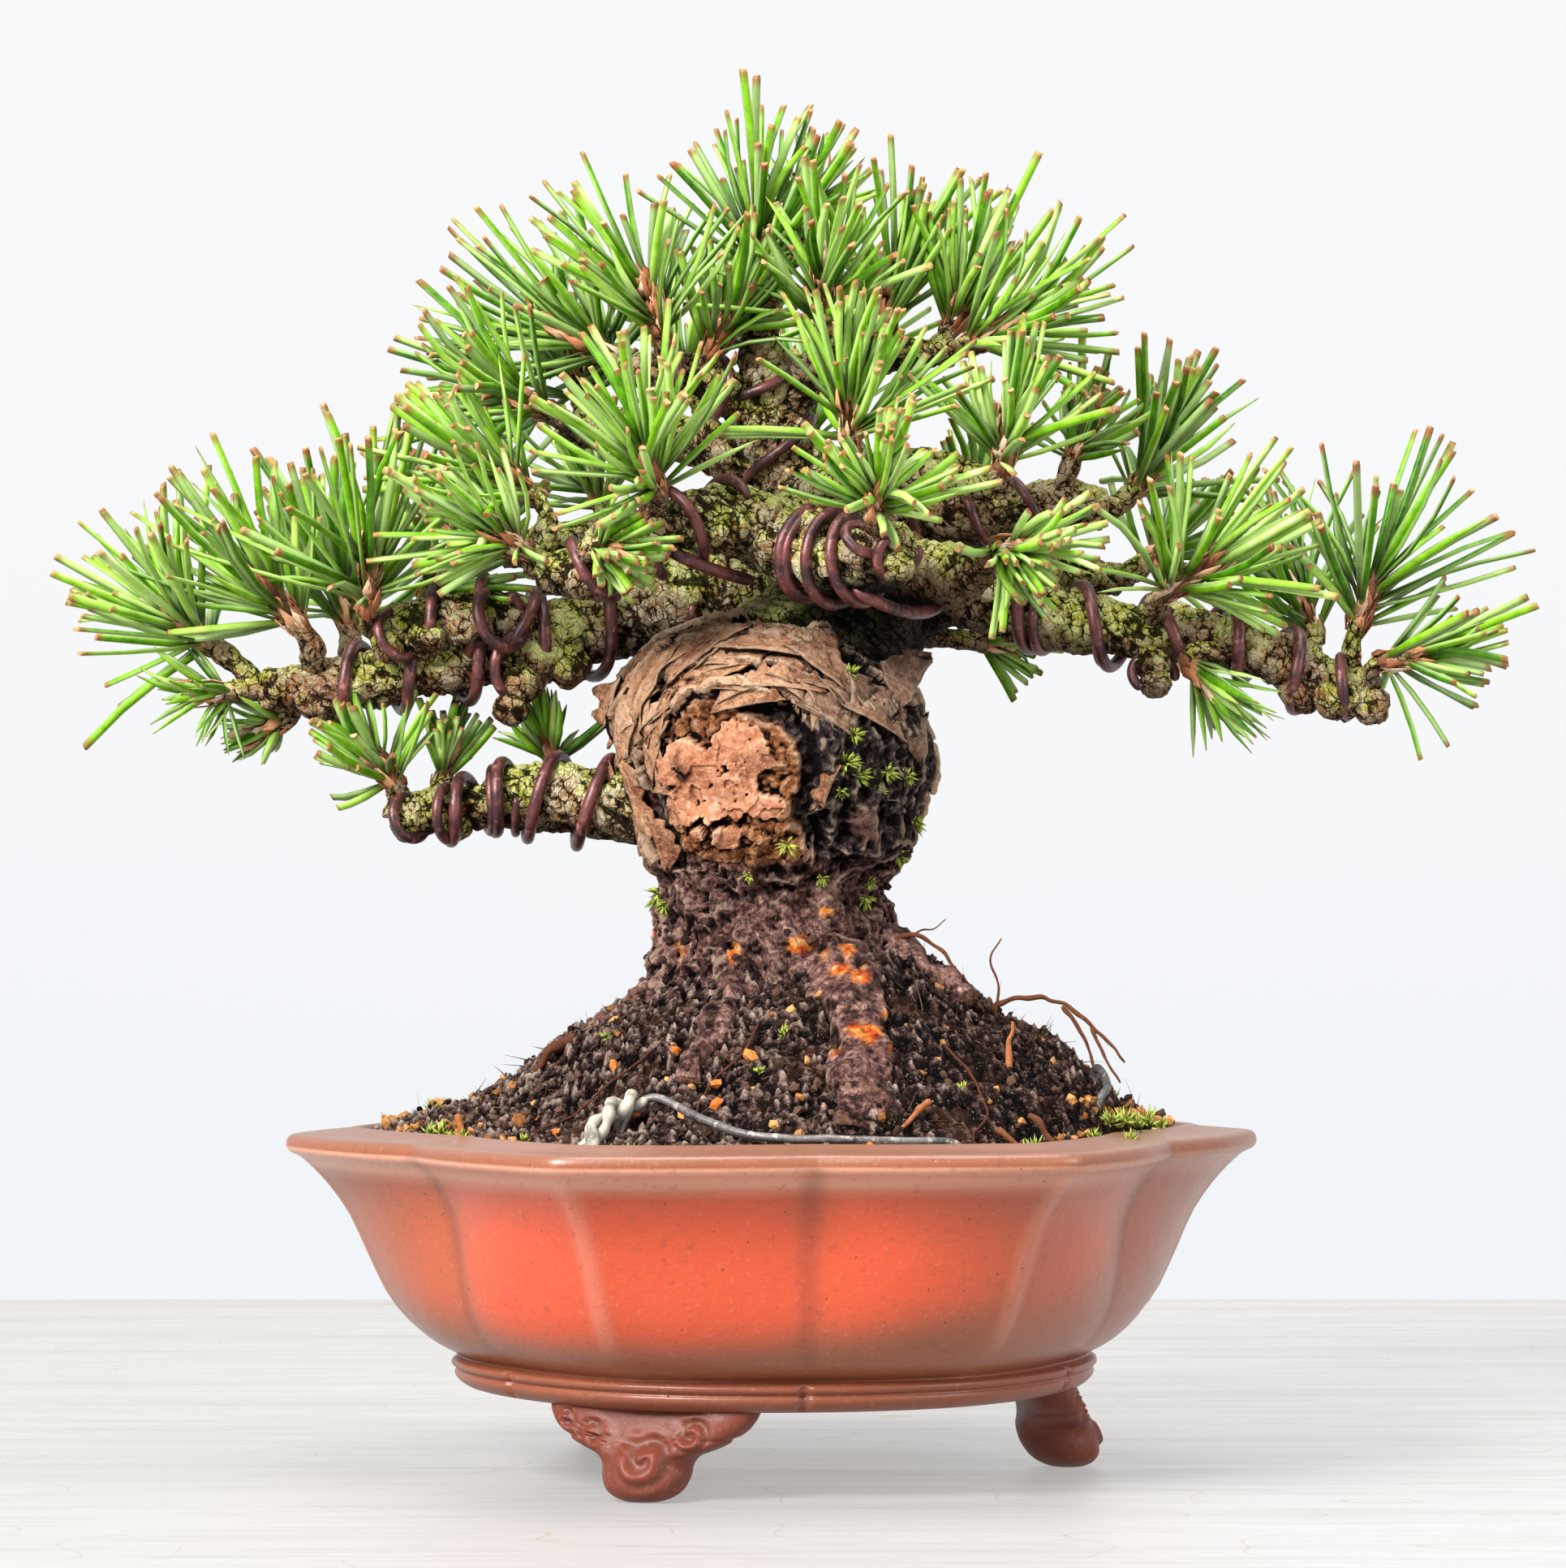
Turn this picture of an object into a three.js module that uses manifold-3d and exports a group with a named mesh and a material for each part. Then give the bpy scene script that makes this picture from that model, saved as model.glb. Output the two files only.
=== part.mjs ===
// A small Japanese black pine bonsai in a six-lobed, three-footed unglazed pot, in millimetres, +Z up.
// The viewer stands on the -Y side. The pine, its needle tufts, the copper-brown training wires, the soil,
// the two tie wires and the drain net are separate solids. The origin is under the middle of the whole plant,
// on the surface that it stands on.
import * as THREE from "three";
import { mergeVertices } from "three/addons/utils/BufferGeometryUtils.js";
import Module from "manifold-3d";

const wasm = await Module();
wasm.setup();

// Driving dimensions of the pot
const RIM_RADIUS = 65; // to the corners of the lip
const RIM_HEIGHT = 45;
const LOBES = 6;
const FIRST_RIDGE = -25; // degrees from the viewer's side, positive to the right
const FOOT_HEIGHT = 11.5;
const FOOT_ANGLES = [-25, 95, 215];
const FLOOR_TOP = 15.5;
const DRAIN_RADIUS = 6.5;
const AROUND_POT = LOBES * 6; // steps round the pot and the soil, so that ridges and valleys lie on steps

// Driving dimensions of the pine
const GAP = 0.3; // between pieces that touch
const NEEDLE_RADIUS = 0.62; // of the circle round its three-sided section
const CORE_RADIUS = 1.5;
const CORE_LENGTH = 6.4;
const TWIG_ROOT = 1.9;
const TWIG_TIP = 1.2;
const LONG_TWIG = 9; // a twig this long bends in three steps, a shorter one in two
const SHORT_NEEDLES = 17; // a shoot with shorter needles has fewer of them
const NEEDLE_CLEARANCE = 0.34;
const NEEDLE_ROOT = 2.4; // from the tuft's base to where a needle leaves the core
const WIRE_SLACK = 0.45; // between a limb and the wire wound round it

const LOOKS = {
  clay: { color: 0xb4694a, roughness: 0.55, metalness: 0 },
  soil: { color: 0x2e2420, roughness: 0.95, metalness: 0 },
  bark: { color: 0x6e5440, roughness: 0.9, metalness: 0 },
  needle: { color: 0x4f8f3a, roughness: 0.45, metalness: 0 },
  wire: { color: 0x5d3b36, roughness: 0.4, metalness: 0.8 },
  tie: { color: 0x83858a, roughness: 0.4, metalness: 0.9 },
  net: { color: 0x1c1d1f, roughness: 0.6, metalness: 0 },
};

const radians = THREE.MathUtils.degToRad;
const clamp = THREE.MathUtils.clamp;
const lerp = THREE.MathUtils.lerp;
const smooth = THREE.MathUtils.smoothstep;
const vector = (x, y, z) => new THREE.Vector3(x, y, z);

// A seeded draw from 0 to 1 for a pair of numbers.
function chance(a, b = 0) {
  const wave = Math.sin(a * 12.9898 + b * 78.233) * 43758.5453;
  return wave - Math.floor(wave);
}

// The closed geometry as a solid that can be joined and cut.
function solid(geometry) {
  const bare = geometry.clone();
  bare.deleteAttribute("normal");
  bare.deleteAttribute("uv");
  const merged = mergeVertices(bare, 1e-4);
  return new wasm.Manifold(
    new wasm.Mesh({
      numProp: 3,
      vertProperties: new Float32Array(merged.attributes.position.array),
      triVerts: new Uint32Array(merged.index.array),
    }),
  );
}

function geometryOf(made) {
  const { vertProperties, triVerts } = made.getMesh();
  const geometry = new THREE.BufferGeometry();
  geometry.setAttribute("position", new THREE.BufferAttribute(new Float32Array(vertProperties), 3));
  geometry.setIndex(new THREE.BufferAttribute(new Uint32Array(triVerts), 1));
  geometry.computeVertexNormals();
  return geometry;
}

// The largest body of a solid, with any scrap that a cut has left dropped.
function largest(made) {
  return made.decompose().sort((a, b) => b.volume() - a.volume())[0];
}

// Linear reading of a table of [key, value] rows that rises in its key.
function readTable(table, key) {
  let row = 1;
  while (row < table.length - 1 && table[row][0] < key) row += 1;
  const [k0, v0] = table[row - 1];
  const [k1, v1] = table[row];
  return lerp(v0, v1, clamp((key - k0) / (k1 - k0), 0, 1));
}

// Rings of points joined into one closed surface, with a fan at each end.
function closedRings(rings) {
  const around = rings[0].length;
  const points = rings.flat();
  const index = [];
  for (let ring = 0; ring < rings.length - 1; ring += 1) {
    for (let side = 0; side < around; side += 1) {
      const a = ring * around + side;
      const b = ring * around + ((side + 1) % around);
      index.push(a, b, b + around, a, b + around, a + around);
    }
  }
  for (const [ring, turned] of [[0, true], [rings.length - 1, false]]) {
    const middle = points.length;
    points.push(rings[ring].reduce((sum, p) => sum.add(p), vector(0, 0, 0)).divideScalar(around));
    for (let side = 0; side < around; side += 1) {
      const a = ring * around + side;
      const b = ring * around + ((side + 1) % around);
      index.push(...(turned ? [b, a, middle] : [a, b, middle]));
    }
  }
  const geometry = new THREE.BufferGeometry().setFromPoints(points);
  return geometry.setIndex(index);
}

// The pot: the distance from a ridge to the next valley runs from 0 to 1 over half a lobe.
function lobeShape(degrees) {
  const lobe = 360 / LOBES;
  const fromRidge = (((degrees - FIRST_RIDGE) % lobe) + lobe) % lobe;
  const share = Math.min(fromRidge, lobe - fromRidge) / (lobe / 2);
  const flatSide = Math.cos(radians(30)) / Math.cos(radians(30 - 30 * share));
  return flatSide * (1 + 0.032 * Math.sin(Math.PI * share));
}

// How far the lobes show: hardly on the foot ring, and more and more from the belly to the lip.
const RING_TOP = 15.3;
const lobeShare = (z) => (z < RING_TOP ? 0.12 : lerp(0.3, 1, smooth(z, RING_TOP, RIM_HEIGHT - 3)));

// A closed profile of [radius at a ridge, height], turned round the axis and drawn in to the lobes.
function turnedPot(profile, around) {
  const outline = profile.map(([r, z]) => new THREE.Vector2(r, z));
  const lathe = new THREE.LatheGeometry(outline, around, radians(FIRST_RIDGE)).rotateX(Math.PI / 2);
  const position = lathe.attributes.position;
  for (let i = 0; i < position.count; i += 1) {
    const [x, y, z] = [position.getX(i), position.getY(i), position.getZ(i)];
    const degrees = THREE.MathUtils.radToDeg(Math.atan2(x, -y));
    const drawn = 1 - lobeShare(z) * (1 - lobeShape(degrees));
    position.setXYZ(i, x * drawn, y * drawn, z);
  }
  return lathe;
}

const FOOT_RING = [
  [41, FOOT_HEIGHT],
  [42.9, FOOT_HEIGHT + 1.6],
  [42.2, FOOT_HEIGHT + 3.6],
];
const OUTER_WALL = [
  [42.8, RING_TOP],
  [45.2, 17],
  [48.6, 20],
  [51.4, 24.2],
  [54, 29.4],
  [56.4, 34.6],
  [59.4, 38.6],
  [62.4, 41.6],
];
const LIP = [
  [64.4, 42.6],
  [RIM_RADIUS, 43.8],
  [64.6, RIM_HEIGHT],
  [55.6, RIM_HEIGHT + 0.9],
];
const INNER_WALL = [
  [54.6, 41],
  [50.6, 31],
  [45.4, 21],
  [37.5, FLOOR_TOP],
];

// A foot is a cloud-shaped bracket that leans outwards to a ball with a small flat under it.
const FOOT_HALF_WIDTH = 14.5;
const FOOT_BALL = 5.9;
const FOOT_REACH = 37.6; // from the pot's axis to the middle of the ball
const FOOT_LEAN = 0.3; // outwards for each millimetre down
function foot(degrees) {
  const outline = new THREE.Shape();
  outline.moveTo(-FOOT_HALF_WIDTH, FOOT_HEIGHT + 0.6);
  outline.quadraticCurveTo(-FOOT_HALF_WIDTH + 0.6, 6.8, -6.8, 5.6);
  outline.lineTo(-4.2, 3.4);
  outline.lineTo(4.2, 3.4);
  outline.lineTo(6.8, 5.6);
  outline.quadraticCurveTo(FOOT_HALF_WIDTH - 0.6, 6.8, FOOT_HALF_WIDTH, FOOT_HEIGHT + 0.6);
  const bracket = new THREE.ExtrudeGeometry(outline, {
    depth: 4.6,
    curveSegments: 3,
    bevelThickness: 1.3,
    bevelSize: 0.9,
    bevelSegments: 1,
  });
  bracket.rotateX(Math.PI / 2);
  bracket.translate(0, -FOOT_REACH + 3, 0);
  const ball = new THREE.SphereGeometry(FOOT_BALL, 10, 6);
  ball.rotateX(Math.PI / 2);
  ball.translate(0, -FOOT_REACH, FOOT_BALL - 0.35);
  const lean = (geometry) => {
    const position = geometry.attributes.position;
    for (let i = 0; i < position.count; i += 1) {
      position.setY(i, position.getY(i) - (FOOT_BALL - position.getZ(i)) * FOOT_LEAN);
    }
    return solid(geometry.rotateZ(radians(degrees)));
  };
  const under = new THREE.BoxGeometry(200, 200, 20).translate(0, 0, -10);
  return lean(bracket).add(lean(ball)).subtract(solid(under));
}

// The foot ring has a short notch under each valley.
function pot() {
  const profile = [[0, FOOT_HEIGHT], ...FOOT_RING, ...OUTER_WALL, ...LIP, ...INNER_WALL, [0, FLOOR_TOP]];
  let body = solid(turnedPot(profile, AROUND_POT));
  for (let lobe = 0; lobe < LOBES; lobe += 1) {
    const notch = new THREE.BoxGeometry(1, 1.8, 4).translate(0, -43, FOOT_HEIGHT + 1.4);
    notch.rotateZ(radians(FIRST_RIDGE + 30 + lobe * (360 / LOBES)));
    body = body.subtract(solid(notch));
  }
  for (const degrees of FOOT_ANGLES) body = body.add(foot(degrees));
  const drain = new THREE.CylinderGeometry(DRAIN_RADIUS, DRAIN_RADIUS, 20, 12);
  drain.rotateX(Math.PI / 2).translate(0, 0, FOOT_HEIGHT + 2);
  return body.subtract(solid(drain));
}

// The net over the drain hole keeps the soil in.
const NET_SIDE = 17;
const NET_THICKNESS = 0.9;
function drainNet() {
  const bars = [];
  const holes = 3;
  const pitch = NET_SIDE / (holes + 0.6);
  const plate = new THREE.BoxGeometry(NET_SIDE, NET_SIDE, NET_THICKNESS);
  plate.translate(0, 0, FLOOR_TOP + GAP + NET_THICKNESS / 2);
  let net = solid(plate);
  for (let i = 0; i < holes; i += 1) {
    for (let j = 0; j < holes; j += 1) {
      const hole = new THREE.BoxGeometry(pitch * 0.72, pitch * 0.72, 4);
      hole.translate((i - 1) * pitch, (j - 1) * pitch, FLOOR_TOP + 1);
      bars.push(solid(hole));
    }
  }
  for (const hole of bars) net = net.subtract(hole);
  return net;
}

// The pine's line: each limb is a list of [x, y, z, radius].
// The trunk is a stack of rings, [x, y, z, radius]: a foot in the soil, a neck, and the burl over it.
const TRUNK = [
  [0.6, 0, 38, 17.6],
  [1, 0, 52, 18.6],
  [1.2, 0, 60, 18.2],
  [1.2, 0, 66, 17],
  [0.8, 0, 70.5, 16],
  [0, -0.4, 74.4, 15.2],
  [-0.6, -1, 77.4, 14.6],
  [-0.4, -2, 80.4, 16.2],
  [0.4, -2.8, 84, 17.9],
  [0.9, -3.2, 88.6, 19.4],
  [0.3, -3.4, 93.4, 20.2],
  [-0.6, -3.4, 98.4, 20.8],
  [-1.4, -3, 103.4, 19.8],
  [-1.6, -2.2, 107.8, 17],
  [-1.8, -1.2, 111.4, 12.4],
  [-1.8, -0.4, 113.6, 6],
];
const BURL_BOTTOM = 79;
const BURL_FACE = vector(-0.28, -0.96, 0); // the middle of its face, seen from the trunk's axis
const BURL_MIDDLE = vector(0, -3, 96);
const BURL_REACH = 21.6;

const LIMBS = {
  leader: [
    [2, 0, 104, 13],
    [9, 4, 111, 10.5],
    [12, 6, 117, 9],
    [8.5, 7, 124, 7],
    [3.5, 6.5, 131, 5.4],
    [-0.5, 5, 140, 4],
    [-1.8, 3, 149, 3],
    [-2, 1, 156.6, 2.2],
  ],
  left: [
    [9, 5, 116, 6.8],
    [-3, 7, 118, 6.4],
    [-13.5, 6, 116.5, 5.6],
    [-25.5, 3, 112, 4.8],
    [-34, 1, 109.5, 4.5],
    [-43, 0, 107.5, 4.1],
    [-52.5, 0, 105.8, 3.5],
    [-62, 0, 104, 3],
    [-69, 0, 104.5, 2.3],
  ],
  leftUpper: [
    [-31, 1, 111, 4],
    [-38, -2, 113.5, 3.7],
    [-46, -3, 112.6, 3.3],
    [-54, -3, 111.5, 2.6],
  ],
  leftLow: [
    [-12, -3, 90, 5.6],
    [-20, -3, 88.6, 5],
    [-27, -2.5, 89.2, 4.4],
    [-34, -2, 89.6, 4],
    [-39, -2, 88.8, 2.8],
    [-45, -2, 87.6, 2.8],
    [-50, -2.5, 87.2, 2.5],
  ],
  leftLowStub: [
    [-43, -2, 87.8, 2.6],
    [-42.2, -3.5, 84.4, 2.2],
  ],
  leftLowTip: [
    [-47, -2, 87.4, 2.4],
    [-50.4, -3.5, 85, 2.1],
  ],
  frontStem: [
    [9, 2, 119, 6.6],
    [4, -5, 122.4, 5.8],
    [-0.6, -11, 124.4, 5],
  ],
  frontLeft: [
    [0, -10, 124, 4.8],
    [-5, -13.4, 125.8, 4.2],
    [-12, -16, 125.4, 3.9],
    [-19, -18, 121.8, 3.6],
    [-25, -18, 118.8, 3.2],
    [-31, -17, 118.8, 2.3],
  ],
  frontCentre: [
    [-1.4, -9.6, 124.4, 4.6],
    [4, -14.6, 121.6, 4.6],
    [9.6, -19, 120.2, 4.4],
    [14.6, -22.6, 120.4, 3.6],
    [15.6, -26.6, 122.2, 2.4],
  ],
  frontRight: [
    [13, 3, 118, 6],
    [19, -6, 119, 4.4],
    [24, -14, 118.6, 3.4],
    [27, -20, 119.4, 2.3],
  ],
  right: [
    [12, 5, 116, 6.8],
    [21, 4, 117.5, 5.4],
    [30, 2, 116, 4.2],
    [38, 0.5, 113.6, 3.7],
    [48, 0, 111.6, 3.4],
    [57, 0, 111.6, 3.2],
    [65, 0, 109, 3.2],
    [72, 0, 105.6, 3.4],
    [79, -0.5, 104.4, 2.5],
  ],
  rightUpper: [
    [6, 7, 127, 4.6],
    [16, 9, 128, 3.6],
    [27, 8.6, 127.4, 3],
    [37, 7.6, 129.4, 2.8],
    [45, 8, 128.4, 2.3],
  ],
  crownLeft: [
    [0, 5, 137, 3.6],
    [-6, 2.5, 144, 2.7],
    [-14, 0.5, 147, 2.3],
    [-19, 0.5, 146.4, 1.9],
  ],
  crownRight: [
    [-1, 5, 141, 3.4],
    [7, 2.5, 147.4, 2.7],
    [15, 1.5, 149, 2.4],
    [22, -0.5, 149, 1.9],
  ],
  middleLeft: [
    [2, 6.5, 132, 4],
    [-9, 5, 137, 3],
    [-19, 3, 139, 2.5],
    [-27, 1.5, 139, 2],
  ],
  middleFront: [
    [5, 6, 128, 4.2],
    [9, -5, 131, 3.2],
    [15, -11, 132.4, 2.7],
    [22, -13.5, 132.4, 2.4],
    [29, -15.5, 129.6, 1.9],
  ],
  back: [
    [9, 6, 120, 5.6],
    [6, 17, 124.6, 3.8],
    [5, 26, 131, 2.8],
    [5, 30, 136, 2],
  ],
  backLeft: [
    [4, 8, 122, 4.4],
    [-10, 16, 124.4, 3.3],
    [-24, 21, 125.4, 2.7],
    [-38, 21, 124, 2.1],
  ],
  backRight: [
    [12, 8, 120.5, 4.6],
    [23, 16, 122, 3.3],
    [36, 20, 121.4, 2.7],
    [48, 20, 119.6, 2.1],
  ],
};

const limbPoint = ([x, y, z]) => vector(x, y, z);

// A limb's smooth line, and its radius at any share of that line.
function limbLine(rows) {
  const curve = new THREE.CatmullRomCurve3(rows.map(limbPoint), false, "catmullrom", 0.5);
  const radius = (share) => {
    const place = clamp(share, 0, 1) * (rows.length - 1);
    const row = Math.min(Math.floor(place), rows.length - 2);
    return lerp(rows[row][3], rows[row + 1][3], place - row);
  };
  return { curve, radius };
}

// Two directions square to a tangent. The first leans to the viewer on upright limbs, and up on the others.
function sideways(tangent) {
  const upright = Math.abs(tangent.z) > 0.8;
  const hint = upright ? vector(0, -1, 0) : vector(0, 0, 1);
  const first = hint.addScaledVector(tangent, -hint.dot(tangent)).normalize();
  return [first, vector(0, 0, 0).crossVectors(tangent, first)];
}

// One hint for a whole limb, so that its rings never turn against each other.
function limbHint(rows) {
  const run = limbPoint(rows[rows.length - 1]).sub(limbPoint(rows[0])).normalize();
  return Math.abs(run.z) > 0.8 ? vector(0, -1, 0) : vector(0, 0, 1);
}

// A ring of points round a middle, at a distance that may change from side to side.
function ringOf(middle, first, second, sides, reach) {
  return Array.from({ length: sides }, (_, side) => {
    const turn = (side / sides) * 2 * Math.PI;
    return middle
      .clone()
      .addScaledVector(first, Math.cos(turn) * reach(side))
      .addScaledVector(second, Math.sin(turn) * reach(side));
  });
}

// A limb has a ring at each row of its list, a little knobbly.
function limbRings(rows, sides) {
  const { curve } = limbLine(rows);
  const hint = limbHint(rows);
  const rings = rows.map((row, step) => {
    const tangent = curve.getTangent(step / (rows.length - 1));
    const first = hint.clone().addScaledVector(tangent, -hint.dot(tangent)).normalize();
    const second = vector(0, 0, 0).crossVectors(tangent, first);
    const reach = (side) => row[3] * (1 - 0.08 * chance(step * 7.1 + rows[0][0], side));
    return ringOf(limbPoint(row), first, second, sides, reach);
  });
  return closedRings(rings);
}

// Bark relief on the trunk: five root swellings low down, and flakes in rings round the burl's face above.
function barkRelief(turn, z) {
  const low = 1 - smooth(z, 50, 78);
  const roots = 0.07 * low * Math.cos(5 * turn + 0.7);
  const outward = vector(Math.sin(turn), -Math.cos(turn), (z - BURL_MIDDLE.z) / BURL_REACH).normalize();
  const fromFace = outward.angleTo(BURL_FACE);
  const flakes = 0.026 * Math.sin(fromFace * 9 + Math.sin(turn * 2));
  const lumps = 0.018 * Math.sin(turn * 5 + z * 0.4) + 0.016 * Math.sin(turn * 3 - z * 0.7);
  return 1 + roots + (flakes + lumps) * smooth(z, BURL_BOTTOM, BURL_BOTTOM + 6) + lumps;
}

// The trunk grown outwards by a margin, for the hole that it stands in.
function trunkRings(margin) {
  const sides = 24;
  const rings = TRUNK.map(([x, y, z, radius]) =>
    Array.from({ length: sides }, (_, side) => {
      const turn = (side / sides) * 2 * Math.PI;
      const reach = radius * barkRelief(turn, z) + margin;
      return vector(x + reach * Math.sin(turn), y - reach * Math.cos(turn), z);
    }),
  );
  rings[0].forEach((corner) => (corner.z -= margin));
  return closedRings(rings);
}

// Tufts: [name, place of the base, needle length, rows of needles, widest angle from the shoot,
// the shoot's turn in the picture (0 is right, 90 is up), its lean to the viewer], in millimetres and degrees.
const TUFTS = [
  ["left_end", [-75.2, 0, 110], 21.6, 4, 66, 146, 4],
  ["left_end_low", [-72.5, -1.5, 103.6], 10.5, 3, 66, 182, 20],
  ["left_outer", [-63, -5, 112], 23, 4, 60, 130, 8],
  ["left_upper_back", [-57.5, 6, 112], 23.5, 4, 52, 106, -14],
  ["left_front", [-54, -8, 114.5], 24.5, 4, 66, 84, 14],
  ["left_inner", [-46.5, 2, 117], 16, 4, 66, 46, -4],
  ["left_under", [-66, 3, 100], 8.5, 3, 60, 206, 0],
  ["low_end", [-50.6, -2, 91.4], 13.5, 4, 70, 128, 8],
  ["low_upright", [-44.6, 1.5, 92], 10.5, 3, 52, 78, -16],
  ["low_inner", [-29.6, 2, 94.2], 10.5, 3, 58, 104, -14],
  ["middle_left", [-31.5, -12, 129], 20, 4, 66, 146, 14],
  ["front_left_end", [-32.5, -19.5, 121.6], 15, 3, 66, 152, 24],
  ["front_left", [-15.5, -20, 129], 20, 4, 76, 104, 26],
  ["front_left_low", [-23.6, -23.8, 121.6], 9.5, 3, 60, -14, 40],
  ["mid_outer", [-30, -3, 141], 20, 4, 62, 156, 4],
  ["mid_upright", [-26, 6.5, 143], 18, 4, 52, 98, -18],
  ["crown_outer_left", [-21.5, 1.5, 148.6], 23.5, 4, 56, 152, -4],
  ["crown_left", [-15, -4, 150.6], 21, 4, 64, 108, 12],
  ["crown_inner_left", [-8.6, -1.5, 149], 16.5, 3, 52, 62, 10],
  ["crown_top", [-2.2, 0.5, 159.6], 22.4, 4, 56, 94, 4],
  ["crown_bud", [4.6, 3, 167.5], 12, 4, 56, 76, -6],
  ["crown_front", [7, -5, 152], 20, 4, 70, 96, 20],
  ["crown_right", [14.6, 4, 152.6], 22.5, 4, 56, 76, -8],
  ["crown_far_right", [23.4, 1, 152.4], 19, 4, 56, 62, -4],
  ["crown_low_right", [25.4, -4.4, 149.6], 20, 4, 50, 22, 12],
  ["right_upper", [40, 5, 135], 13, 4, 76, 66, 10],
  ["right_upper_end", [48.5, 9, 131], 19.5, 4, 62, 56, -8],
  ["right_front", [51.5, -7, 116.6], 20.5, 4, 72, 32, 24],
  ["right_under", [55, -4.4, 107.4], 12.5, 3, 50, -50, 14],
  ["right_far_upper", [72.6, 5, 111.5], 20, 4, 48, 108, -18],
  ["right_end", [77.6, -2, 112.4], 23.5, 4, 60, 72, 4],
  ["right_end_low", [80.4, -4.4, 107.6], 16.4, 3, 60, 8, 14],
  ["front_low", [12.8, -30.6, 125.4], 14, 4, 82, 84, 44],
  ["front_middle", [10, -17, 135.4], 18.5, 4, 72, 92, 26],
  ["front_right", [29.6, -18, 132.6], 16, 4, 60, 80, 16],
  ["front_right_low", [28.6, -23.6, 121.4], 12.5, 4, 74, -4, 40],
  ["right_back_low", [27.5, 11, 111], 9.5, 3, 52, -8, -26],
  ["back_left_end", [-42, 22.5, 125.6], 19, 4, 60, 146, -44],
  ["back_left", [-24, 25, 129.6], 18.5, 4, 66, 110, -44],
  ["back_middle", [4.6, 32, 139], 18.5, 4, 66, 92, -40],
  ["back_right", [27, 21.6, 127.4], 17.5, 4, 66, 74, -48],
  ["back_right_end", [51, 22.4, 122.4], 18.5, 4, 60, 36, -40],
  ["back_low", [12, 27.4, 124], 14, 3, 62, 20, -66],
  ["crown_back_left", [-10.5, 12, 144.5], 19, 4, 60, 118, -40],
  ["crown_back_right", [10, 13, 148.5], 18.5, 4, 60, 70, -40],
];

// The shoot's direction: a turn in the picture, then a lean towards the viewer.
function shootDirection(turn, lean) {
  const flat = Math.cos(radians(lean));
  return vector(flat * Math.cos(radians(turn)), -Math.sin(radians(lean)), flat * Math.sin(radians(turn)));
}

// The shortest distance between two straight stretches.
function stretchDistance(a, b) {
  const d1 = a.to.clone().sub(a.from);
  const d2 = b.to.clone().sub(b.from);
  const r = a.from.clone().sub(b.from);
  const [aa, ee, ff] = [d1.dot(d1), d2.dot(d2), d2.dot(r)];
  const [cc, bb] = [d1.dot(r), d1.dot(d2)];
  const denominator = aa * ee - bb * bb;
  let s = denominator > 1e-9 ? clamp((bb * ff - cc * ee) / denominator, 0, 1) : 0;
  let t = (bb * s + ff) / ee;
  if (t < 0) {
    t = 0;
    s = clamp(-cc / aa, 0, 1);
  } else if (t > 1) {
    t = 1;
    s = clamp((bb - cc) / aa, 0, 1);
  }
  return r.addScaledVector(d1, s).addScaledVector(d2, -t).length();
}

// What the needles keep clear of: straight stretches with a radius, each owned by one piece.
const stretches = [];
function fill(points, radii, owner) {
  for (let i = 0; i < points.length - 1; i += 1) {
    stretches.push({ from: points[i], to: points[i + 1], radius: Math.max(radii[i], radii[i + 1]), owner });
  }
}

function clearOf(stretch, owner, margin) {
  return stretches.every((other) => {
    const least = stretch.radius + other.radius + margin;
    return other.owner === owner || stretchDistance(stretch, other) > least;
  });
}

// A twig leaves the nearest limb, rather one below the tuft, and turns into the shoot's own direction.
function twigRows(place, direction) {
  const looks = 24;
  let best = null;
  for (const rows of Object.values(LIMBS)) {
    const { curve, radius } = limbLine(rows);
    for (let look = 1; look <= looks; look += 1) {
      const point = curve.getPoint(look / looks);
      const run = point.distanceTo(place) - radius(look / looks) + 2 * Math.max(0, point.z - place.z);
      if (!best || run < best.run) best = { run, point };
    }
  }
  const length = best.point.distanceTo(place);
  const bend = new THREE.CubicBezierCurve3(
    best.point,
    best.point.clone().lerp(place, 0.3),
    place.clone().addScaledVector(direction, -0.4 * length),
    place,
  );
  const steps = length > LONG_TWIG ? 3 : 2;
  return bend.getPoints(steps).map((p, i) => [p.x, p.y, p.z, lerp(TWIG_ROOT, TWIG_TIP, i / steps)]);
}

// The twig's last ring is square to the shoot, so that the tuft sits on a flat tip.
function twigSolid(rows, direction) {
  const points = rows.map(limbPoint);
  const rings = rows.map((row, i) => {
    const before = points[Math.max(0, i - 1)];
    const after = points[Math.min(points.length - 1, i + 1)];
    const tangent = i === rows.length - 1 ? direction : after.clone().sub(before).normalize();
    const [first, second] = sideways(tangent);
    return ringOf(points[i], first, second, 4, () => row[3]);
  });
  return solid(closedRings(rings));
}

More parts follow.
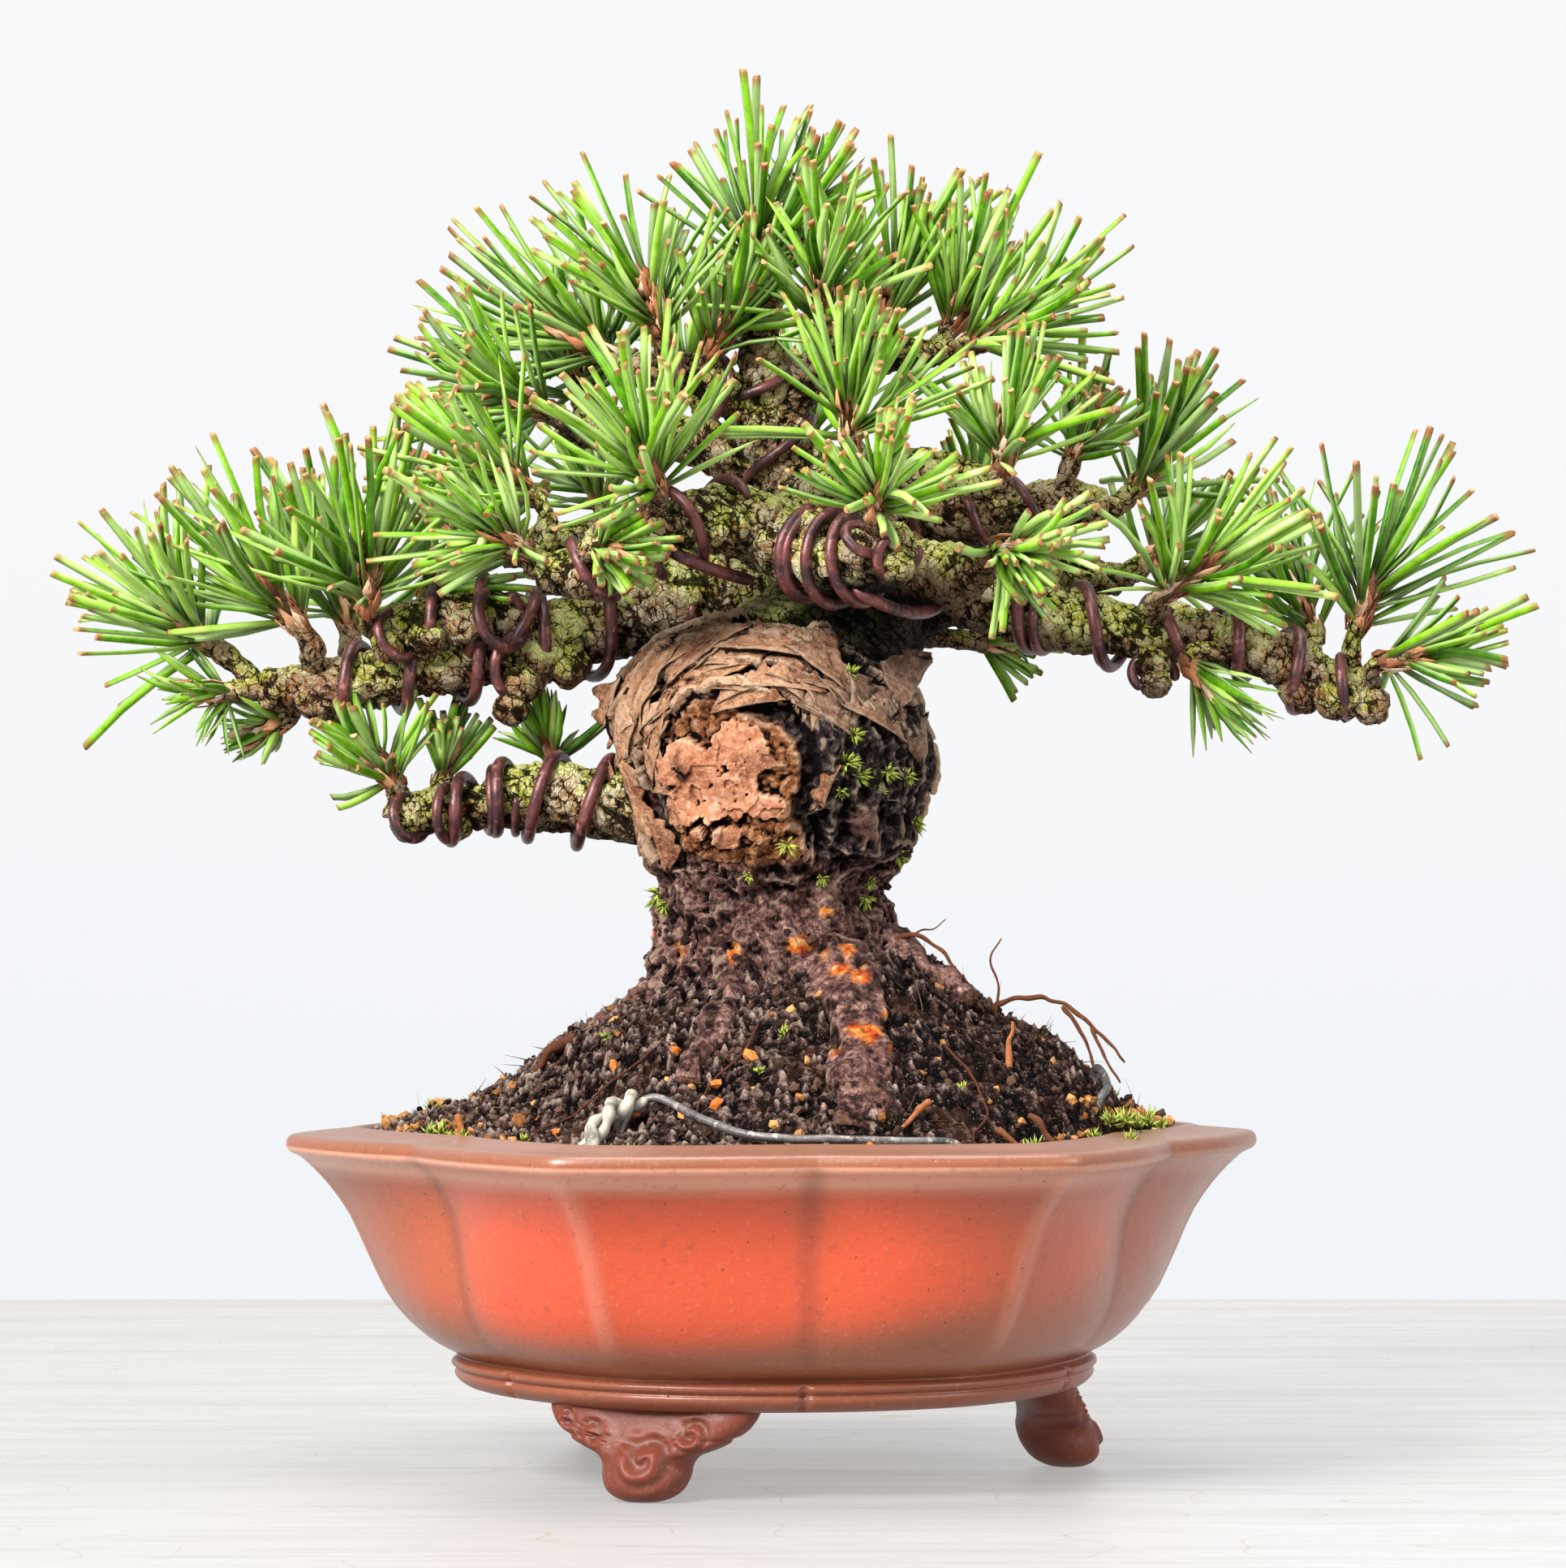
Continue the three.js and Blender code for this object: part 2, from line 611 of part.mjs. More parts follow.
// A training wire winds round a limb from one share of its line to another, the other way where its turns are
// below zero.
const WIRES = {
  wire_left: { limb: "left", from: 0.24, to: 0.86, turns: -5.4, radius: 0.85, start: 0.3 },
  wire_left_low: { limb: "leftLow", from: 0.16, to: 0.86, turns: -4.2, radius: 0.85, start: 0.1 },
  wire_front_left: { limb: "frontLeft", from: 0.22, to: 0.84, turns: 3.2, radius: 0.8, start: 0.5 },
  wire_front_centre: { limb: "frontCentre", from: 0.2, to: 0.62, turns: 3.2, radius: 0.8, start: 0.2 },
  wire_right: { limb: "right", from: 0.22, to: 0.9, turns: 5.2, radius: 0.85, start: 0.6 },
  wire_leader: { limb: "leader", from: 0.56, to: 0.9, turns: 2.6, radius: 0.7, start: 0 },
};

const STEPS_A_TURN = 7.5;

class Winding extends THREE.Curve {
  constructor(wire, start) {
    super();
    this.wire = wire;
    this.start = start;
    this.limb = limbLine(LIMBS[wire.limb]);
    this.hint = limbHint(LIMBS[wire.limb]);
  }

  getPoint(share) {
    const { from, to, turns, radius } = this.wire;
    const place = lerp(from, to, share);
    const tangent = this.limb.curve.getTangent(place);
    const first = this.hint.clone().addScaledVector(tangent, -this.hint.dot(tangent)).normalize();
    const second = vector(0, 0, 0).crossVectors(tangent, first);
    const reach = this.limb.radius(place) + radius + WIRE_SLACK;
    const turn = 2 * Math.PI * (turns * share + this.start);
    return this.limb.curve
      .getPoint(place)
      .addScaledVector(first, reach * Math.cos(turn))
      .addScaledVector(second, reach * Math.sin(turn));
  }
}

// The least room between a wire's line and the twigs' sides.
function roomBeside(line, radius, twigs) {
  const runs = line.slice(1).map((to, i) => ({ from: line[i], to }));
  const stretchesOf = (rows) =>
    rows.slice(1).map((row, i) => ({ from: limbPoint(rows[i]), to: limbPoint(row), radius: rows[i][3] }));
  const rooms = twigs
    .flatMap(stretchesOf)
    .map((twig) => Math.min(...runs.map((run) => stretchDistance(twig, run))) - twig.radius - radius);
  return Math.min(...rooms);
}

// A winding may start at any of twelve turns: the one that leaves the twigs most room is taken.
const STARTS = 12;
function bestWinding(wire, twigs) {
  const steps = Math.round(Math.abs(wire.turns) * STEPS_A_TURN);
  const windings = Array.from({ length: STARTS }, (_, trial) => {
    const curve = new Winding(wire, wire.start + trial / STARTS);
    const line = curve.getPoints(steps);
    return { curve, line, steps, room: roomBeside(line, wire.radius, twigs) };
  });
  return windings.reduce((best, winding) => (winding.room > best.room ? winding : best));
}

// A wire of five sides along a curve.
function wireTube(curve, radius, steps) {
  const section = new THREE.Shape(
    Array.from({ length: 5 }, (_, side) => {
      const turn = (side / 5) * 2 * Math.PI;
      return new THREE.Vector2(radius * Math.cos(turn), radius * Math.sin(turn));
    }),
  );
  return new THREE.ExtrudeGeometry(section, { steps, extrudePath: curve, bevelEnabled: false });
}

// The bud at a shoot's tip is a slim closed spindle: a point, rings of corners, and a point again.
function budPoints(shoot) {
  const [first, second] = sideways(shoot.direction);
  const half = CORE_LENGTH / 2;
  const points = [];
  for (let ring = 0; ring <= shoot.bands; ring += 1) {
    const down = (ring / shoot.bands) * Math.PI;
    const corners = ring % shoot.bands ? shoot.around : 1;
    for (let side = 0; side < corners; side += 1) {
      const about = ((side + (ring % 2) / 2) / shoot.around) * 2 * Math.PI;
      points.push(
        shoot.centre
          .clone()
          .addScaledVector(shoot.direction, half * Math.cos(down))
          .addScaledVector(first, CORE_RADIUS * Math.sin(down) * Math.cos(about))
          .addScaledVector(second, CORE_RADIUS * Math.sin(down) * Math.sin(about)),
      );
    }
  }
  return points;
}

// A needle's aim and tip. It opens out with its row, and each try wanders further until the needle is clear
// of every other piece and of the needles already grown on its own shoot.
const TRIES = 26;
function aimNeedle(shoot, facet, row, side) {
  const middle = facet[0].clone().add(facet[1]).add(facet[2]).divideScalar(3);
  const normal = new THREE.Triangle(...facet).getNormal(vector(0, 0, 0));
  const outwards = middle.clone().sub(shoot.centre);
  outwards.addScaledVector(shoot.direction, -outwards.dot(shoot.direction)).normalize();
  const seed = shoot.number * 31 + row * 7 + side;
  const lowest = row === shoot.rows - 1 ? 0.86 : 1;
  for (let attempt = 0; attempt < TRIES; attempt += 1) {
    const wander = 4 + attempt * 1.1;
    const open = radians((shoot.spread * (row + 0.55)) / shoot.rows + wander * (chance(seed, attempt) - 0.5));
    const swing = radians(wander * 1.6 * (chance(seed + 0.5, attempt) - 0.5));
    const aim = outwards.clone().applyAxisAngle(shoot.direction, swing).multiplyScalar(Math.sin(open));
    aim.addScaledVector(shoot.direction, Math.cos(open));
    const share = (0.84 + 0.24 * chance(seed, 3.3)) * (1 - 0.012 * attempt) * lowest;
    const tip = middle.clone().addScaledVector(aim, (shoot.length - NEEDLE_ROOT) * share);
    const body = { from: middle.clone().addScaledVector(aim, 1.2), to: tip, radius: NEEDLE_RADIUS };
    const outer = { from: middle.clone().addScaledVector(aim, 5), to: tip, radius: NEEDLE_RADIUS };
    const apart = shoot.grown.every((other) => stretchDistance(outer, other) > 2 * NEEDLE_RADIUS + 0.1);
    if (aim.dot(normal) > 0.3 && apart && clearOf(body, shoot.name, NEEDLE_CLEARANCE)) {
      return { aim, middle, tip, body, outer };
    }
  }
  return null;
}

// A tuft is one closed surface: the bud, with its facets drawn out into three-sided needles with blunt tips.
function tuft([name, place, length, rows, spread, turn, lean], number) {
  const direction = shootDirection(turn, lean);
  const centre = vector(...place).addScaledVector(direction, GAP + CORE_LENGTH / 2);
  const around = length > SHORT_NEEDLES ? 6 : 5;
  const shoot = { name, number, length, rows, spread, direction, centre, around, bands: rows + 1, grown: [] };
  const points = budPoints(shoot);
  const index = [];
  const last = points.length - 1;
  const at = (ring, side) => 1 + (ring - 1) * around + (side % around);
  const grow = (corners, row, side) => {
    const facet = corners.map((i) => points[i]);
    const needle = aimNeedle(shoot, facet, row, side);
    if (!needle) {
      index.push(...corners);
      return;
    }
    const { aim, middle, tip } = needle;
    const arm = facet[0].clone().sub(middle);
    arm.addScaledVector(aim, -arm.dot(aim)).setLength(NEEDLE_RADIUS);
    const base = points.length;
    for (let k = 0; k < 3; k += 1) {
      const [near, next, after] = [corners[k], corners[(k + 1) % 3], base + ((k + 1) % 3)];
      points.push(tip.clone().add(arm.clone().applyAxisAngle(aim, (k * 2 * Math.PI) / 3)));
      index.push(near, next, after, near, after, base + k);
    }
    index.push(base, base + 1, base + 2);
    shoot.grown.push(needle.outer);
    stretches.push({ ...needle.body, owner: name });
  };
  for (let side = 0; side < around; side += 1) {
    const cap = [0, at(1, side), at(1, side + 1)];
    if (side % 2 === 0) grow(cap, 0, side);
    else index.push(...cap);
    index.push(at(rows, side + 1), at(rows, side), last);
  }
  for (let ring = 1; ring < rows; ring += 1) {
    const shifted = ring % 2;
    for (let side = 0; side < around; side += 1) {
      const [a, b] = [at(ring, side), at(ring, side + 1)];
      const [c, d] = [at(ring + 1, side), at(ring + 1, side + 1)];
      index.push(a, c, shifted ? d : b);
      grow(shifted ? [a, d, b] : [b, c, d], ring, side);
    }
  }
  return new THREE.BufferGeometry().setFromPoints(points).setIndex(index);
}

// The soil's top is a mound. It falls in two outlines, [distance out, height], one on each side.
const MOUND_LEFT = [
  [12, 67.4],
  [20, 62.7],
  [28.8, 57.8],
  [34.2, 52.9],
  [39.6, 49.4],
  [46, 47.2],
  [52, 45.2],
];
const MOUND_RIGHT = [
  [12, 70.6],
  [21, 68.2],
  [25.5, 64.4],
  [30, 60.6],
  [36.3, 58.2],
  [41.8, 53.6],
  [46, 48.8],
  [52, 45],
];
const FRONT_DROP = 3.2;
function soilTop(x, y) {
  const out = Math.hypot(x, y);
  const right = smooth(x / out, -0.5, 0.9);
  const crumbs = 1.1 * (chance(Math.round(x * 0.9), Math.round(y * 0.9)) - 0.5);
  const drop = FRONT_DROP * smooth(-y / out, 0.2, 0.8) * smooth(out, 24, 44) + (out > 20 ? crumbs : 0);
  return lerp(readTable(MOUND_LEFT, out), readTable(MOUND_RIGHT, out), right) - drop;
}

function soilBody() {
  const inside = INNER_WALL.slice().reverse();
  const wall = (z, degrees) => {
    const reach = readTable(inside.map(([r, height]) => [height, r]), z);
    return reach * (1 - lobeShare(z) * (1 - lobeShape(degrees))) - GAP - 0.15;
  };
  const rings = [];
  const ringAt = (reachOf, heightOf) => {
    rings.push(
      Array.from({ length: AROUND_POT }, (_, side) => {
        const degrees = (side / AROUND_POT) * 360 + FIRST_RIDGE;
        const reach = reachOf(degrees);
        const [x, y] = [reach * Math.sin(radians(degrees)), -reach * Math.cos(radians(degrees))];
        return vector(x, y, heightOf(x, y));
      }),
    );
  };
  for (const height of [FLOOR_TOP + GAP, 21, 42]) ringAt((degrees) => wall(height, degrees), () => height);
  for (const share of [0.95, 0.85, 0.74, 0.63, 0.52, 0.41]) {
    ringAt((degrees) => wall(42, degrees) * share, soilTop);
  }
  ringAt(() => 12, () => 66);
  return closedRings(rings);
}

// The tie wires hold the root ball in the pot. Each lies on the soil, with its ends pushed into it.
const TIE_RADIUS = 0.55;
const TIE_LIFT = 0.7; // over the crumbs of the soil
const TIES = {
  tie_wire_front: [
    [25, -40, -6],
    [23, -41.4, -0.4],
    [16, -44, 0.1],
    [9, -45, 0.1],
    [2, -45.2, 0.1],
    [-4, -43.6, 0.2],
    [-10, -38.4, 0.6],
    [-15.4, -33.8, 1],
    [-19, -34.6, 0.4],
    [-20.6, -36.2, -5],
  ],
  tie_wire_right: [
    [41, -17.5, -6],
    [42.4, -16.6, 0],
    [43.6, -13.4, 1.4],
    [42.4, -9.6, 0.8],
    [41.4, -8.6, -4],
  ],
};

function tieCurve(rows) {
  const points = rows.map(([x, y, lift]) => vector(x, y, soilTop(x, y) + TIE_RADIUS + TIE_LIFT + lift));
  return new THREE.CatmullRomCurve3(points);
}

const group = new THREE.Group();
function piece(name, geometry, look) {
  const mesh = new THREE.Mesh(geometry, new THREE.MeshStandardMaterial(LOOKS[look]));
  mesh.name = name;
  group.add(mesh);
}

// The pot, its net and the soil with plain holes for the trunk, the net and the tie wires
piece("pot", geometryOf(pot()), "clay");
piece("drain_net", geometryOf(drainNet()), "net");
const netPocket = new THREE.BoxGeometry(NET_SIDE + 2 * GAP, NET_SIDE + 2 * GAP, 2 * (NET_THICKNESS + 2 * GAP));
netPocket.translate(0, 0, FLOOR_TOP + GAP);
let soil = solid(soilBody()).subtract(solid(trunkRings(GAP + 0.1))).subtract(solid(netPocket));
for (const [name, rows] of Object.entries(TIES)) {
  const curve = tieCurve(rows);
  piece(name, wireTube(curve, TIE_RADIUS, rows.length * 2), "tie");
  soil = soil.subtract(solid(wireTube(curve, TIE_RADIUS + GAP + 0.1, rows.length * 2)));
}
piece("soil", geometryOf(largest(soil)), "soil");

// The pine: trunk, limbs and twigs are one grown piece
let pine = solid(trunkRings(0));
for (const rows of Object.values(LIMBS)) {
  pine = pine.add(solid(limbRings(rows, rows[0][3] > 4.5 ? 6 : 5)));
  const { curve, radius } = limbLine(rows);
  const shares = Array.from({ length: 17 }, (_, i) => i / 16);
  fill(shares.map((s) => curve.getPoint(s)), shares.map(radius), "pine");
}
const burlAxis = [BURL_MIDDLE, BURL_MIDDLE.clone().add(vector(0, 0, 0.1))];
fill(burlAxis, [BURL_REACH, BURL_REACH], "pine");

const directions = TUFTS.map(([, , , , , turn, lean]) => shootDirection(turn, lean));
const twigs = TUFTS.map(([, place], number) => twigRows(vector(...place), directions[number]));
twigs.forEach((rows, number) => {
  pine = pine.add(twigSolid(rows, directions[number]));
  fill(rows.map(limbPoint), rows.map((row) => row[3]), "pine");
});
for (const [name, wire] of Object.entries(WIRES)) {
  const { curve, line, steps } = bestWinding(wire, twigs);
  piece(name, wireTube(curve, wire.radius, steps), "wire");
  pine = pine.subtract(solid(wireTube(curve, wire.radius + GAP, steps)));
  fill(line, line.map(() => wire.radius + 0.1), name);
}
piece("pine", geometryOf(largest(pine)), "bark");

// Every tuft's bud has its room before the first needle grows
TUFTS.forEach(([name, place], number) => {
  const reach = (distance) => vector(...place).addScaledVector(directions[number], distance);
  fill([reach(1), reach(CORE_LENGTH)], [CORE_RADIUS, CORE_RADIUS], `tuft_${name}`);
});
TUFTS.forEach(([name, ...row], number) => piece(`tuft_${name}`, tuft([`tuft_${name}`, ...row], number), "needle"));

// The origin goes under the middle of the whole plant
const box = new THREE.Box3().setFromObject(group);
const middle = box.getCenter(vector(0, 0, 0));
for (const mesh of group.children) mesh.position.set(-middle.x, -middle.y, 0);

export default group;
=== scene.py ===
"""A small Japanese black pine bonsai in its six-lobed clay pot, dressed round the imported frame.

Places are worked out in millimetres from the pot's axis, +Z up, with the viewer on the -Y side, and go into
the meshes in metres.
"""
import math

import bpy
import numpy as np
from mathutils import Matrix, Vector


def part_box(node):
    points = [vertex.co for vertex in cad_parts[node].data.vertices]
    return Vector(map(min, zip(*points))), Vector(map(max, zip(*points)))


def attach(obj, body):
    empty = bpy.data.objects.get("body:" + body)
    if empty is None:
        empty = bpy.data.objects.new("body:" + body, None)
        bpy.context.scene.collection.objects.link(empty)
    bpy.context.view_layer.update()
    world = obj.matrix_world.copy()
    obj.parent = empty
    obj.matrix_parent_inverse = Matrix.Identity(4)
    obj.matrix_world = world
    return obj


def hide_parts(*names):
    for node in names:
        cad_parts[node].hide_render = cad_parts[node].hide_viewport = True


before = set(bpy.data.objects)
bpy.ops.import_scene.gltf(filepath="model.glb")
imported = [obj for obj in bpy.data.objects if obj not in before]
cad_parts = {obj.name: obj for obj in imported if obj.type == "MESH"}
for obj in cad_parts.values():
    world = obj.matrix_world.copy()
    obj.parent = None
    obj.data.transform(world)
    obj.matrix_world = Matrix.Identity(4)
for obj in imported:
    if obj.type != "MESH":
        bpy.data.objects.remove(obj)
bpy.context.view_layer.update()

MM = 0.001
pot_box = np.array([list(corner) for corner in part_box("pot")])
POT_AXIS = np.array([*pot_box.mean(axis=0)[:2], 0.0])

# The view. A long lens stands a little above the pot's rim, seven hand's breadths in front of the tree.
CAMERA_PLACE = (0, -705.3, 80.8)
CAMERA_AIM = (1.1, 0, 91.4)
CAMERA_LENS = 121.1
camera = bpy.data.objects.new("camera", bpy.data.cameras.new("camera"))
camera.data.lens = CAMERA_LENS
camera.location = Vector(POT_AXIS) + Vector(CAMERA_PLACE) * MM
sight = Vector(CAMERA_AIM) - Vector(CAMERA_PLACE)
camera.rotation_euler = sight.to_track_quat("-Z", "Y").to_euler()
bpy.context.scene.collection.objects.link(camera)
bpy.context.scene.camera = camera


# The pot is unglazed red clay, pressed in a mould of six lobes, with a rolled foot ring and a broad flat
# lip. It was fired so that the middle of each panel flushed orange, while the lip and the foot stayed brown.
RIM_HEIGHT = 45
LOBES = 6
FIRST_RIDGE = -25
FOOT_HEIGHT = 11.5
FLOOR_TOP = 15.5
RING_TOP = 15.3
DRAIN_RADIUS = 6.5
LOBE_BULGE = 0.034
NOTCH_DEPTH = 0.7
STEPS_A_LOBE = 44
POT_PROFILE = [
    (DRAIN_RADIUS, 12), (DRAIN_RADIUS + 0.5, FOOT_HEIGHT), (16, FOOT_HEIGHT), (28, FOOT_HEIGHT),
    (38, FOOT_HEIGHT), (40.6, 11.6), (41.8, 12.1), (42.6, 12.9), (42.7, 13.5), (42.4, 13.85), (42.7, 14.1),
    (43.1, 14.5), (43.05, 15), (42.5, 15.35), (42.2, 15.6), (42.7, 16), (43.9, 16.6), (46.2, 18),
    (48.8, 20.4), (51.5, 24.2), (54, 29.4), (56.3, 34.4), (58.8, 38), (60.9, 40.3), (62.5, 41.6),
    (63.5, 42.2), (64.4, 42.6), (64.95, 43.2), (65, 43.9), (64.75, 44.55), (64.1, 44.95), (62.6, 45),
    (60, 45.1), (57.6, 45.5), (56.3, 45.85), (55.6, 45.8), (55, 45.3), (54.75, 44), (54.5, 41),
    (52.8, 36.5), (50.6, 31), (48, 26), (45.2, 21), (42, 17.4), (37.5, FLOOR_TOP + 0.1), (28, FLOOR_TOP),
    (16, FLOOR_TOP), (DRAIN_RADIUS + 0.4, FLOOR_TOP), (DRAIN_RADIUS, 15),
]


def ease(value, low, high):
    """From 0 to 1 between low and high, with flat ends: 3s^2 - 2s^3."""
    share = np.clip((value - low) / (high - low), 0, 1)
    return share * share * (3 - 2 * share)


def spline(rows, places, closed=False):
    """A smooth line through rows of numbers, at places counted in rows: cubic stretches whose slopes are
    half the step between a row's neighbours. A whole number of places spreads them evenly."""
    rows = np.array(rows, float)
    if closed:
        ends = np.vstack([rows[-1:], rows, rows[:2]])
        places = np.linspace(0, len(rows), places, endpoint=False)
    else:
        ends = np.vstack([2 * rows[:1] - rows[1:2], rows, 2 * rows[-1:] - rows[-2:-1]])
        if isinstance(places, int):
            places = np.linspace(0, len(rows) - 1, places)
    row = np.minimum(places.astype(int), len(ends) - 4)
    t = (places - row)[:, None]
    before, start, stop, after = (ends[row + k] for k in range(4))
    rise, fall = (stop - before) / 2, (after - start) / 2
    return (
        (2 * t**3 - 3 * t**2 + 1) * start + (t**3 - 2 * t**2 + t) * rise
        + (3 * t**2 - 2 * t**3) * stop + (t**3 - t**2) * fall
    )


def chance(at, seed):
    """A steady random number from 0 to 1 for each whole-numbered cell."""
    code = (at[..., 0] * 73856093) ^ (at[..., 1] * 19349663) ^ (at[..., 2] * 83492791) ^ (seed * 40503 + 977)
    code = (code ^ (code >> 13)) * 1274126177 & 0x7FFFFFFF
    code = (code ^ (code >> 16)) * 1911520717 & 0x7FFFFFFF
    return code / 0x7FFFFFFF


def noise(points, size, seed=0):
    """Smooth seeded noise from -1 to 1: a value at each corner of cells of this size, eased between them."""
    scaled = np.asarray(points, float) / size
    cell = np.floor(scaled).astype(np.int64)
    part = scaled - cell
    part = part * part * (3 - 2 * part)
    total = 0
    for corner in np.ndindex(2, 2, 2):
        weight = np.prod(np.where(corner, part, 1 - part), axis=-1)
        total = total + weight * (2 * chance(cell + np.array(corner), seed) - 1)
    return total


def cells(points, size, seed=0):
    """Scattered cells, one to each cube of this size: how near a point is to its cell's middle, how much
    further the next middle lies, and a random number for the cell."""
    scaled = np.asarray(points, float) / size
    cube = np.floor(scaled).astype(np.int64)
    near = np.full(scaled.shape[:-1], 9.0)
    next_one = near.copy()
    pick = np.zeros(near.shape)
    for offset in np.ndindex(3, 3, 3):
        at = cube + np.array(offset) - 1
        middle = at + np.stack([chance(at, seed + k) for k in range(3)], axis=-1)
        reach = np.linalg.norm(scaled - middle, axis=-1)
        closer = reach < near
        next_one = np.where(closer, near, np.minimum(next_one, reach))
        pick = np.where(closer, chance(at, seed + 3), pick)
        near = np.where(closer, reach, near)
    return near, next_one - near, pick


def warped(points, size, amount, seed):
    """Points moved about by three noises, so that cells and lines drawn on them wander."""
    moves = [noise(points, size, seed + k) for k in range(3)]
    return points + amount * np.stack(moves, axis=-1)


def grid_faces(rows, columns, round_rows=False, round_columns=True):
    """Two triangles for each cell of a grid of points, which may close on itself either way."""
    row_steps = np.arange(rows if round_rows else rows - 1)
    column_steps = np.arange(columns if round_columns else columns - 1)
    i, j = (steps.ravel() for steps in np.meshgrid(row_steps, column_steps, indexing="ij"))
    i_next, j_next = (i + 1) % rows, (j + 1) % columns
    a, b, c, d = i * columns + j, i * columns + j_next, i_next * columns + j_next, i_next * columns + j
    return np.vstack([np.column_stack([a, b, c]), np.column_stack([a, c, d])])


def outward(points, faces):
    """The faces of a closed surface turned to look outwards: its signed volume is made positive."""
    a, b, c = (points[faces[:, k]] for k in range(3))
    volume = np.einsum("ij,ij->i", a, np.cross(b, c)).sum()
    return faces if volume > 0 else faces[:, ::-1]


def ring_faces(count, sides):
    """Triangles between rings of points, and a fan at each end to one more point each."""
    side = np.arange(sides)
    after = (side + 1) % sides
    last = (count - 1) * sides
    start = np.column_stack([after, side, np.full(sides, count * sides)])
    stop = np.column_stack([last + side, last + after, np.full(sides, count * sides + 1)])
    return np.vstack([grid_faces(count, sides), start, stop])


def closed_rings(rings, shades=None):
    """Rings of points, shaped (rings, sides, 3), joined into one surface with a fan at each end. The shades
    are values for the rings' points, and 0 in the middle of the fans."""
    count, sides, _ = rings.shape
    points = np.vstack([rings.reshape(-1, 3), rings[0].mean(axis=0), rings[-1].mean(axis=0)])
    shades = {key: np.append(np.asarray(values, float), [0, 0]) for key, values in (shades or {}).items()}
    return points, outward(points, ring_faces(count, sides)), shades


def repeated(points, shape, tones):
    """Many small solids, shaped (solids, corners, 3), with the same triangles on each and a tone for each."""
    count, corners, _ = points.shape
    starts = corners * np.arange(count)[:, None, None]
    faces = (outward(points[0], shape) + starts).reshape(-1, 3)
    return points.reshape(-1, 3), faces, {"tone": np.repeat(tones, corners)}


class Value:
    """One socket of a finish's nodes. Arithmetic on it adds the Math nodes that work it out."""

    def __init__(self, finish, socket):
        self.finish, self.socket = finish, socket

    def math(self, operation, a, b):
        return self.finish.node("ShaderNodeMath", {"operation": operation}, {0: a, 1: b})

    def __add__(self, other):
        return self.math("ADD", self, other)

    def __sub__(self, other):
        return self.math("SUBTRACT", self, other)

    def __rsub__(self, other):
        return self.math("SUBTRACT", other, self)

    def __mul__(self, other):
        return self.math("MULTIPLY", self, other)

    def fraction(self):
        return self.math("FRACT", self, 0.0)

    __radd__, __rmul__ = __add__, __mul__


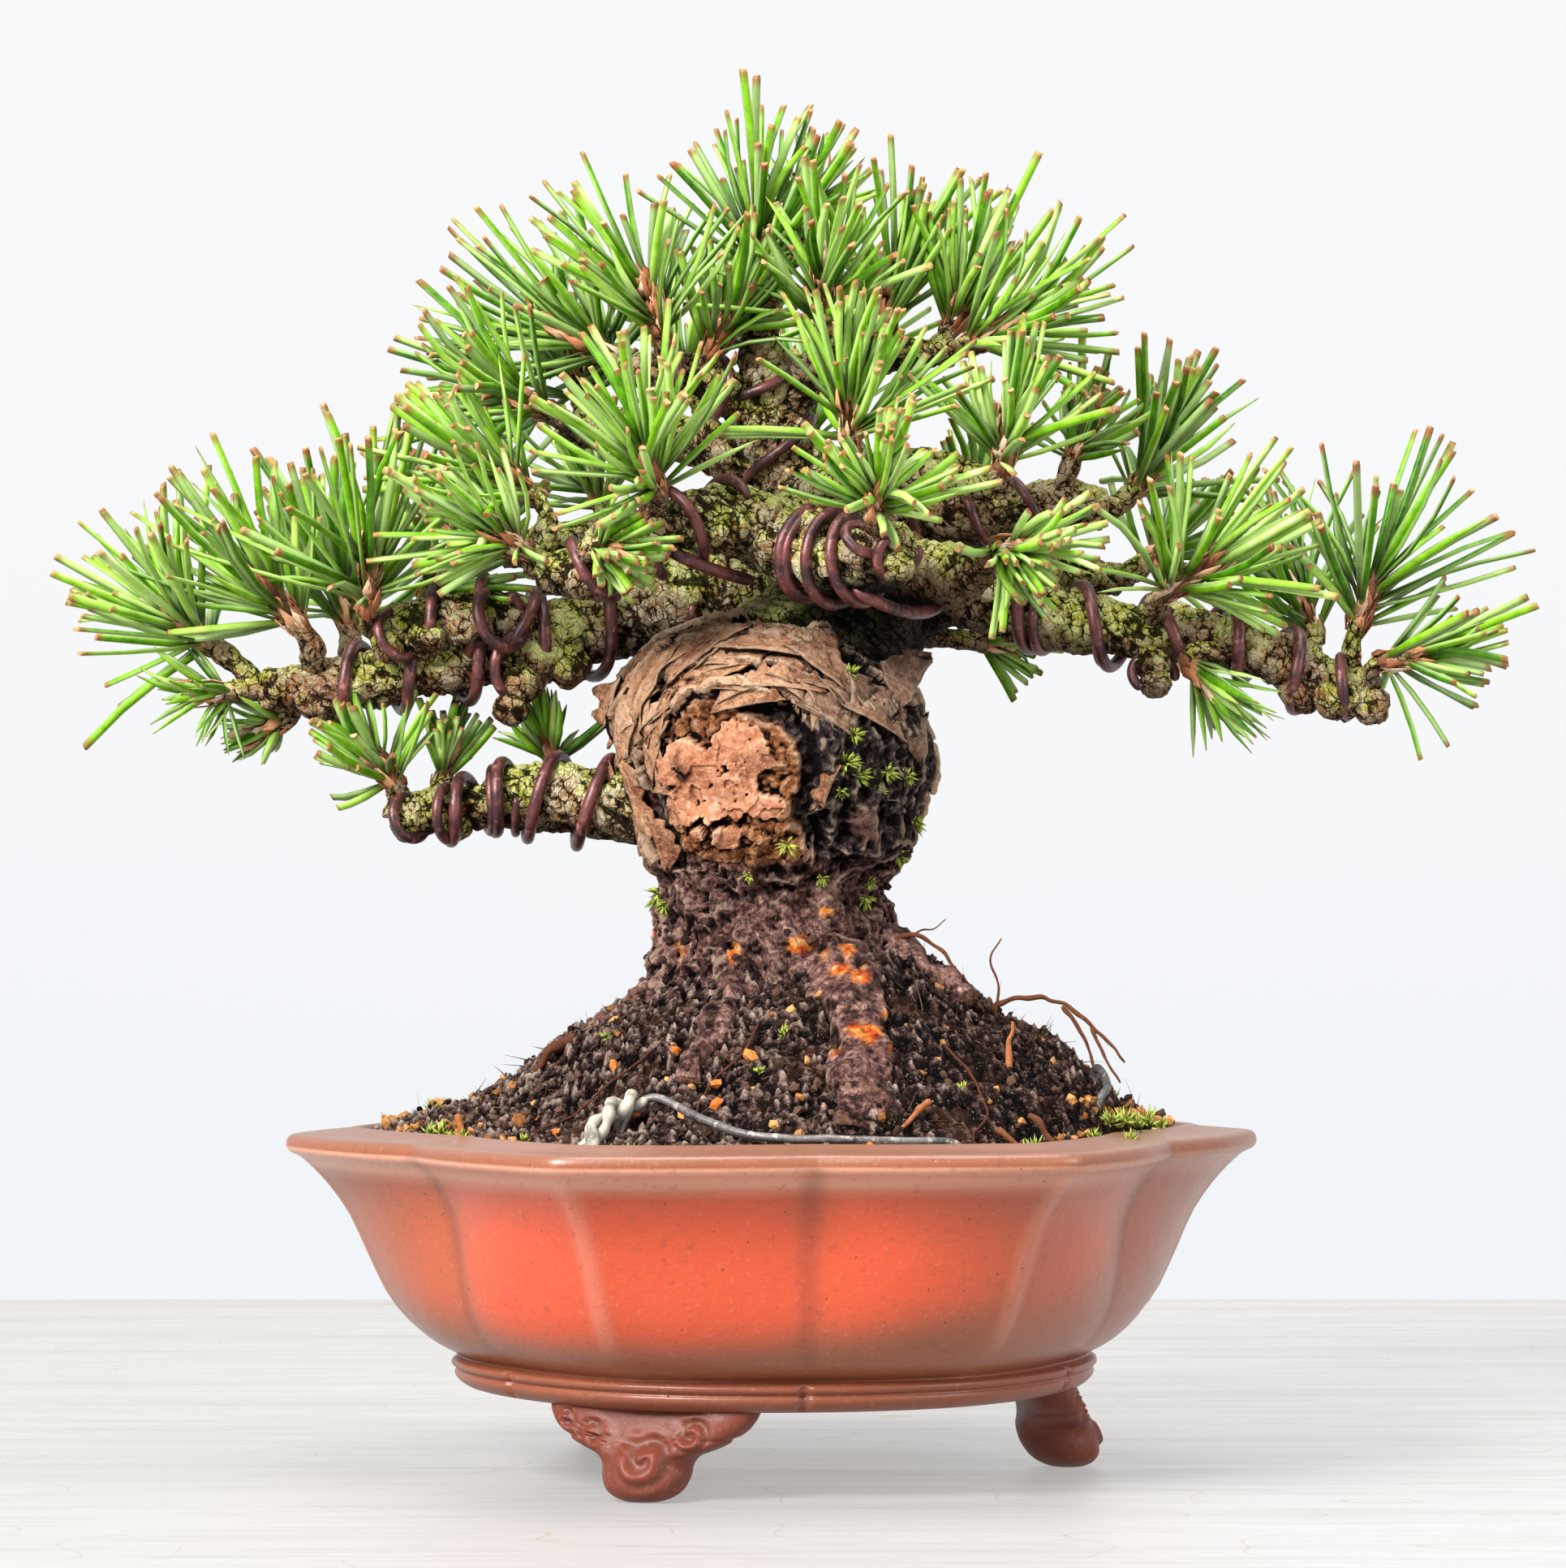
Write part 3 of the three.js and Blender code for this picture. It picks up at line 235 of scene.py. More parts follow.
class Finish:
    """A material: its node method adds a node of any type, with its settings first and then its sockets."""

    def __init__(self, name):
        self.material = bpy.data.materials.new(name)
        self.material.use_nodes = True
        self.tree = self.material.node_tree
        self.place = self.node("ShaderNodeTexCoord", output="Object")

    def node(self, kind, settings=None, sockets=None, output=0):
        made = self.tree.nodes.new(kind)
        for key, value in (settings or {}).items():
            if key == "stops":
                ramp = made.color_ramp
                while len(ramp.elements) < len(value):
                    ramp.elements.new(1)
                for element, (at, tint) in zip(ramp.elements, value):
                    element.position, element.color = at, tint
            else:
                setattr(made, key, value)
        self.fill(made, sockets or {})
        return Value(self, made.outputs[output])

    def fill(self, made, sockets):
        for key, value in sockets.items():
            if isinstance(value, Value):
                self.tree.links.new(value.socket, made.inputs[key])
            else:
                made.inputs[key].default_value = value

    def noise(self, scale, detail=4.0, roughness=0.55, stretch=None, gain=1.0, place=None):
        """Cloudy noise about one half on the object's own coordinates, with a scale in cells a millimetre. A
        gain spreads it further from one half."""
        place = place or self.place
        if stretch:
            place = self.node("ShaderNodeMapping", None, {0: self.place, "Scale": stretch})
        sockets = {"Vector": place, "Scale": scale / MM, "Detail": detail, "Roughness": roughness}
        return self.node("ShaderNodeTexNoise", None, sockets) * gain + (0.5 - 0.5 * gain)

    def ramp(self, share, *stops):
        """A run of colours, each row its place from 0 to 1 and its red, green and blue."""
        rows = [(at, colour(*tint)) for at, *tint in stops]
        return self.node("ShaderNodeValToRGB", {"stops": rows}, {"Fac": share})

    def cells(self, scale):
        """Distance to the nearest of scattered points, on the object's own coordinates."""
        return self.node("ShaderNodeTexVoronoi", None, {"Vector": self.place, "Scale": scale / MM})

    def scales(self, scale, low, high):
        """Small scales with dark gaps between them, from 0 on a scale to 1 in a gap."""
        return self.step(self.cells(scale), low, high)

    def cracks(self, scale, width):
        """Wandering lines between plates, so many to the millimetre: 0 on a plate and 1 in a crack."""
        sockets = {"Vector": self.place, "Scale": 1.3 * scale / MM, "Detail": 3.0}
        moves = self.node("ShaderNodeTexNoise", None, sockets, 1)
        sockets = {0: moves, 1: (0.9 * MM / scale,) * 3, 2: self.place}
        place = self.node("ShaderNodeVectorMath", {"operation": "MULTIPLY_ADD"}, sockets)
        sockets = {"Vector": place, "Scale": scale / MM}
        to_edge = self.node("ShaderNodeTexVoronoi", {"feature": "DISTANCE_TO_EDGE"}, sockets)
        return self.step(to_edge, width, 0.0)

    def shade(self, name):
        """A value that the piece's mesh carries at each point."""
        return self.node("ShaderNodeAttribute", {"attribute_name": name}, output="Fac")

    def step(self, value, low, high):
        """From 0 to 1 while the value goes from low to high."""
        sockets = {"Value": value, "From Min": low, "From Max": high}
        return self.node("ShaderNodeMapRange", {"interpolation_type": "SMOOTHSTEP"}, sockets)

    def blend(self, share, *tints):
        """From one colour to another, each a worked-out one or a red, green and blue."""
        first, second = (tint if isinstance(tint, Value) else colour(*tint) for tint in tints)
        return self.node("ShaderNodeMix", {"data_type": "RGBA"}, {0: share, 6: first, 7: second}, output=2)

    def coats(self, body, rows):
        """Coats of colour laid over a body, each row how much it covers and its colour."""
        for share, tint in rows:
            body = self.blend(share, body, tint)
        return body

    def shader(self, sockets):
        self.fill(self.tree.nodes["Principled BSDF"], sockets)

    def surface(self, body, rough, relief, depth, shine=0.5, more=None):
        """Gives the shader a colour, a roughness and a shine. The relief becomes bumps of this depth in
        millimetres."""
        bump = self.node("ShaderNodeBump", None, {"Height": relief, "Distance": depth * MM})
        sockets = {"Base Color": body, "Roughness": rough, "Specular IOR Level": shine, "Normal": bump}
        self.shader({**sockets, **(more or {})})


SCENE_LIGHT = 1.4


def colour(red, green, blue, light=SCENE_LIGHT):
    """A colour given as it looks on a screen, from 0 to 255, as the share of light that the material gives
    back when this much light falls on it."""
    screen = np.array([red, green, blue]) / 255
    linear = np.where(screen <= 0.04045, screen / 12.92, ((screen + 0.055) / 1.055) ** 2.4)
    return (*(linear / light).tolist(), 1.0)


def make_piece(name, part, finish, replaced=(), hard=False):
    """A piece from a part's whole arrays: points in millimetres from the pot's axis, triangles, and the
    values that its material reads at each point. Hard faces, all or the marked ones, keep their edges."""
    points, faces, shades = part
    mesh = bpy.data.meshes.new(name)
    mesh.vertices.add(len(points))
    mesh.vertices.foreach_set("co", (points * MM + POT_AXIS).astype(np.float32).ravel())
    mesh.loops.add(faces.size)
    mesh.loops.foreach_set("vertex_index", faces.astype(np.int32).ravel())
    mesh.polygons.add(len(faces))
    mesh.polygons.foreach_set("loop_start", np.arange(0, faces.size, 3, dtype=np.int32))
    mesh.polygons.foreach_set("use_smooth", ~(np.zeros(len(faces), bool) | hard))
    for key, values in shades.items():
        carried = mesh.attributes.new(key, "FLOAT", "POINT")
        carried.data.foreach_set("value", np.asarray(values, np.float32).ravel())
    mesh.update(calc_edges=True)
    mesh.materials.append(finish.material)
    piece = bpy.data.objects.new(name, mesh)
    bpy.context.scene.collection.objects.link(piece)
    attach(piece, "root")
    if replaced:
        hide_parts(*replaced)
    return piece


def joined(parts, keys=()):
    """Several (points, faces, shades) parts as one: points stacked, faces counted on, shades end to end. A
    shade with one of these keys, or else the first part's, is 0 on a part without it."""
    starts = np.cumsum([0] + [len(points) for points, _, _ in parts[:-1]])
    points = np.vstack([points for points, _, _ in parts])
    faces = np.vstack([faces + start for (_, faces, _), start in zip(parts, starts)])
    shades = {}
    for key in keys or parts[0][2]:
        shades[key] = np.concatenate([own.get(key, np.zeros(len(places))) for places, _, own in parts])
    return points, faces, shades


def lobe_shape(degrees):
    """How far a side is drawn in: the flat of a hexagon, with a half sine of bulge on each half lobe. Ridges
    are a little rounded, and valleys a little less."""
    lobe = 360 / LOBES
    from_ridge = np.mod(degrees - FIRST_RIDGE, lobe)
    share = np.minimum(from_ridge, lobe - from_ridge) / (lobe / 2)
    share = np.sqrt(share**2 + 0.06**2) - 0.06 * (1 - share)
    share = 1 - np.sqrt((1 - np.minimum(share, 1)) ** 2 + 0.02**2)
    flat_side = math.cos(math.radians(30)) / np.cos(np.radians(30 - 30 * share))
    return flat_side * (1 + LOBE_BULGE * np.sin(np.pi * np.clip(share, 0, 1)))


def lobe_share(z):
    """How far the lobes show: hardly on the foot ring, and more and more up to the lip."""
    return np.where(z < RING_TOP, 0.12, 0.3 + 0.7 * ease(z, RING_TOP, RIM_HEIGHT - 3))


def pot_surface():
    """The profile turned round the axis: radius times the lobes, with more steps at ridges and valleys, a
    hand's waver of a fifth of a millimetre, and a short notch in the foot ring under each valley."""
    profile = spline(POT_PROFILE, len(POT_PROFILE) * 2, closed=True)
    share = np.arange(STEPS_A_LOBE) / STEPS_A_LOBE
    share = share - 0.72 * np.sin(4 * np.pi * share) / (4 * np.pi)
    lobe = 360 / LOBES
    degrees = (FIRST_RIDGE + lobe * (np.arange(LOBES)[:, None] + share)).ravel()
    radius, z = profile[:, :1], profile[:, 1:]
    drawn = 1 - lobe_share(z) * ease(radius, 8, 34) * (1 - lobe_shape(degrees)[None, :])
    turn = np.radians(degrees)[None, :]
    from_valley = np.abs(np.mod(degrees - FIRST_RIDGE, lobe) - lobe / 2)[None, :]
    notch = NOTCH_DEPTH * (1 - ease(from_valley, 0.5, 1.1)) * ease(z, 11.8, 12.2) * (1 - ease(z, 14.9, 15.3))
    reach = radius * drawn - notch * (radius > 39)
    points = np.stack([reach * np.sin(turn), -reach * np.cos(turn), np.broadcast_to(z, reach.shape)], axis=-1)
    waver = 0.2 * noise(points, 17, 1) + 0.06 * noise(points, 4, 2)
    points[..., :2] *= (1 + (waver * ease(radius, 20, 40) / np.maximum(reach, 1)))[..., None]
    outer = (radius > 41) & (np.arange(len(profile)) < len(profile) * 0.56)[:, None]
    # The flush is strongest to the front left, half way up the wall, and dips at each crease and ridge.
    side = np.mod(degrees + 180, 360) - 180
    front = (1 - 0.5 * ease(side, 0, 46)) * (1 - 0.7 * ease(side, 50, 84)) * (1 - 0.7 * ease(-side, 30, 80))
    from_ridge = lobe / 2 - from_valley[0]
    dip = 0.2 * np.exp(-((from_valley[0] / 5) ** 2)) + 0.1 * np.exp(-((from_ridge / 5) ** 2))
    slant = 0.05 * np.clip(side, -10, 60)[None, :]
    flush = outer * ease(z, 17 + slant, 25.5 + 2 * slant) * (1 - 0.55 * ease(z, 31, 47))
    flush = flush * (front - dip)[None, :]
    # Painted shade darkens each crease.
    crease = outer * (1 - ease(from_valley, 0.3, 2.6)) * ease(z, 16, 20)
    # Each ridge is raised a little and carries a painted highlight.
    ridge = (1 - ease(from_ridge, 0.4, 2.2))[None, :] * outer * ease(z, 18, 22) * (1 - ease(z, 40.5, 42.5))
    lit = outer * ease(z, 39.6, 41.4) * (1 - ease(z, 43.8, 44.6)) * (1 - 0.75 * ease(side, 10, 60))[None, :]
    points = points + (0.3 * ridge)[..., None] * np.stack([np.sin(turn), -np.cos(turn), 0 * turn], axis=-1)
    flat_points = points.reshape(-1, 3)
    faces = outward(flat_points, grid_faces(len(profile), len(degrees), round_rows=True))
    shades = {
        "flush": flush, "crease": crease, "ridge": ridge, "lit": lit,
        "lip": ease(z, 43.6, 45) * (radius > 53), "foot": 0.45 * (1 - ease(z, RING_TOP, RING_TOP + 1.5)),
        # A painted reflection of the white room greys the right side mauve.
        "mauve": outer * ease(side, 20, 80)[None, :],
    }
    shades = {key: np.broadcast_to(values, reach.shape).ravel() for key, values in shades.items()}
    return flat_points, faces, shades


# Each foot is a cloud-shaped bracket with carved scrolls, which leans outwards to a ball.
FOOT_ANGLES = [-25, 95, 215]
FOOT_REACH = 37.6
FOOT_LEAN = 0.3
FOOT_BALL = 5.9
FOOT_RINGS = 56
FOOT_SIDES = 84
# Rows from the ground up: height, half width across, half depth.
FOOT_ROWS = [
    (0.02, 1.6, 1.5), (0.12, 2.6, 2.4), (0.7, 4.1, 3.7), (1.7, 5.2, 4.7), (3.2, 5.8, 5.3), (4.6, 5.95, 5.4),
    (5.7, 6.7, 5.2), (6.3, 8.1, 4.8), (6.9, 9.6, 4.4), (7.5, 10.7, 4.1), (8, 11, 4), (8.5, 12.2, 3.9),
    (9.4, 13.3, 3.8), (10.4, 14, 3.8), (11.3, 14.4, 3.8), (12.4, 14.5, 3.8),
]
# Scrolls: middle across and up, reach, turns, handedness
SCROLLS = [
    (-6.6, 8.4, 2.3, 1.2, 1), (1.6, 5.6, 3.9, 1.3, -1), (7.2, 8.8, 2.4, 1.2, -1), (-11, 9.9, 1.6, 1, 1),
]


def foot_surface(degrees):
    """Rings up the foot, each a rounded oblong; the front carries scrolls, raised where a spiral's arm
    passes: the cosine of the distance out, in turns, less the angle."""
    rows = spline(FOOT_ROWS, FOOT_RINGS)
    height, half_width, half_depth = (rows[:, k][:, None] for k in range(3))
    around = np.linspace(0, 2 * np.pi, FOOT_SIDES, endpoint=False)[None, :]
    square = ease(height, 4.5, 8) * 0.35
    across = np.sign(np.cos(around)) * np.abs(np.cos(around)) ** (1 - square)
    deep = np.sign(np.sin(around)) * np.abs(np.sin(around)) ** (1 - square)
    x = half_width * across
    front = np.maximum(deep, 0)
    relief = 0.16 * noise(np.stack([x, deep * half_depth, height + 0 * x], axis=-1), 1.7, 5)
    for middle, up, reach, turns, hand in SCROLLS:
        out = np.hypot(x - middle, height - up)
        angle = np.arctan2(height - up, (x - middle) * hand) / (2 * np.pi)
        arm = np.cos(2 * np.pi * (out / reach * turns - angle))
        relief = relief + 0.5 * arm * (1 - ease(out, reach * 0.75, reach * 1.1))
    y = -(half_depth * deep + relief * ease(front, 0.1, 0.8))
    y = y - FOOT_REACH - (FOOT_BALL - height) * FOOT_LEAN
    turn = math.radians(degrees)
    z = np.maximum(height + 0 * x, 0)
    turned = [x * math.cos(turn) - y * math.sin(turn), x * math.sin(turn) + y * math.cos(turn), z]
    ones = np.ones(relief.shape)
    # Painted shade darkens the carved grooves.
    groove = (0.6 - relief * 1.3).clip(0, 1)
    shades = {"flush": 0.15 * ones, "foot": ones, "crease": 2.2 * groove}
    return closed_rings(np.stack(turned, axis=-1), shades)


def clay_finish():
    """Brown clay with an orange flush, darker pores, faint wiping streaks and a dull polish on the edges.
    Painted light on it: shade in the creases and the feet's grooves, highlights along the ridges and under the
    lip, and a mauve reflection of the white room on the right side.
    """
    clay = Finish("red_clay")
    cloud = clay.noise(0.055, 3)
    grain = clay.noise(1.4, 5, 0.65)
    flush = clay.step(clay.shade("flush") * (0.7 + cloud * 0.6), 0.02, 0.95)
    body = clay.blend(cloud, (146, 84, 56), (170, 102, 70))
    body = clay.coats(body, [
        # Painted light here: mauve reflection at right, highlights under lip and on ridges, shade in creases.
        (clay.shade("mauve") * 0.6, (166, 104, 88)),
        (clay.shade("lip") * 0.8, (134, 94, 76)),
        (clay.shade("foot") * 0.9, (114, 44, 26)),
        (flush, (220, 86, 50)),
        (clay.shade("lit") * 0.9, (238, 172, 142)),
        (clay.shade("crease") * 0.32, (104, 58, 42)),
        (clay.shade("ridge") * 0.35, (220, 152, 126)),
        (clay.step(grain, 0.56, 0.76) * 0.36, (222, 152, 118)),
        (clay.step(clay.noise(0.8, 5, 0.7), 0.54, 0.7) * 0.3, (112, 60, 46)),
    ])
    pores = clay.step(clay.cells(0.42), 0.0, 0.09)
    body = clay.blend(pores, (84, 40, 30), body)
    rough = 0.2 + clay.noise(0.25, 4) * 0.2 + clay.shade("lip") * 0.1 + clay.shade("foot") * 0.2
    height = grain * 0.5 + pores * 0.6 + clay.noise(0.5, 3) * 0.6
    coat = 0.3 - clay.shade("foot") * 0.26
    clay.surface(body, rough, height, 0.14, 0.3, {"Coat Weight": coat, "Coat Roughness": 0.3})
    return clay


pot_parts = [pot_surface(), *(foot_surface(degrees) for degrees in FOOT_ANGLES)]
make_piece("clay_pot", joined(pot_parts), clay_finish(), ["pot"])


# The net over the drain hole is a square of black plastic mesh, cut with scissors.
def net_finish():
    """Black plastic with a fine moulded grain."""
    plastic = Finish("black_net")
    grain = plastic.noise(2.5, 3)
    tint = plastic.blend(grain, (22, 22, 24), (48, 47, 46))
    plastic.surface(tint, 0.45 + grain * 0.2, grain, 0.05)
    return plastic


net_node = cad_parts["drain_net"]
net_node.data.materials.clear()
net_node.data.materials.append(net_finish().material)


# The soil is a mound of black peat and fine roots over the root ball, pressed lower at the front.
MOUND_LEFT = [(12, 67.4), (20, 62.7), (28.8, 57.8), (34.2, 52.9), (39.6, 49.4), (46, 47.2), (52, 45.2)]
MOUND_RIGHT = [
    (12, 70.6), (21, 68.2), (25.5, 64.4), (30, 60.6), (36.3, 58.2), (41.8, 53.6), (46, 48.8), (52, 45),
]
FRONT_DROP = 3.2
SOIL_EDGE_HEIGHT = 42
SOIL_CLEARANCE = 0.45
SOIL_START = 10
SOIL_RINGS = 136
SOIL_SIDES = 540
INNER_WALL = [(37.5, FLOOR_TOP), (45.4, 21), (50.6, 31), (54.6, 41)]


def soil_top(x, y):
    """The mound's height: two outlines by distance out, one to each side, and a drop at the front."""
    out = np.maximum(np.hypot(x, y), 1e-6)
    left = np.interp(out, *np.transpose(MOUND_LEFT))
    right = np.interp(out, *np.transpose(MOUND_RIGHT))
    to_right = ease(x / out, -0.5, 0.9)
    drop = FRONT_DROP * ease(-y / out, 0.2, 0.8) * ease(out, 24, 44)
    return left + (right - left) * to_right - drop


def soil_reach(z, degrees):
    """From the pot's axis to the inside of its wall, less a little room."""
    heights = [row[1] for row in INNER_WALL]
    reach = np.interp(z, heights, [row[0] for row in INNER_WALL])
    return reach * (1 - lobe_share(np.asarray(z)) * (1 - lobe_shape(degrees))) - SOIL_CLEARANCE


def soil_crumbs(x, y, z):
    """Lumps on the mound, in millimetres: broad ones, crumbs with gaps between them, and fine grit."""
    at = warped(np.stack([x, y, z], axis=-1), 2.5, 0.6, 10)
    near, _, pick = cells(at, 2.3, 15)
    grit_near, _, grit_pick = cells(at, 1.1, 16)
    crumbs_high = (0.7 - near) * (1.0 * pick - 0.2) + 1.5 * (0.5 - grit_near) * (0.2 + 1.4 * grit_pick)
    folds = 1.5 * (0.4 - np.abs(noise(at, 2.4, 13))) + 1.1 * (0.4 - np.abs(noise(at, 1.2, 14)))
    return 0.9 * noise(at, 6.5, 11) + crumbs_high + folds - 0.35


def blurred(field, reach):
    """The mean of a field of rings over a square of neighbours, round the rings and across them."""
    sums = np.cumsum(np.pad(field, ((reach, reach), (0, 0)), "edge"), axis=0)
    across = (sums[2 * reach :] - sums[: -2 * reach]) / (2 * reach)
    sums = np.cumsum(np.concatenate([across] * 3, axis=1), axis=1)
    sides = field.shape[1]
    both = sums[:, sides + reach : 2 * sides + reach] - sums[:, sides - reach : 2 * sides - reach]
    return both / (2 * reach)


def soil_surface():
    """The mound as rings from the trunk out to the wall, then down the wall and in under the root ball."""
    step = np.linspace(-np.pi, np.pi, SOIL_SIDES, endpoint=False)[None, :]
    turn = step - 0.35 * np.sin(step)
    around = np.degrees(turn)
    edge = soil_reach(SOIL_EDGE_HEIGHT, around)
    share = np.linspace(0, 1, SOIL_RINGS)[:, None]
    reach = SOIL_START + (edge - SOIL_START) * share**0.9
    x, y = reach * np.sin(turn), -reach * np.cos(turn)
    z = soil_top(x, y)
    crumbs = soil_crumbs(x, y, z)
    fade = 1 - 0.55 * ease(share, 0.93, 1)
    z = np.maximum(z + crumbs * fade, SOIL_EDGE_HEIGHT - 0.4)
    top = np.stack([x, y, z], axis=-1)
    low = []
    for height in (SOIL_EDGE_HEIGHT - 3, 31, 21, FLOOR_TOP + 1.5):
        reach = soil_reach(height, around)
        ring = [reach * np.sin(turn), -reach * np.cos(turn), np.full_like(turn, height)]
        low.append(np.stack(ring, axis=-1))
    rings = np.concatenate([top, np.array(low).reshape(len(low), -1, 3)])
    points, faces, _ = closed_rings(rings)
    # The crumbs' height against their neighbours: painted light on their tops and painted shade in the gaps.
    hollow = np.zeros(len(points))
    hollow[: crumbs.size] = (crumbs - 0.5 * blurred(crumbs, 3) - 0.5 * blurred(crumbs, 8)).ravel()
    # Painted shade darkens the mound towards the right, away from the light.
    return points, faces, {"crumb": hollow, "wet": ease(points[:, 0], -8, 24)}


def peat_finish():
    """Wet peat: purple-brown crumbs, lighter on their tops and black between them with painted light and
    shade, darker to the right with painted shade, with specks of tan fibre and pale grit.
    """
    peat = Finish("black_peat")
    fine = peat.noise(1.0, 8, 0.8, gain=2.5)
    speck = peat.noise(3.0, 3, 0.6)
    tone = fine * 0.5 + peat.shade("crumb") * 0.3 - peat.shade("wet") * 0.1 + 0.2
    body = peat.ramp(tone, (0.34, 4, 1, 2), (0.46, 60, 42, 41), (0.57, 138, 110, 100),
                     (0.74, 244, 216, 196))
    body = peat.coats(body, [
        (peat.step(peat.shade("crumb"), 0.1, -0.4) * 0.95, (4, 1, 2)),
        (peat.step(peat.noise(0.16, 3), 0.5, 0.75) * 0.5, (104, 66, 48)),
        (peat.step(speck, 0.62, 0.68) * 0.75, (176, 132, 92)),
        (peat.step(peat.noise(2.3, 2, 0.6), 0.68, 0.73) * 0.7, (236, 222, 196)),
    ])
    peat.surface(body, 0.42 + speck * 0.4, fine + speck * 0.4, 0.7, 0.07)
    return peat


make_piece("soil_mound", soil_surface(), peat_finish(), ["soil"], True)


# Loose crumbs of peat, baked orange clay and tan grit lie on the mound, most of the grit along the wall.
DRAW = np.random.default_rng(7)
PEAT_CRUMBS = 2200
PEAT_FIBRES = 1500
LOOSE_GRIT = 120
RIM_GRIT = 230
# The turns of a three-sided hair's corners
THIRDS = (0, 2.0944, 4.1888)
ICO = (1 + 5**0.5) / 2
CRUMB_POINTS = np.array([
    (-1, ICO, 0), (1, ICO, 0), (-1, -ICO, 0), (1, -ICO, 0), (0, -1, ICO), (0, 1, ICO), (0, -1, -ICO),
    (0, 1, -ICO), (ICO, 0, -1), (ICO, 0, 1), (-ICO, 0, -1), (-ICO, 0, 1),
]) / math.hypot(1, ICO)
CRUMB_FACES = np.array([
    (0, 11, 5), (0, 5, 1), (0, 1, 7), (0, 7, 10), (0, 10, 11), (1, 5, 9), (5, 11, 4), (11, 10, 2),
    (10, 7, 6), (7, 1, 8), (3, 9, 4), (3, 4, 2), (3, 2, 6), (3, 6, 8), (3, 8, 9), (4, 9, 5), (2, 4, 11),
    (6, 2, 10), (8, 6, 7), (9, 8, 1),
])


def unit(vectors):
    return vectors / np.linalg.norm(vectors, axis=-1, keepdims=True)


def crumbs(places, sizes, squash=0.75):
    """A lump for each place: the 12 corners of a ball, each moved in or out at random and squashed at
    random, then turned by a random rotation."""
    count = len(places)
    turned = np.linalg.qr(DRAW.normal(size=(count, 3, 3)))[0]
    scale = sizes[:, None] * (1 - (1 - squash) * DRAW.random((count, 3)))
    corners = CRUMB_POINTS[None] * (0.55 + 0.75 * DRAW.random((count, 12, 1))) * scale[:, None, :]
    points = np.einsum("nij,nkj->nki", turned, corners) + places[:, None, :]
    faces = CRUMB_FACES[None] + 12 * np.arange(count)[:, None, None]
    mirrored = np.linalg.det(turned) < 0
    faces[mirrored] = faces[mirrored][:, :, ::-1]
    tone = np.repeat(DRAW.random(count), 12)
    return points.reshape(-1, 3), faces.reshape(-1, 3), {"tone": tone}


def on_soil(out, degrees, lift=0.0):
    """Places on the mound's surface, from distance out and angle."""
    turn = np.radians(degrees)
    x, y = out * np.sin(turn), -out * np.cos(turn)
    z = soil_top(x, y)
    return np.column_stack([x, y, np.maximum(z + soil_crumbs(x, y, z), SOIL_EDGE_HEIGHT - 0.4) + lift])


def grain_finish(name, dark, light):
    """Grains of one stuff, from a dark tone to a light one, with dust and pores."""
    grains = Finish(name)
    fine = grains.noise(1.6, 5, 0.65)
    body = grains.blend(grains.shade("tone"), dark, light)
    body = grains.blend(grains.step(fine, 0.48, 0.7) * 0.55, body, (46, 28, 22))
    grains.surface(body, 0.7 + fine * 0.2, fine, 0.2, 0.08)
    return grains


def scattered(count, nearest, furthest, power=0.5):
    """Seeded distances out and angles, spread evenly over the ground between two circles."""
    share = DRAW.random(count) ** power
    degrees = DRAW.random(count) * 360
    edge = np.minimum(furthest, soil_reach(SOIL_EDGE_HEIGHT, degrees) - 1)
    return nearest + (edge - nearest) * share, degrees


def fibre_part(count):
    """Short curved fibres and rootlets that stand out of the peat: three-sided hairs of five rings."""
    out, degrees = scattered(count, 15, 52, 0.6)
    start = on_soil(out, degrees, -0.2)
    heading = unit(DRAW.normal(size=(count, 3)) * [1, 1, 0.35] + [0, 0, 0.35])
    bend = DRAW.normal(size=(count, 3)) * 0.35
    length = (0.9 + 2.6 * DRAW.random(count) ** 2)[:, None]
    share = np.linspace(0, 1, 5)
    line = np.stack([start + heading * length * s + bend * length * s * s for s in share], axis=1)
    side = unit(np.cross(heading, DRAW.normal(size=(count, 3))))
    other = np.cross(heading, side)
    reach = (0.05 + 0.08 * DRAW.random(count))[:, None, None] * (1.15 - share)[None, :, None]
    corners = [line + reach * (math.cos(turn) * side + math.sin(turn) * other)[:, None] for turn in THIRDS]
    points = np.stack(corners, axis=2).reshape(count, 15, 3)
    shape = np.vstack([grid_faces(5, 3), [(2, 1, 0), (12, 13, 14)]])
    return repeated(points, shape, DRAW.random(count) ** 2)


out, degrees = scattered(PEAT_CRUMBS, 15, 52, 0.6)
peat_crumbs = crumbs(on_soil(out, degrees, 0.1), 0.22 + 0.75 * DRAW.random(PEAT_CRUMBS) ** 3)
peat_crumb = grain_finish("peat_crumb", (8, 3, 4), (104, 76, 62))
make_piece("peat_crumbs", peat_crumbs, peat_crumb, hard=True)
peat_fibre = grain_finish("peat_fibre", (14, 7, 6), (164, 120, 84))
make_piece("peat_fibres", fibre_part(PEAT_FIBRES), peat_fibre)

out, degrees = scattered(LOOSE_GRIT, 17, 52, 0.6)
rim_degrees = DRAW.random(RIM_GRIT) * 360
rim_out = soil_reach(SOIL_EDGE_HEIGHT, rim_degrees) - 1 - 2.4 * DRAW.random(RIM_GRIT)
grit_places = np.vstack([on_soil(out, degrees), on_soil(rim_out, rim_degrees, 0.3)])
grit = crumbs(grit_places, 0.45 + 0.75 * DRAW.random(len(grit_places)) ** 1.5)
baked_grit = grain_finish("baked_grit", (140, 84, 40), (226, 168, 104))
make_piece("clay_grit", grit, baked_grit, hard=True)

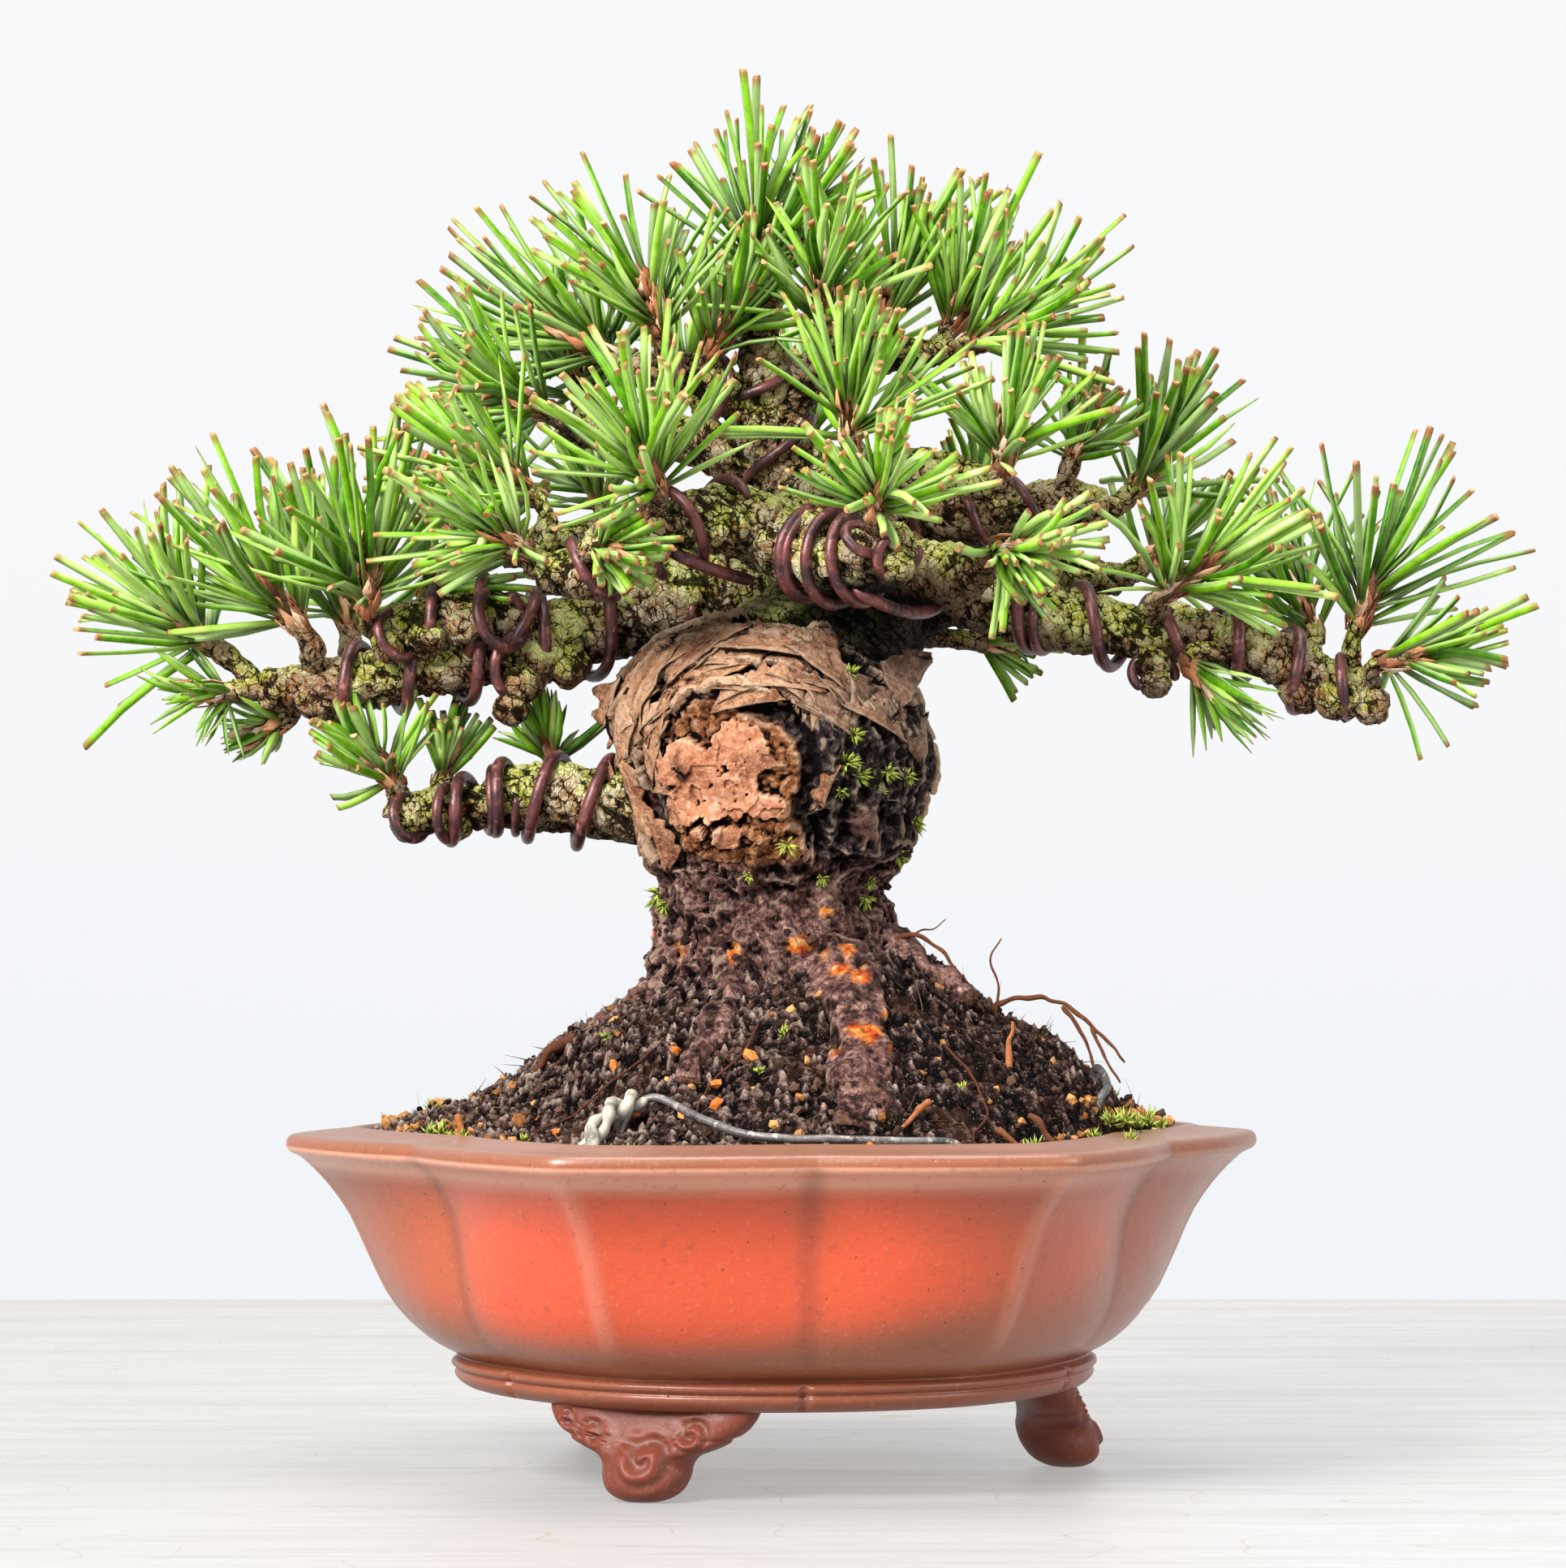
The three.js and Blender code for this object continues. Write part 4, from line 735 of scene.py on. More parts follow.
# Orange grains that show on the front of the mound: across and back from the axis, and size
SHOWN_GRAINS = [
    (-12.6, -27, 1.2), (-20.6, -24, 1.0), (-7.6, -33, 1.2), (-3.2, -31, 1.2), (-7.4, -36, 1.1),
    (17.6, -43, 1.3), (12, -44.6, 1.0), (-14.4, -46.6, 1.0), (22, -22.6, 1.0), (-18, -33, 0.9),
    (-28, -30, 0.9),
]
across, back, size = np.transpose(SHOWN_GRAINS)
orange_grains = crumbs(np.column_stack([across, back, soil_top(across, back) + 0.5]), size, 0.6)
orange_clay = grain_finish("orange_clay", (206, 98, 40), (246, 156, 80))
make_piece("orange_grains", orange_grains, orange_clay, hard=True)


# Two tie wires hold the root ball down: soft grey aluminium, bent by hand and pushed into the soil.
TIE_RADIUS = 0.55
TIE_LIFT = 0.7
TIES = {
    "tie_wire_front": [
        (25, -40, -6), (23, -41.4, -0.4), (16, -44, 0.1), (9, -45, 0.1), (2, -45.2, 0.1), (-4, -43.6, 0.2),
        (-10, -38.4, 0.6), (-15.4, -33.8, 1), (-19, -34.6, 0.4), (-20.6, -36.2, -5),
    ],
    "tie_wire_right": [
        (41, -17.5, -6), (42.4, -16.6, 0), (43.6, -13.4, 1.4), (42.4, -9.6, 0.8), (41.4, -8.6, -4),
    ],
}


def tube(line, reach, sides, hint):
    """A tube along a line of points. Each ring is square to the line, and starts at the side nearest the
    hint."""
    tangent = unit(np.gradient(line, axis=0))
    hint = np.broadcast_to(np.asarray(hint, float), line.shape)
    first = unit(hint - np.einsum("ij,ij->i", hint, tangent)[:, None] * tangent)
    second = np.cross(tangent, first)
    turn = np.linspace(0, 2 * np.pi, sides, endpoint=False)[None, :, None]
    reach = np.broadcast_to(reach, (len(line), sides))[..., None]
    return line[:, None] + reach * (np.cos(turn) * first[:, None] + np.sin(turn) * second[:, None])


def rounded_ends(count, steps=4):
    """A tube's reach at each ring: 1, but for a quarter circle at each end."""
    ring = np.arange(count)
    end = np.minimum(ring, count - 1 - ring)
    share = np.clip((end + 0.35) / steps, 0, 1)
    return np.sqrt(1 - (1 - share) ** 2)[:, None]


def wire_finish(name, dark, light, worn_tone_and_sheen, metal, rough):
    """Drawn wire with a clouded skin, a pale tone in patches that is partly wear and partly a painted sheen,
    and fine scratches.
    """
    wire = Finish(name)
    cloud = wire.noise(0.3, 5, 0.65)
    scratch = wire.noise(3, 4, 0.65)
    body = wire.blend(wire.step(cloud, 0.38, 0.62), dark, light)
    body = wire.coats(body, [
        (wire.step(wire.noise(0.7, 5, 0.7), 0.54, 0.72), worn_tone_and_sheen),
        (wire.step(scratch, 0.6, 0.7) * 0.4, dark),
    ])
    wire.surface(body, rough + scratch * 0.25, scratch + cloud, 0.06, more={"Metallic": metal})
    return wire


grey_wire = wire_finish("grey_aluminium", (70, 66, 66), (126, 120, 116), (218, 208, 190), 0.3, 0.3)
for name, rows in TIES.items():
    bent = np.array([(x, y, soil_top(x, y) + TIE_RADIUS + TIE_LIFT + lift) for x, y, lift in rows])
    line = warped(spline(bent, len(rows) * 12), 3, 0.12, 21)
    tie = closed_rings(tube(line, TIE_RADIUS * rounded_ends(len(line)), 10, (0, 0, 1)))
    make_piece(name + "_drawn", tie, grey_wire, [name])


# The trunk: a swollen foot in the peat, a black neck, and a burl as broad as a fist of bark over it. Its
# plates lie in shells round a pale scar that faces the viewer, like a peeled onion.
TRUNK = [
    (0.6, 0, 38, 17.6), (1, 0, 52, 18.6), (1.2, 0, 60, 18.2), (1.2, 0, 66, 17), (0.8, 0, 70.5, 16),
    (0, -0.4, 74.4, 15.2), (-0.6, -1, 77.4, 14.6), (-0.4, -2, 80.4, 16.2), (0.4, -2.8, 84, 17.9),
    (0.9, -3.2, 88.6, 19.4), (0.3, -3.4, 93.4, 20.2), (-0.6, -3.4, 98.4, 20.8), (-1.4, -3, 103.4, 19.8),
    (-1.6, -2.2, 107.8, 17), (-1.8, -1.2, 111.4, 12.4), (-1.8, -0.4, 113.6, 6),
]
TRUNK_PLACES = np.concatenate([
    np.linspace(0, 2, 6, endpoint=False), np.linspace(2, 7, 64, endpoint=False), np.linspace(7, 15, 158),
])
BURL_MIDDLE = np.array([0, -3, 96])
BURL_FACE = unit(np.array([-0.27, -0.95, -0.14]))
BURL_ARC = 20
BURL_BOTTOM = 79
TRUNK_SIDES = 430
SHELL_RISE = 1.35
SHELL_EDGES = [10.2, 14.2, 19.4, 28.5, 38, 50, 72]
# The pale scar, where the outer bark has come away: across, up, half width and half height of its patches
SCAR_PATCHES = [
    (-4.6, 95.6, 4, 3.8), (-9.8, 93.2, 4.6, 3.8), (-6.4, 90, 4.8, 3.6), (-1.4, 88.6, 2.8, 2),
    (-11.8, 88.4, 2.6, 3.2), (-6, 84.4, 2.2, 1.6), (-9.6, 84.8, 1.4, 1.2),
]
# Crevices: how far from the middle each starts and ends to rise, how deep, how much painted shade darkens it,
# and its corners across and up
CREVICES = [
    (0.5, 1.9, 1.7, 1, [(-4, 101.6), (0.6, 100.4), (4.2, 97), (4.8, 92.6), (3.2, 88), (5.6, 83.4)]),
    (0.5, 1.6, 1.2, 1, [(-17, 99), (-15.6, 92), (-14.8, 86), (-12.6, 81)]),
    (0.2, 0.8, 0.9, 0.6, [(-5.8, 112.6), (-11, 108.8), (-13.2, 106.6), (-16.2, 101.4), (-17, 98)]),
    (0.2, 0.7, 0.7, 0.6, [(-12.6, 104), (-6.8, 105.4), (0, 105.8), (6.2, 105.6), (10, 103)]),
]
# A hollow at the top right, carved in and painted black as shade: across, up and reach
SHADED_HOLLOW = (10, 107, 7)
KNOB = (11.6, 86, 3)
# Patches of orange under-bark low on the trunk and its roots: across, up, half width, half height
ORANGE_PATCHES = [
    (-5.3, 68.6, 0.8, 1.4), (3.7, 70.3, 1.9, 1.2), (6.6, 68.7, 0.8, 0.7), (9.3, 69.5, 1, 0.7),
    (8.2, 67.1, 1.4, 0.8), (11.2, 66.4, 1.1, 0.9), (4.3, 61.9, 1.7, 1.2), (-0.6, 60.5, 0.9, 0.6),
    (11.6, 59.2, 2.4, 1.1), (14.6, 61.3, 1, 0.7), (15.3, 56.9, 0.8, 0.8), (7.8, 56.7, 1.5, 0.7),
    (6.6, 74.3, 1.2, 0.6), (-12.6, 69.4, 0.7, 0.9), (1.4, 65.4, 0.6, 0.5),
]


def angle_between(vectors, direction):
    return np.arccos(np.clip(vectors @ direction, -1, 1))


def near_line(x, z, rows):
    """The shortest distance in the picture plane to a bent line."""
    rows = np.array(rows, float)
    nearest = np.full(x.shape, 1e9)
    for (x0, z0), (x1, z1) in zip(rows[:-1], rows[1:]):
        dx, dz = x1 - x0, z1 - z0
        share = np.clip(((x - x0) * dx + (z - z0) * dz) / (dx * dx + dz * dz), 0, 1)
        nearest = np.minimum(nearest, np.hypot(x - x0 - share * dx, z - z0 - share * dz))
    return nearest


def terraces(distance, edges, rise):
    """Plates that overlap inwards: at each edge the surface jumps up by the rise and then sinks back
    slowly."""
    height = np.zeros_like(distance)
    share = np.zeros_like(distance)
    for low, high in zip(edges[:-1], edges[1:]):
        inside = (distance >= low) & (distance < high)
        along = (distance - low) / (high - low)
        height = np.where(inside, rise * (1 - along) * ease(distance, low, low + 0.5), height)
        share = np.where(inside, along, share)
    return height, share


def in_patches(points, rows, wander, edge):
    """1 inside ovals of the picture plane whose outlines wander, easing to 0 just past them."""
    x, z = points[..., 0], points[..., 2]
    patch = np.zeros_like(x)
    for middle_x, middle_z, half_width, half_height in rows:
        span = np.hypot((x - middle_x) / half_width, (z - middle_z) / half_height) + wander
        patch = np.maximum(patch, 1 - ease(span, 0.9, edge))
    return patch


def orange_patches(points, seed):
    """Where the outer bark is rubbed off and orange under-bark shows, on the side of the viewer."""
    wander = 0.5 * noise(points, 2, seed) + 0.22 * noise(points, 0.9, seed + 1)
    return (points[..., 1] < -4) * in_patches(points, ORANGE_PATCHES, wander, 1.04)


def trunk_surface():
    """Rings up the trunk, pushed in and out by its bark: shells and flakes on the burl, crumbs and roots
    below."""
    rows = spline(TRUNK, TRUNK_PLACES)
    step = np.linspace(0, 2 * np.pi, TRUNK_SIDES, endpoint=False)[None, :]
    turn = step - 0.5 * np.sin(step)
    centre_x, centre_y, z, radius = (rows[:, k][:, None] for k in range(4))
    low = 1 - ease(z, 50, 78)
    lumps = 0.018 * np.sin(turn * 5 + z * 0.4) + 0.016 * np.sin(turn * 3 - z * 0.7)
    reach = radius * (1 + 0.07 * low * np.cos(5 * turn + 0.7) + lumps)
    x, y = centre_x + reach * np.sin(turn), centre_y - reach * np.cos(turn)
    base = np.stack([x, y, np.broadcast_to(z, x.shape)], axis=-1)
    z = base[..., 2]
    from_burl = unit(base - BURL_MIDDLE)
    on_burl = ease(z + 0.7 * noise(base, 3, 30), BURL_BOTTOM, BURL_BOTTOM + 3)
    straight_out = np.stack([np.sin(turn) + 0 * x, -np.cos(turn) + 0 * x, 0 * x], axis=-1)
    out = unit(straight_out * (1 - on_burl[..., None]) + from_burl * on_burl[..., None])
    front = np.cos(turn) > 0.1

    # Shells: plates torn back in rings from the face, each broken into shards and thin flakes.
    arc = angle_between(from_burl, BURL_FACE) * BURL_ARC
    side_axis = unit(np.cross(BURL_FACE, [0, 0, 1]))
    up_axis = np.cross(side_axis, BURL_FACE)
    around_face = np.arctan2(from_burl @ up_axis, from_burl @ side_axis)
    circle = np.stack([np.cos(around_face), np.sin(around_face)], axis=-1)
    unrolled = np.concatenate([arc[..., None], circle * arc[..., None].clip(6) * 0.9], axis=-1)
    loose = warped(unrolled, 2.6, 1.0, 50)
    _, shard_gap, shard = cells(loose * [0.18, 0.085, 0.085], 1, 60)
    ragged = arc + 1.5 * noise(base, 11, 31) + 2.0 * (shard - 0.5) + 0.45 * noise(base, 1.8, 32)
    ragged = ragged + 0.3 * noise(base, 0.7, 33)
    plates, along = terraces(ragged, SHELL_EDGES, SHELL_RISE)
    _, flake_gap, flake = cells(loose * [0.6, 0.26, 0.26], 1, 70)
    shard_crack = 1 - ease(shard_gap, 0.0, 0.05)
    flake_crack = (1 - ease(flake_gap, 0.0, 0.09)) * (flake > 0.3)
    layers = 0.16 * noise(base, 1.1, 35) + 0.1 * noise(base * [1, 1, 0.4], 0.6, 34)
    bark = plates + 0.8 * (shard - 0.5) + 0.34 * (flake - 0.5) + layers
    bark = bark - 0.8 * shard_crack - 0.35 * flake_crack - 0.3
    pits = ease(noise(base, 0.7, 28), 0.6, 0.72) * (noise(base, 5, 27) > -0.1)
    bark = bark - 0.45 * pits

    # Face: a pale scar of torn layers among brown nubs, with lumps of corky bark below it.
    face = 1 - ease(ragged, SHELL_EDGES[0] - 0.8, SHELL_EDGES[0] + 0.2)
    below = ease(x + noise(base, 3, 57), -15, -12.4) * (1 - ease(x, 3, 5))
    below = below * ease(90 + 1.4 * noise(base, 4, 58) - z, -0.6, 0.6)
    face = np.maximum(face, front * below)
    wander = 0.5 * noise(base, 3, 36) + 0.45 * noise(base, 1.2, 37) + 0.2 * noise(base, 0.5, 26)
    scar = front * in_patches(base, SCAR_PATCHES, wander * 0.6, 1.02)
    rough_base = warped(base, 1.3, 0.45, 53)
    nub_near, _, nub = cells(rough_base, 2.3, 80)
    speck_near, _, speck = cells(rough_base, 0.85, 90)
    nubs = 1.2 * (0.5 - nub_near) + 0.5 * (0.5 - speck_near) + 0.5 * (nub - 0.5) + 0.3 * noise(base, 0.9, 38)
    torn = 0.34 * np.round(1.7 * noise(base, 5, 39) + 0.6 * noise(base, 1.9, 40) + 0.2 * noise(base, 0.7, 25))
    holes = (1 - ease(speck_near, 0.1, 0.3)) * (speck > 0.78)
    scar_height = 0.9 + torn + 0.5 * noise(base, 2.7, 24) + 0.16 * noise(base, 1, 41) - 0.5 * holes
    face_height = nubs * (1 - scar) + scar_height * scar

    # Right: dark crumbling bark in a hollow, with one smooth knob, blackened further by painted shade.
    # Crevices run between the plates, and painted shade darkens them and the hollow at the top right.
    shade_edge = 2.2 * noise(base, 5, 45) + 1.1 * noise(base, 1.8, 56)
    dark_side = front * ease(x + 0.7 * shade_edge, 4.4, 6) * ease(98.4 + 0.12 * x + shade_edge - z, -0.8, 0.8)
    crumbly = 0.45 * (0.5 - nub_near) * (0.4 + nub) + noise(base, 3.6, 42) + 0.5 * (0.5 - speck_near) * speck
    crumbly = crumbly + 0.9 * (0.35 - np.abs(noise(base * [1, 1, 0.6], 2, 46)))
    creases = 1.5 * (0.35 - np.abs(noise(rough_base * [1, 1, 0.6], 3, 54)))
    creases = creases + 0.8 * (0.3 - np.abs(noise(rough_base, 1.3, 52)))
    crumbly = crumbly + creases + 0.25 * noise(base, 0.6, 43)
    roots = 0.9 * noise(base * np.array([1, 1, 0.3]), 3.4, 44)
    flow = noise(np.stack([x * 1.3 + 0.6 * z, y, z * 0.35 - 0.4 * x], axis=-1), 2.4, 59)
    bare = front * ease(x + 2 * noise(base, 4, 55), -8, -4) * (1 - ease(x, 12, 15)) * (1 - ease(z, 75, 78))
    crumbly = crumbly * (1 - 0.65 * bare) + 1.1 * flow * bare + roots * (1 - on_burl)
    wobble = 0.5 * noise(base, 1.6, 46)
    gashes = []
    for low, high, _, _, corners in CREVICES:
        gashes.append(front * (1 - ease(near_line(x, z, corners) + wobble, low, high)))
    hollow_x, hollow_z, hollow_reach = SHADED_HOLLOW
    pit = front * (1 - ease(np.hypot(x - hollow_x, z - hollow_z) + wobble, hollow_reach * 0.4, hollow_reach))
    knob_x, knob_z, knob_reach = KNOB
    knob = front * (1 - ease(np.hypot(x - knob_x, z - knob_z), knob_reach * 0.3, knob_reach))
    rough = on_burl * (1 - dark_side)
    height = rough * (bark * (1 - face) + face_height * face) + (1 - rough) * crumbly * (1 - 0.7 * knob)
    height = height + 0.9 * knob
    shadow = dark_side + pit
    for gash, (_, _, depth, dark, _) in zip(gashes, CREVICES):
        height = height - depth * gash
        shadow = shadow + dark * gash
    height = height - 1.8 * pit
    points = base + out * height[..., None]

    # How far a point sinks below its neighbours: painted shade in the hollows, painted light on the crests.
    cavity = blurred(height, 6) - height + (blurred(height, 2) - height) * 1.6
    cavity = cavity * (1 - 0.5 * scar * face) + 0.5 * (shard_crack + pits) * rough * (1 - face)
    cavity = cavity + 1.5 * ease(-x, 9, 16) * front * noise(base * [1, 1, 0.4], 2.2, 29).clip(0)
    grey = ease(x, 2, 9) * ease(z, 96, 99) + 0.45 * (np.cos(turn) < -0.2) + 0.5 * ease(z, 106, 111)
    back_patch = ease(noise(base, 3.4, 49), 0.7, 0.76) * ~front * (z < 76)
    shades = {
        "scar": rough * face * scar * (1 - gashes[0]),
        "nub": rough * face * (1 - scar),
        "peat": 1 - on_burl * (1 - ease(81 + 1.6 * noise(base, 3, 47) - z, -1, 1.6)),
        "ring_out": ragged, "ring_round": around_face * arc.clip(6),
        "shadow": shadow.clip(0, 1), "cavity": cavity.clip(-1, 1), "grey": grey.clip(0, 1),
        "shard": np.where(face > 0.5, nub * 0.6 + speck * 0.4, shard * 0.7 + flake * 0.3),
        "knob": knob, "dim": rough * ease(-x, 9, 17),
        "edge": rough * (1 - face) * (1 - ease(along, 0.03, 0.3)),
        "orange": np.maximum(orange_patches(points, 48), back_patch),
    }
    return closed_rings(points, shades)


def bark_finish():
    """Tan and pink-brown plates, black in their cracks and hollows with painted shade and lighter on their
    crests with painted light, a pale pink scar, dark wet bark below, orange under-bark, and painted shade over
    the dark right side. On the burl the grain runs along the shells: noise on the distance from the face and
    round it."""
    bark = Finish("old_bark")
    sockets = {0: bark.shade("ring_out"), 1: bark.shade("ring_round") * 0.22}
    rings = bark.node("ShaderNodeCombineXYZ", None, sockets)
    grain = bark.noise(0.9 * MM, 6, 0.7, gain=1.8, place=rings)
    fine = bark.noise(1.0, 8, 0.75, gain=1.8)
    broad = bark.noise(0.2, 5, 0.6)
    streak = bark.noise(2.2, 5, 0.7)
    gaps = bark.scales(0.9, 0.5, 0.72)
    shard = bark.shade("shard")
    plate = bark.ramp(
        shard * 0.3 + fine * 0.35 + grain * 0.35 - bark.shade("dim") * 0.2, (0.2, 48, 20, 12),
        (0.37, 150, 96, 66), (0.53, 230, 172, 130), (0.76, 255, 224, 190),
    )
    plate = bark.coats(plate, [
        (bark.step(broad, 0.48, 0.66) * 0.5, (206, 132, 98)),
        (bark.step(streak, 0.58, 0.64) * 0.7, (62, 32, 24)),
    ])
    grey = bark.ramp(fine * 0.6 + grain * 0.4, (0.25, 56, 42, 38), (0.5, 122, 104, 92), (0.75, 196, 178, 158))
    plate = bark.coats(plate, [
        (bark.shade("grey") * 0.75, grey),
        (bark.shade("edge") * 0.5, (244, 212, 176)),
    ])
    nubs = bark.ramp(shard * 0.35 + fine * 0.65, (0.2, 44, 18, 12), (0.4, 142, 84, 50),
                     (0.58, 204, 136, 88), (0.8, 246, 196, 150))
    scar = bark.ramp(fine * 0.55 + broad * 0.45, (0.18, 84, 36, 20), (0.36, 170, 102, 68),
                     (0.55, 212, 148, 112), (0.8, 244, 208, 186))
    scar = bark.blend(bark.step(streak, 0.62, 0.68) * 0.6, scar, (140, 72, 44))
    body = bark.blend(bark.shade("nub"), plate, nubs)
    body = bark.blend(bark.shade("scar"), body, scar)
    dark = bark.ramp(fine, (0.3, 18, 10, 12), (0.5, 58, 46, 46), (0.7, 112, 96, 90), (0.9, 170, 150, 134))
    body = bark.blend(bark.shade("shadow"), body, dark)
    wet = bark.ramp(fine * 0.75 + shard * 0.2, (0.27, 12, 5, 5), (0.43, 90, 60, 56), (0.58, 162, 120, 108),
                    (0.77, 246, 206, 182))
    body = bark.coats(body, [
        (bark.shade("peat"), wet),
        # Pink in the middle of the burl's knob is a painted highlight; on the roots this coat lays pink
        # patches.
        (bark.shade("knob") * bark.step(fine, 0.2, 0.7) * 0.85, (172, 122, 108)),
    ])
    blot = bark.noise(0.6, 4, 0.6, gain=1.8)
    patch = bark.ramp(blot, (0.2, 150, 40, 26), (0.4, 232, 104, 40), (0.6, 252, 160, 70),
                      (0.8, 252, 226, 190))
    body = bark.coats(body, [
        (bark.shade("orange"), patch),
        # Painted shade in the cracks and hollows, and painted light on the crests.
        (bark.step(bark.shade("cavity") + gaps * 0.12, 0.1, 0.62), (18, 8, 7)),
        (bark.step(bark.shade("cavity") * -1.0, 0.2, 0.8) * 0.35, (248, 216, 184)),
    ])
    relief = (fine * 0.6 + grain * 0.4 + streak * 0.7 - gaps * 0.4) * (1 - bark.shade("scar") * 0.7)
    bark.surface(body, 0.5 + streak * 0.3, relief, 0.7, 0.08)
    return bark


old_bark = bark_finish()
trunk = trunk_surface()
TRUNK_SHADES = list(trunk[2])
make_piece("trunk_bark", trunk, old_bark, ["pine"], True)


# Surface roots spread from the trunk's foot and run down the mound, half sunk in the peat.
# Rows: across and back from the axis, and radius
ROOTS = {
    "root_front": [
        (4, -8, 7.6), (6.4, -12, 7), (8.4, -16.4, 6), (9.8, -21, 5.2), (10.6, -25.6, 4.9), (11.2, -30, 4.7),
        (11, -34.4, 4.4), (10.6, -38, 3.6), (10.2, -41, 2.2),
    ],
    "root_front_left": [
        (-3, -12, 4), (-5, -17.5, 3.8), (-7.4, -22.5, 3.2), (-9.4, -27, 2.4), (-10.6, -31, 1.5),
    ],
    "root_right": [(10, -4, 4), (15.6, -6, 3.4), (20, -8.6, 2.7), (24.6, -12, 1.8)],
    "root_left": [(-10, -3, 4), (-15.4, -5, 3.4), (-20, -8, 2.6), (-25, -10, 1.6)],
    "root_back": [(0, 12, 4.2), (3, 18, 3.4), (4, 25, 2.6), (2, 31, 1.6)],
}
ROOT_RINGS = 84
ROOT_SIDES = 34


def root_part(rows, number):
    """A tube half sunk along the mound, with the trunk's crumbly relief."""
    rows = np.array(rows)
    height = soil_top(rows[:, 0], rows[:, 1]) - 0.45 * rows[:, 2]
    line = spline(np.column_stack([rows[:, :2], height, rows[:, 2]]), ROOT_RINGS)
    rings = tube(line[:, :3], line[:, 3:], ROOT_SIDES, (0, 0, 1))
    out = unit(rings - line[:, None, :3])
    bent = warped(rings, 1.5, 0.5, 130 + number)
    near, _, lump = cells(bent, 2.6, 140 + number)
    speck_near, _, speck = cells(bent, 0.9, 150 + number)
    flow = noise(rings * [1.3, 0.3, 0.3], 1.6, 165 + number)
    relief = 0.5 * (0.5 - near) + 1.8 * noise(rings, 4.2, 160 + number)
    relief = relief + 0.6 * (0.5 - speck_near) * speck + 0.8 * flow
    rings = rings + out * relief[..., None]
    return closed_rings(rings, {
        "peat": np.ones(relief.shape), "cavity": 0.5 * (near - 0.4) + 0.4 * (speck_near - 0.5) - 0.5 * flow,
        "knob": 0.55 * ease(noise(rings, 3, 170), 0.1, 0.5), "shard": lump,
        "orange": orange_patches(rings, 48),
    })


root_parts = [root_part(rows, number) for number, rows in enumerate(ROOTS.values())]
make_piece("surface_roots", joined(root_parts, TRUNK_SHADES), old_bark, hard=True)

# Peat still clings to the neck of the trunk.
NECK_CRUMBS = 420
neck_turn = DRAW.random(NECK_CRUMBS) * 2 * np.pi
neck_z = 62 + 19.5 * DRAW.random(NECK_CRUMBS) ** (0.6 + 0.9 * (np.cos(neck_turn - 0.3) < 0.4))
neck_reach = np.interp(neck_z, [row[2] for row in TRUNK], [row[3] for row in TRUNK]) + 0.35
neck_places = np.column_stack([neck_reach * np.sin(neck_turn), -neck_reach * np.cos(neck_turn) - 0.4, neck_z])
neck_crumbs = crumbs(neck_places, 0.3 + 0.65 * DRAW.random(NECK_CRUMBS) ** 3)
neck_peat = grain_finish("neck_peat", (8, 3, 4), (104, 74, 66))
make_piece("neck_crumbs", neck_crumbs, neck_peat, hard=True)


# Loose shards of bark peel from the burl: thin curled plates with torn edges, held along one side.
# Rows: across and up of the middle, length, width, turn in the picture, lift of the free edge, how grey
SHARDS = [
    (-21.2, 102.6, 5, 3, 75, 1, 0.2), (-18.6, 98.6, 9, 4, -82, 0.6, 0.1),
    (-16.4, 104.6, 11, 4, 62, 0.8, 0.2), (-9.4, 109.2, 13, 4.6, 36, 1, 0.2),
    (-1.6, 110.2, 13, 5.6, -6, 0.8, 0.2), (6.2, 107.4, 9, 4.6, -36, 0.9, 0.5),
    (-9.6, 104.6, 13, 3.4, 28, 0.6, 0), (0, 104.6, 12, 3.2, -4, 0.6, 0.2),
    (7.4, 101, 8, 4.4, -30, 0.9, 0.8), (13.4, 100.8, 9, 5, -30, 1.2, 0.7),
    (16.2, 105.4, 8, 4.4, 58, 1.2, 0.9), (6, 91.4, 6, 2, 68, 1, 0), (-15.2, 97.4, 11, 2.6, 78, 0.6, 0),
    (-17.2, 88.6, 11, 2.2, -78, 0.6, 0), (-14, 84, 7, 2, -70, 0.5, 0.1), (-3.4, 102, 9, 2.4, 10, 0.5, 0),
    (17.8, 97.4, 6, 2.4, 84, 0.7, 0.9),
]
LOOSE_FLAKES = 40
flake_draw = np.random.default_rng(31)
for _ in range(LOOSE_FLAKES):
    way, out = flake_draw.uniform(25, 215), flake_draw.uniform(10.5, 19.5)
    x, z = -4.5 + out * math.cos(math.radians(way)), 94.5 + 0.86 * out * math.sin(math.radians(way))
    long, wide = flake_draw.uniform(2.6, 6), flake_draw.uniform(1.2, 3)
    tilt, lift = way - 90 + flake_draw.normal() * 16, flake_draw.uniform(0.2, 0.8)
    SHARDS.append((x, z, long, wide, tilt, lift, min(1, max(0, 0.08 * x))))
SHARD_THICKNESS = 0.32


def burl_front(x, z):
    """The depth of the trunk's side that faces the viewer, from its outline at that height."""
    heights = [row[2] for row in TRUNK]
    middle_x, middle_y, radius = (np.interp(z, heights, [row[k] for row in TRUNK]) for k in (0, 1, 3))
    off = np.clip(np.abs(x - middle_x), 0, radius * 0.985)
    return middle_y - np.sqrt(radius**2 - off**2)


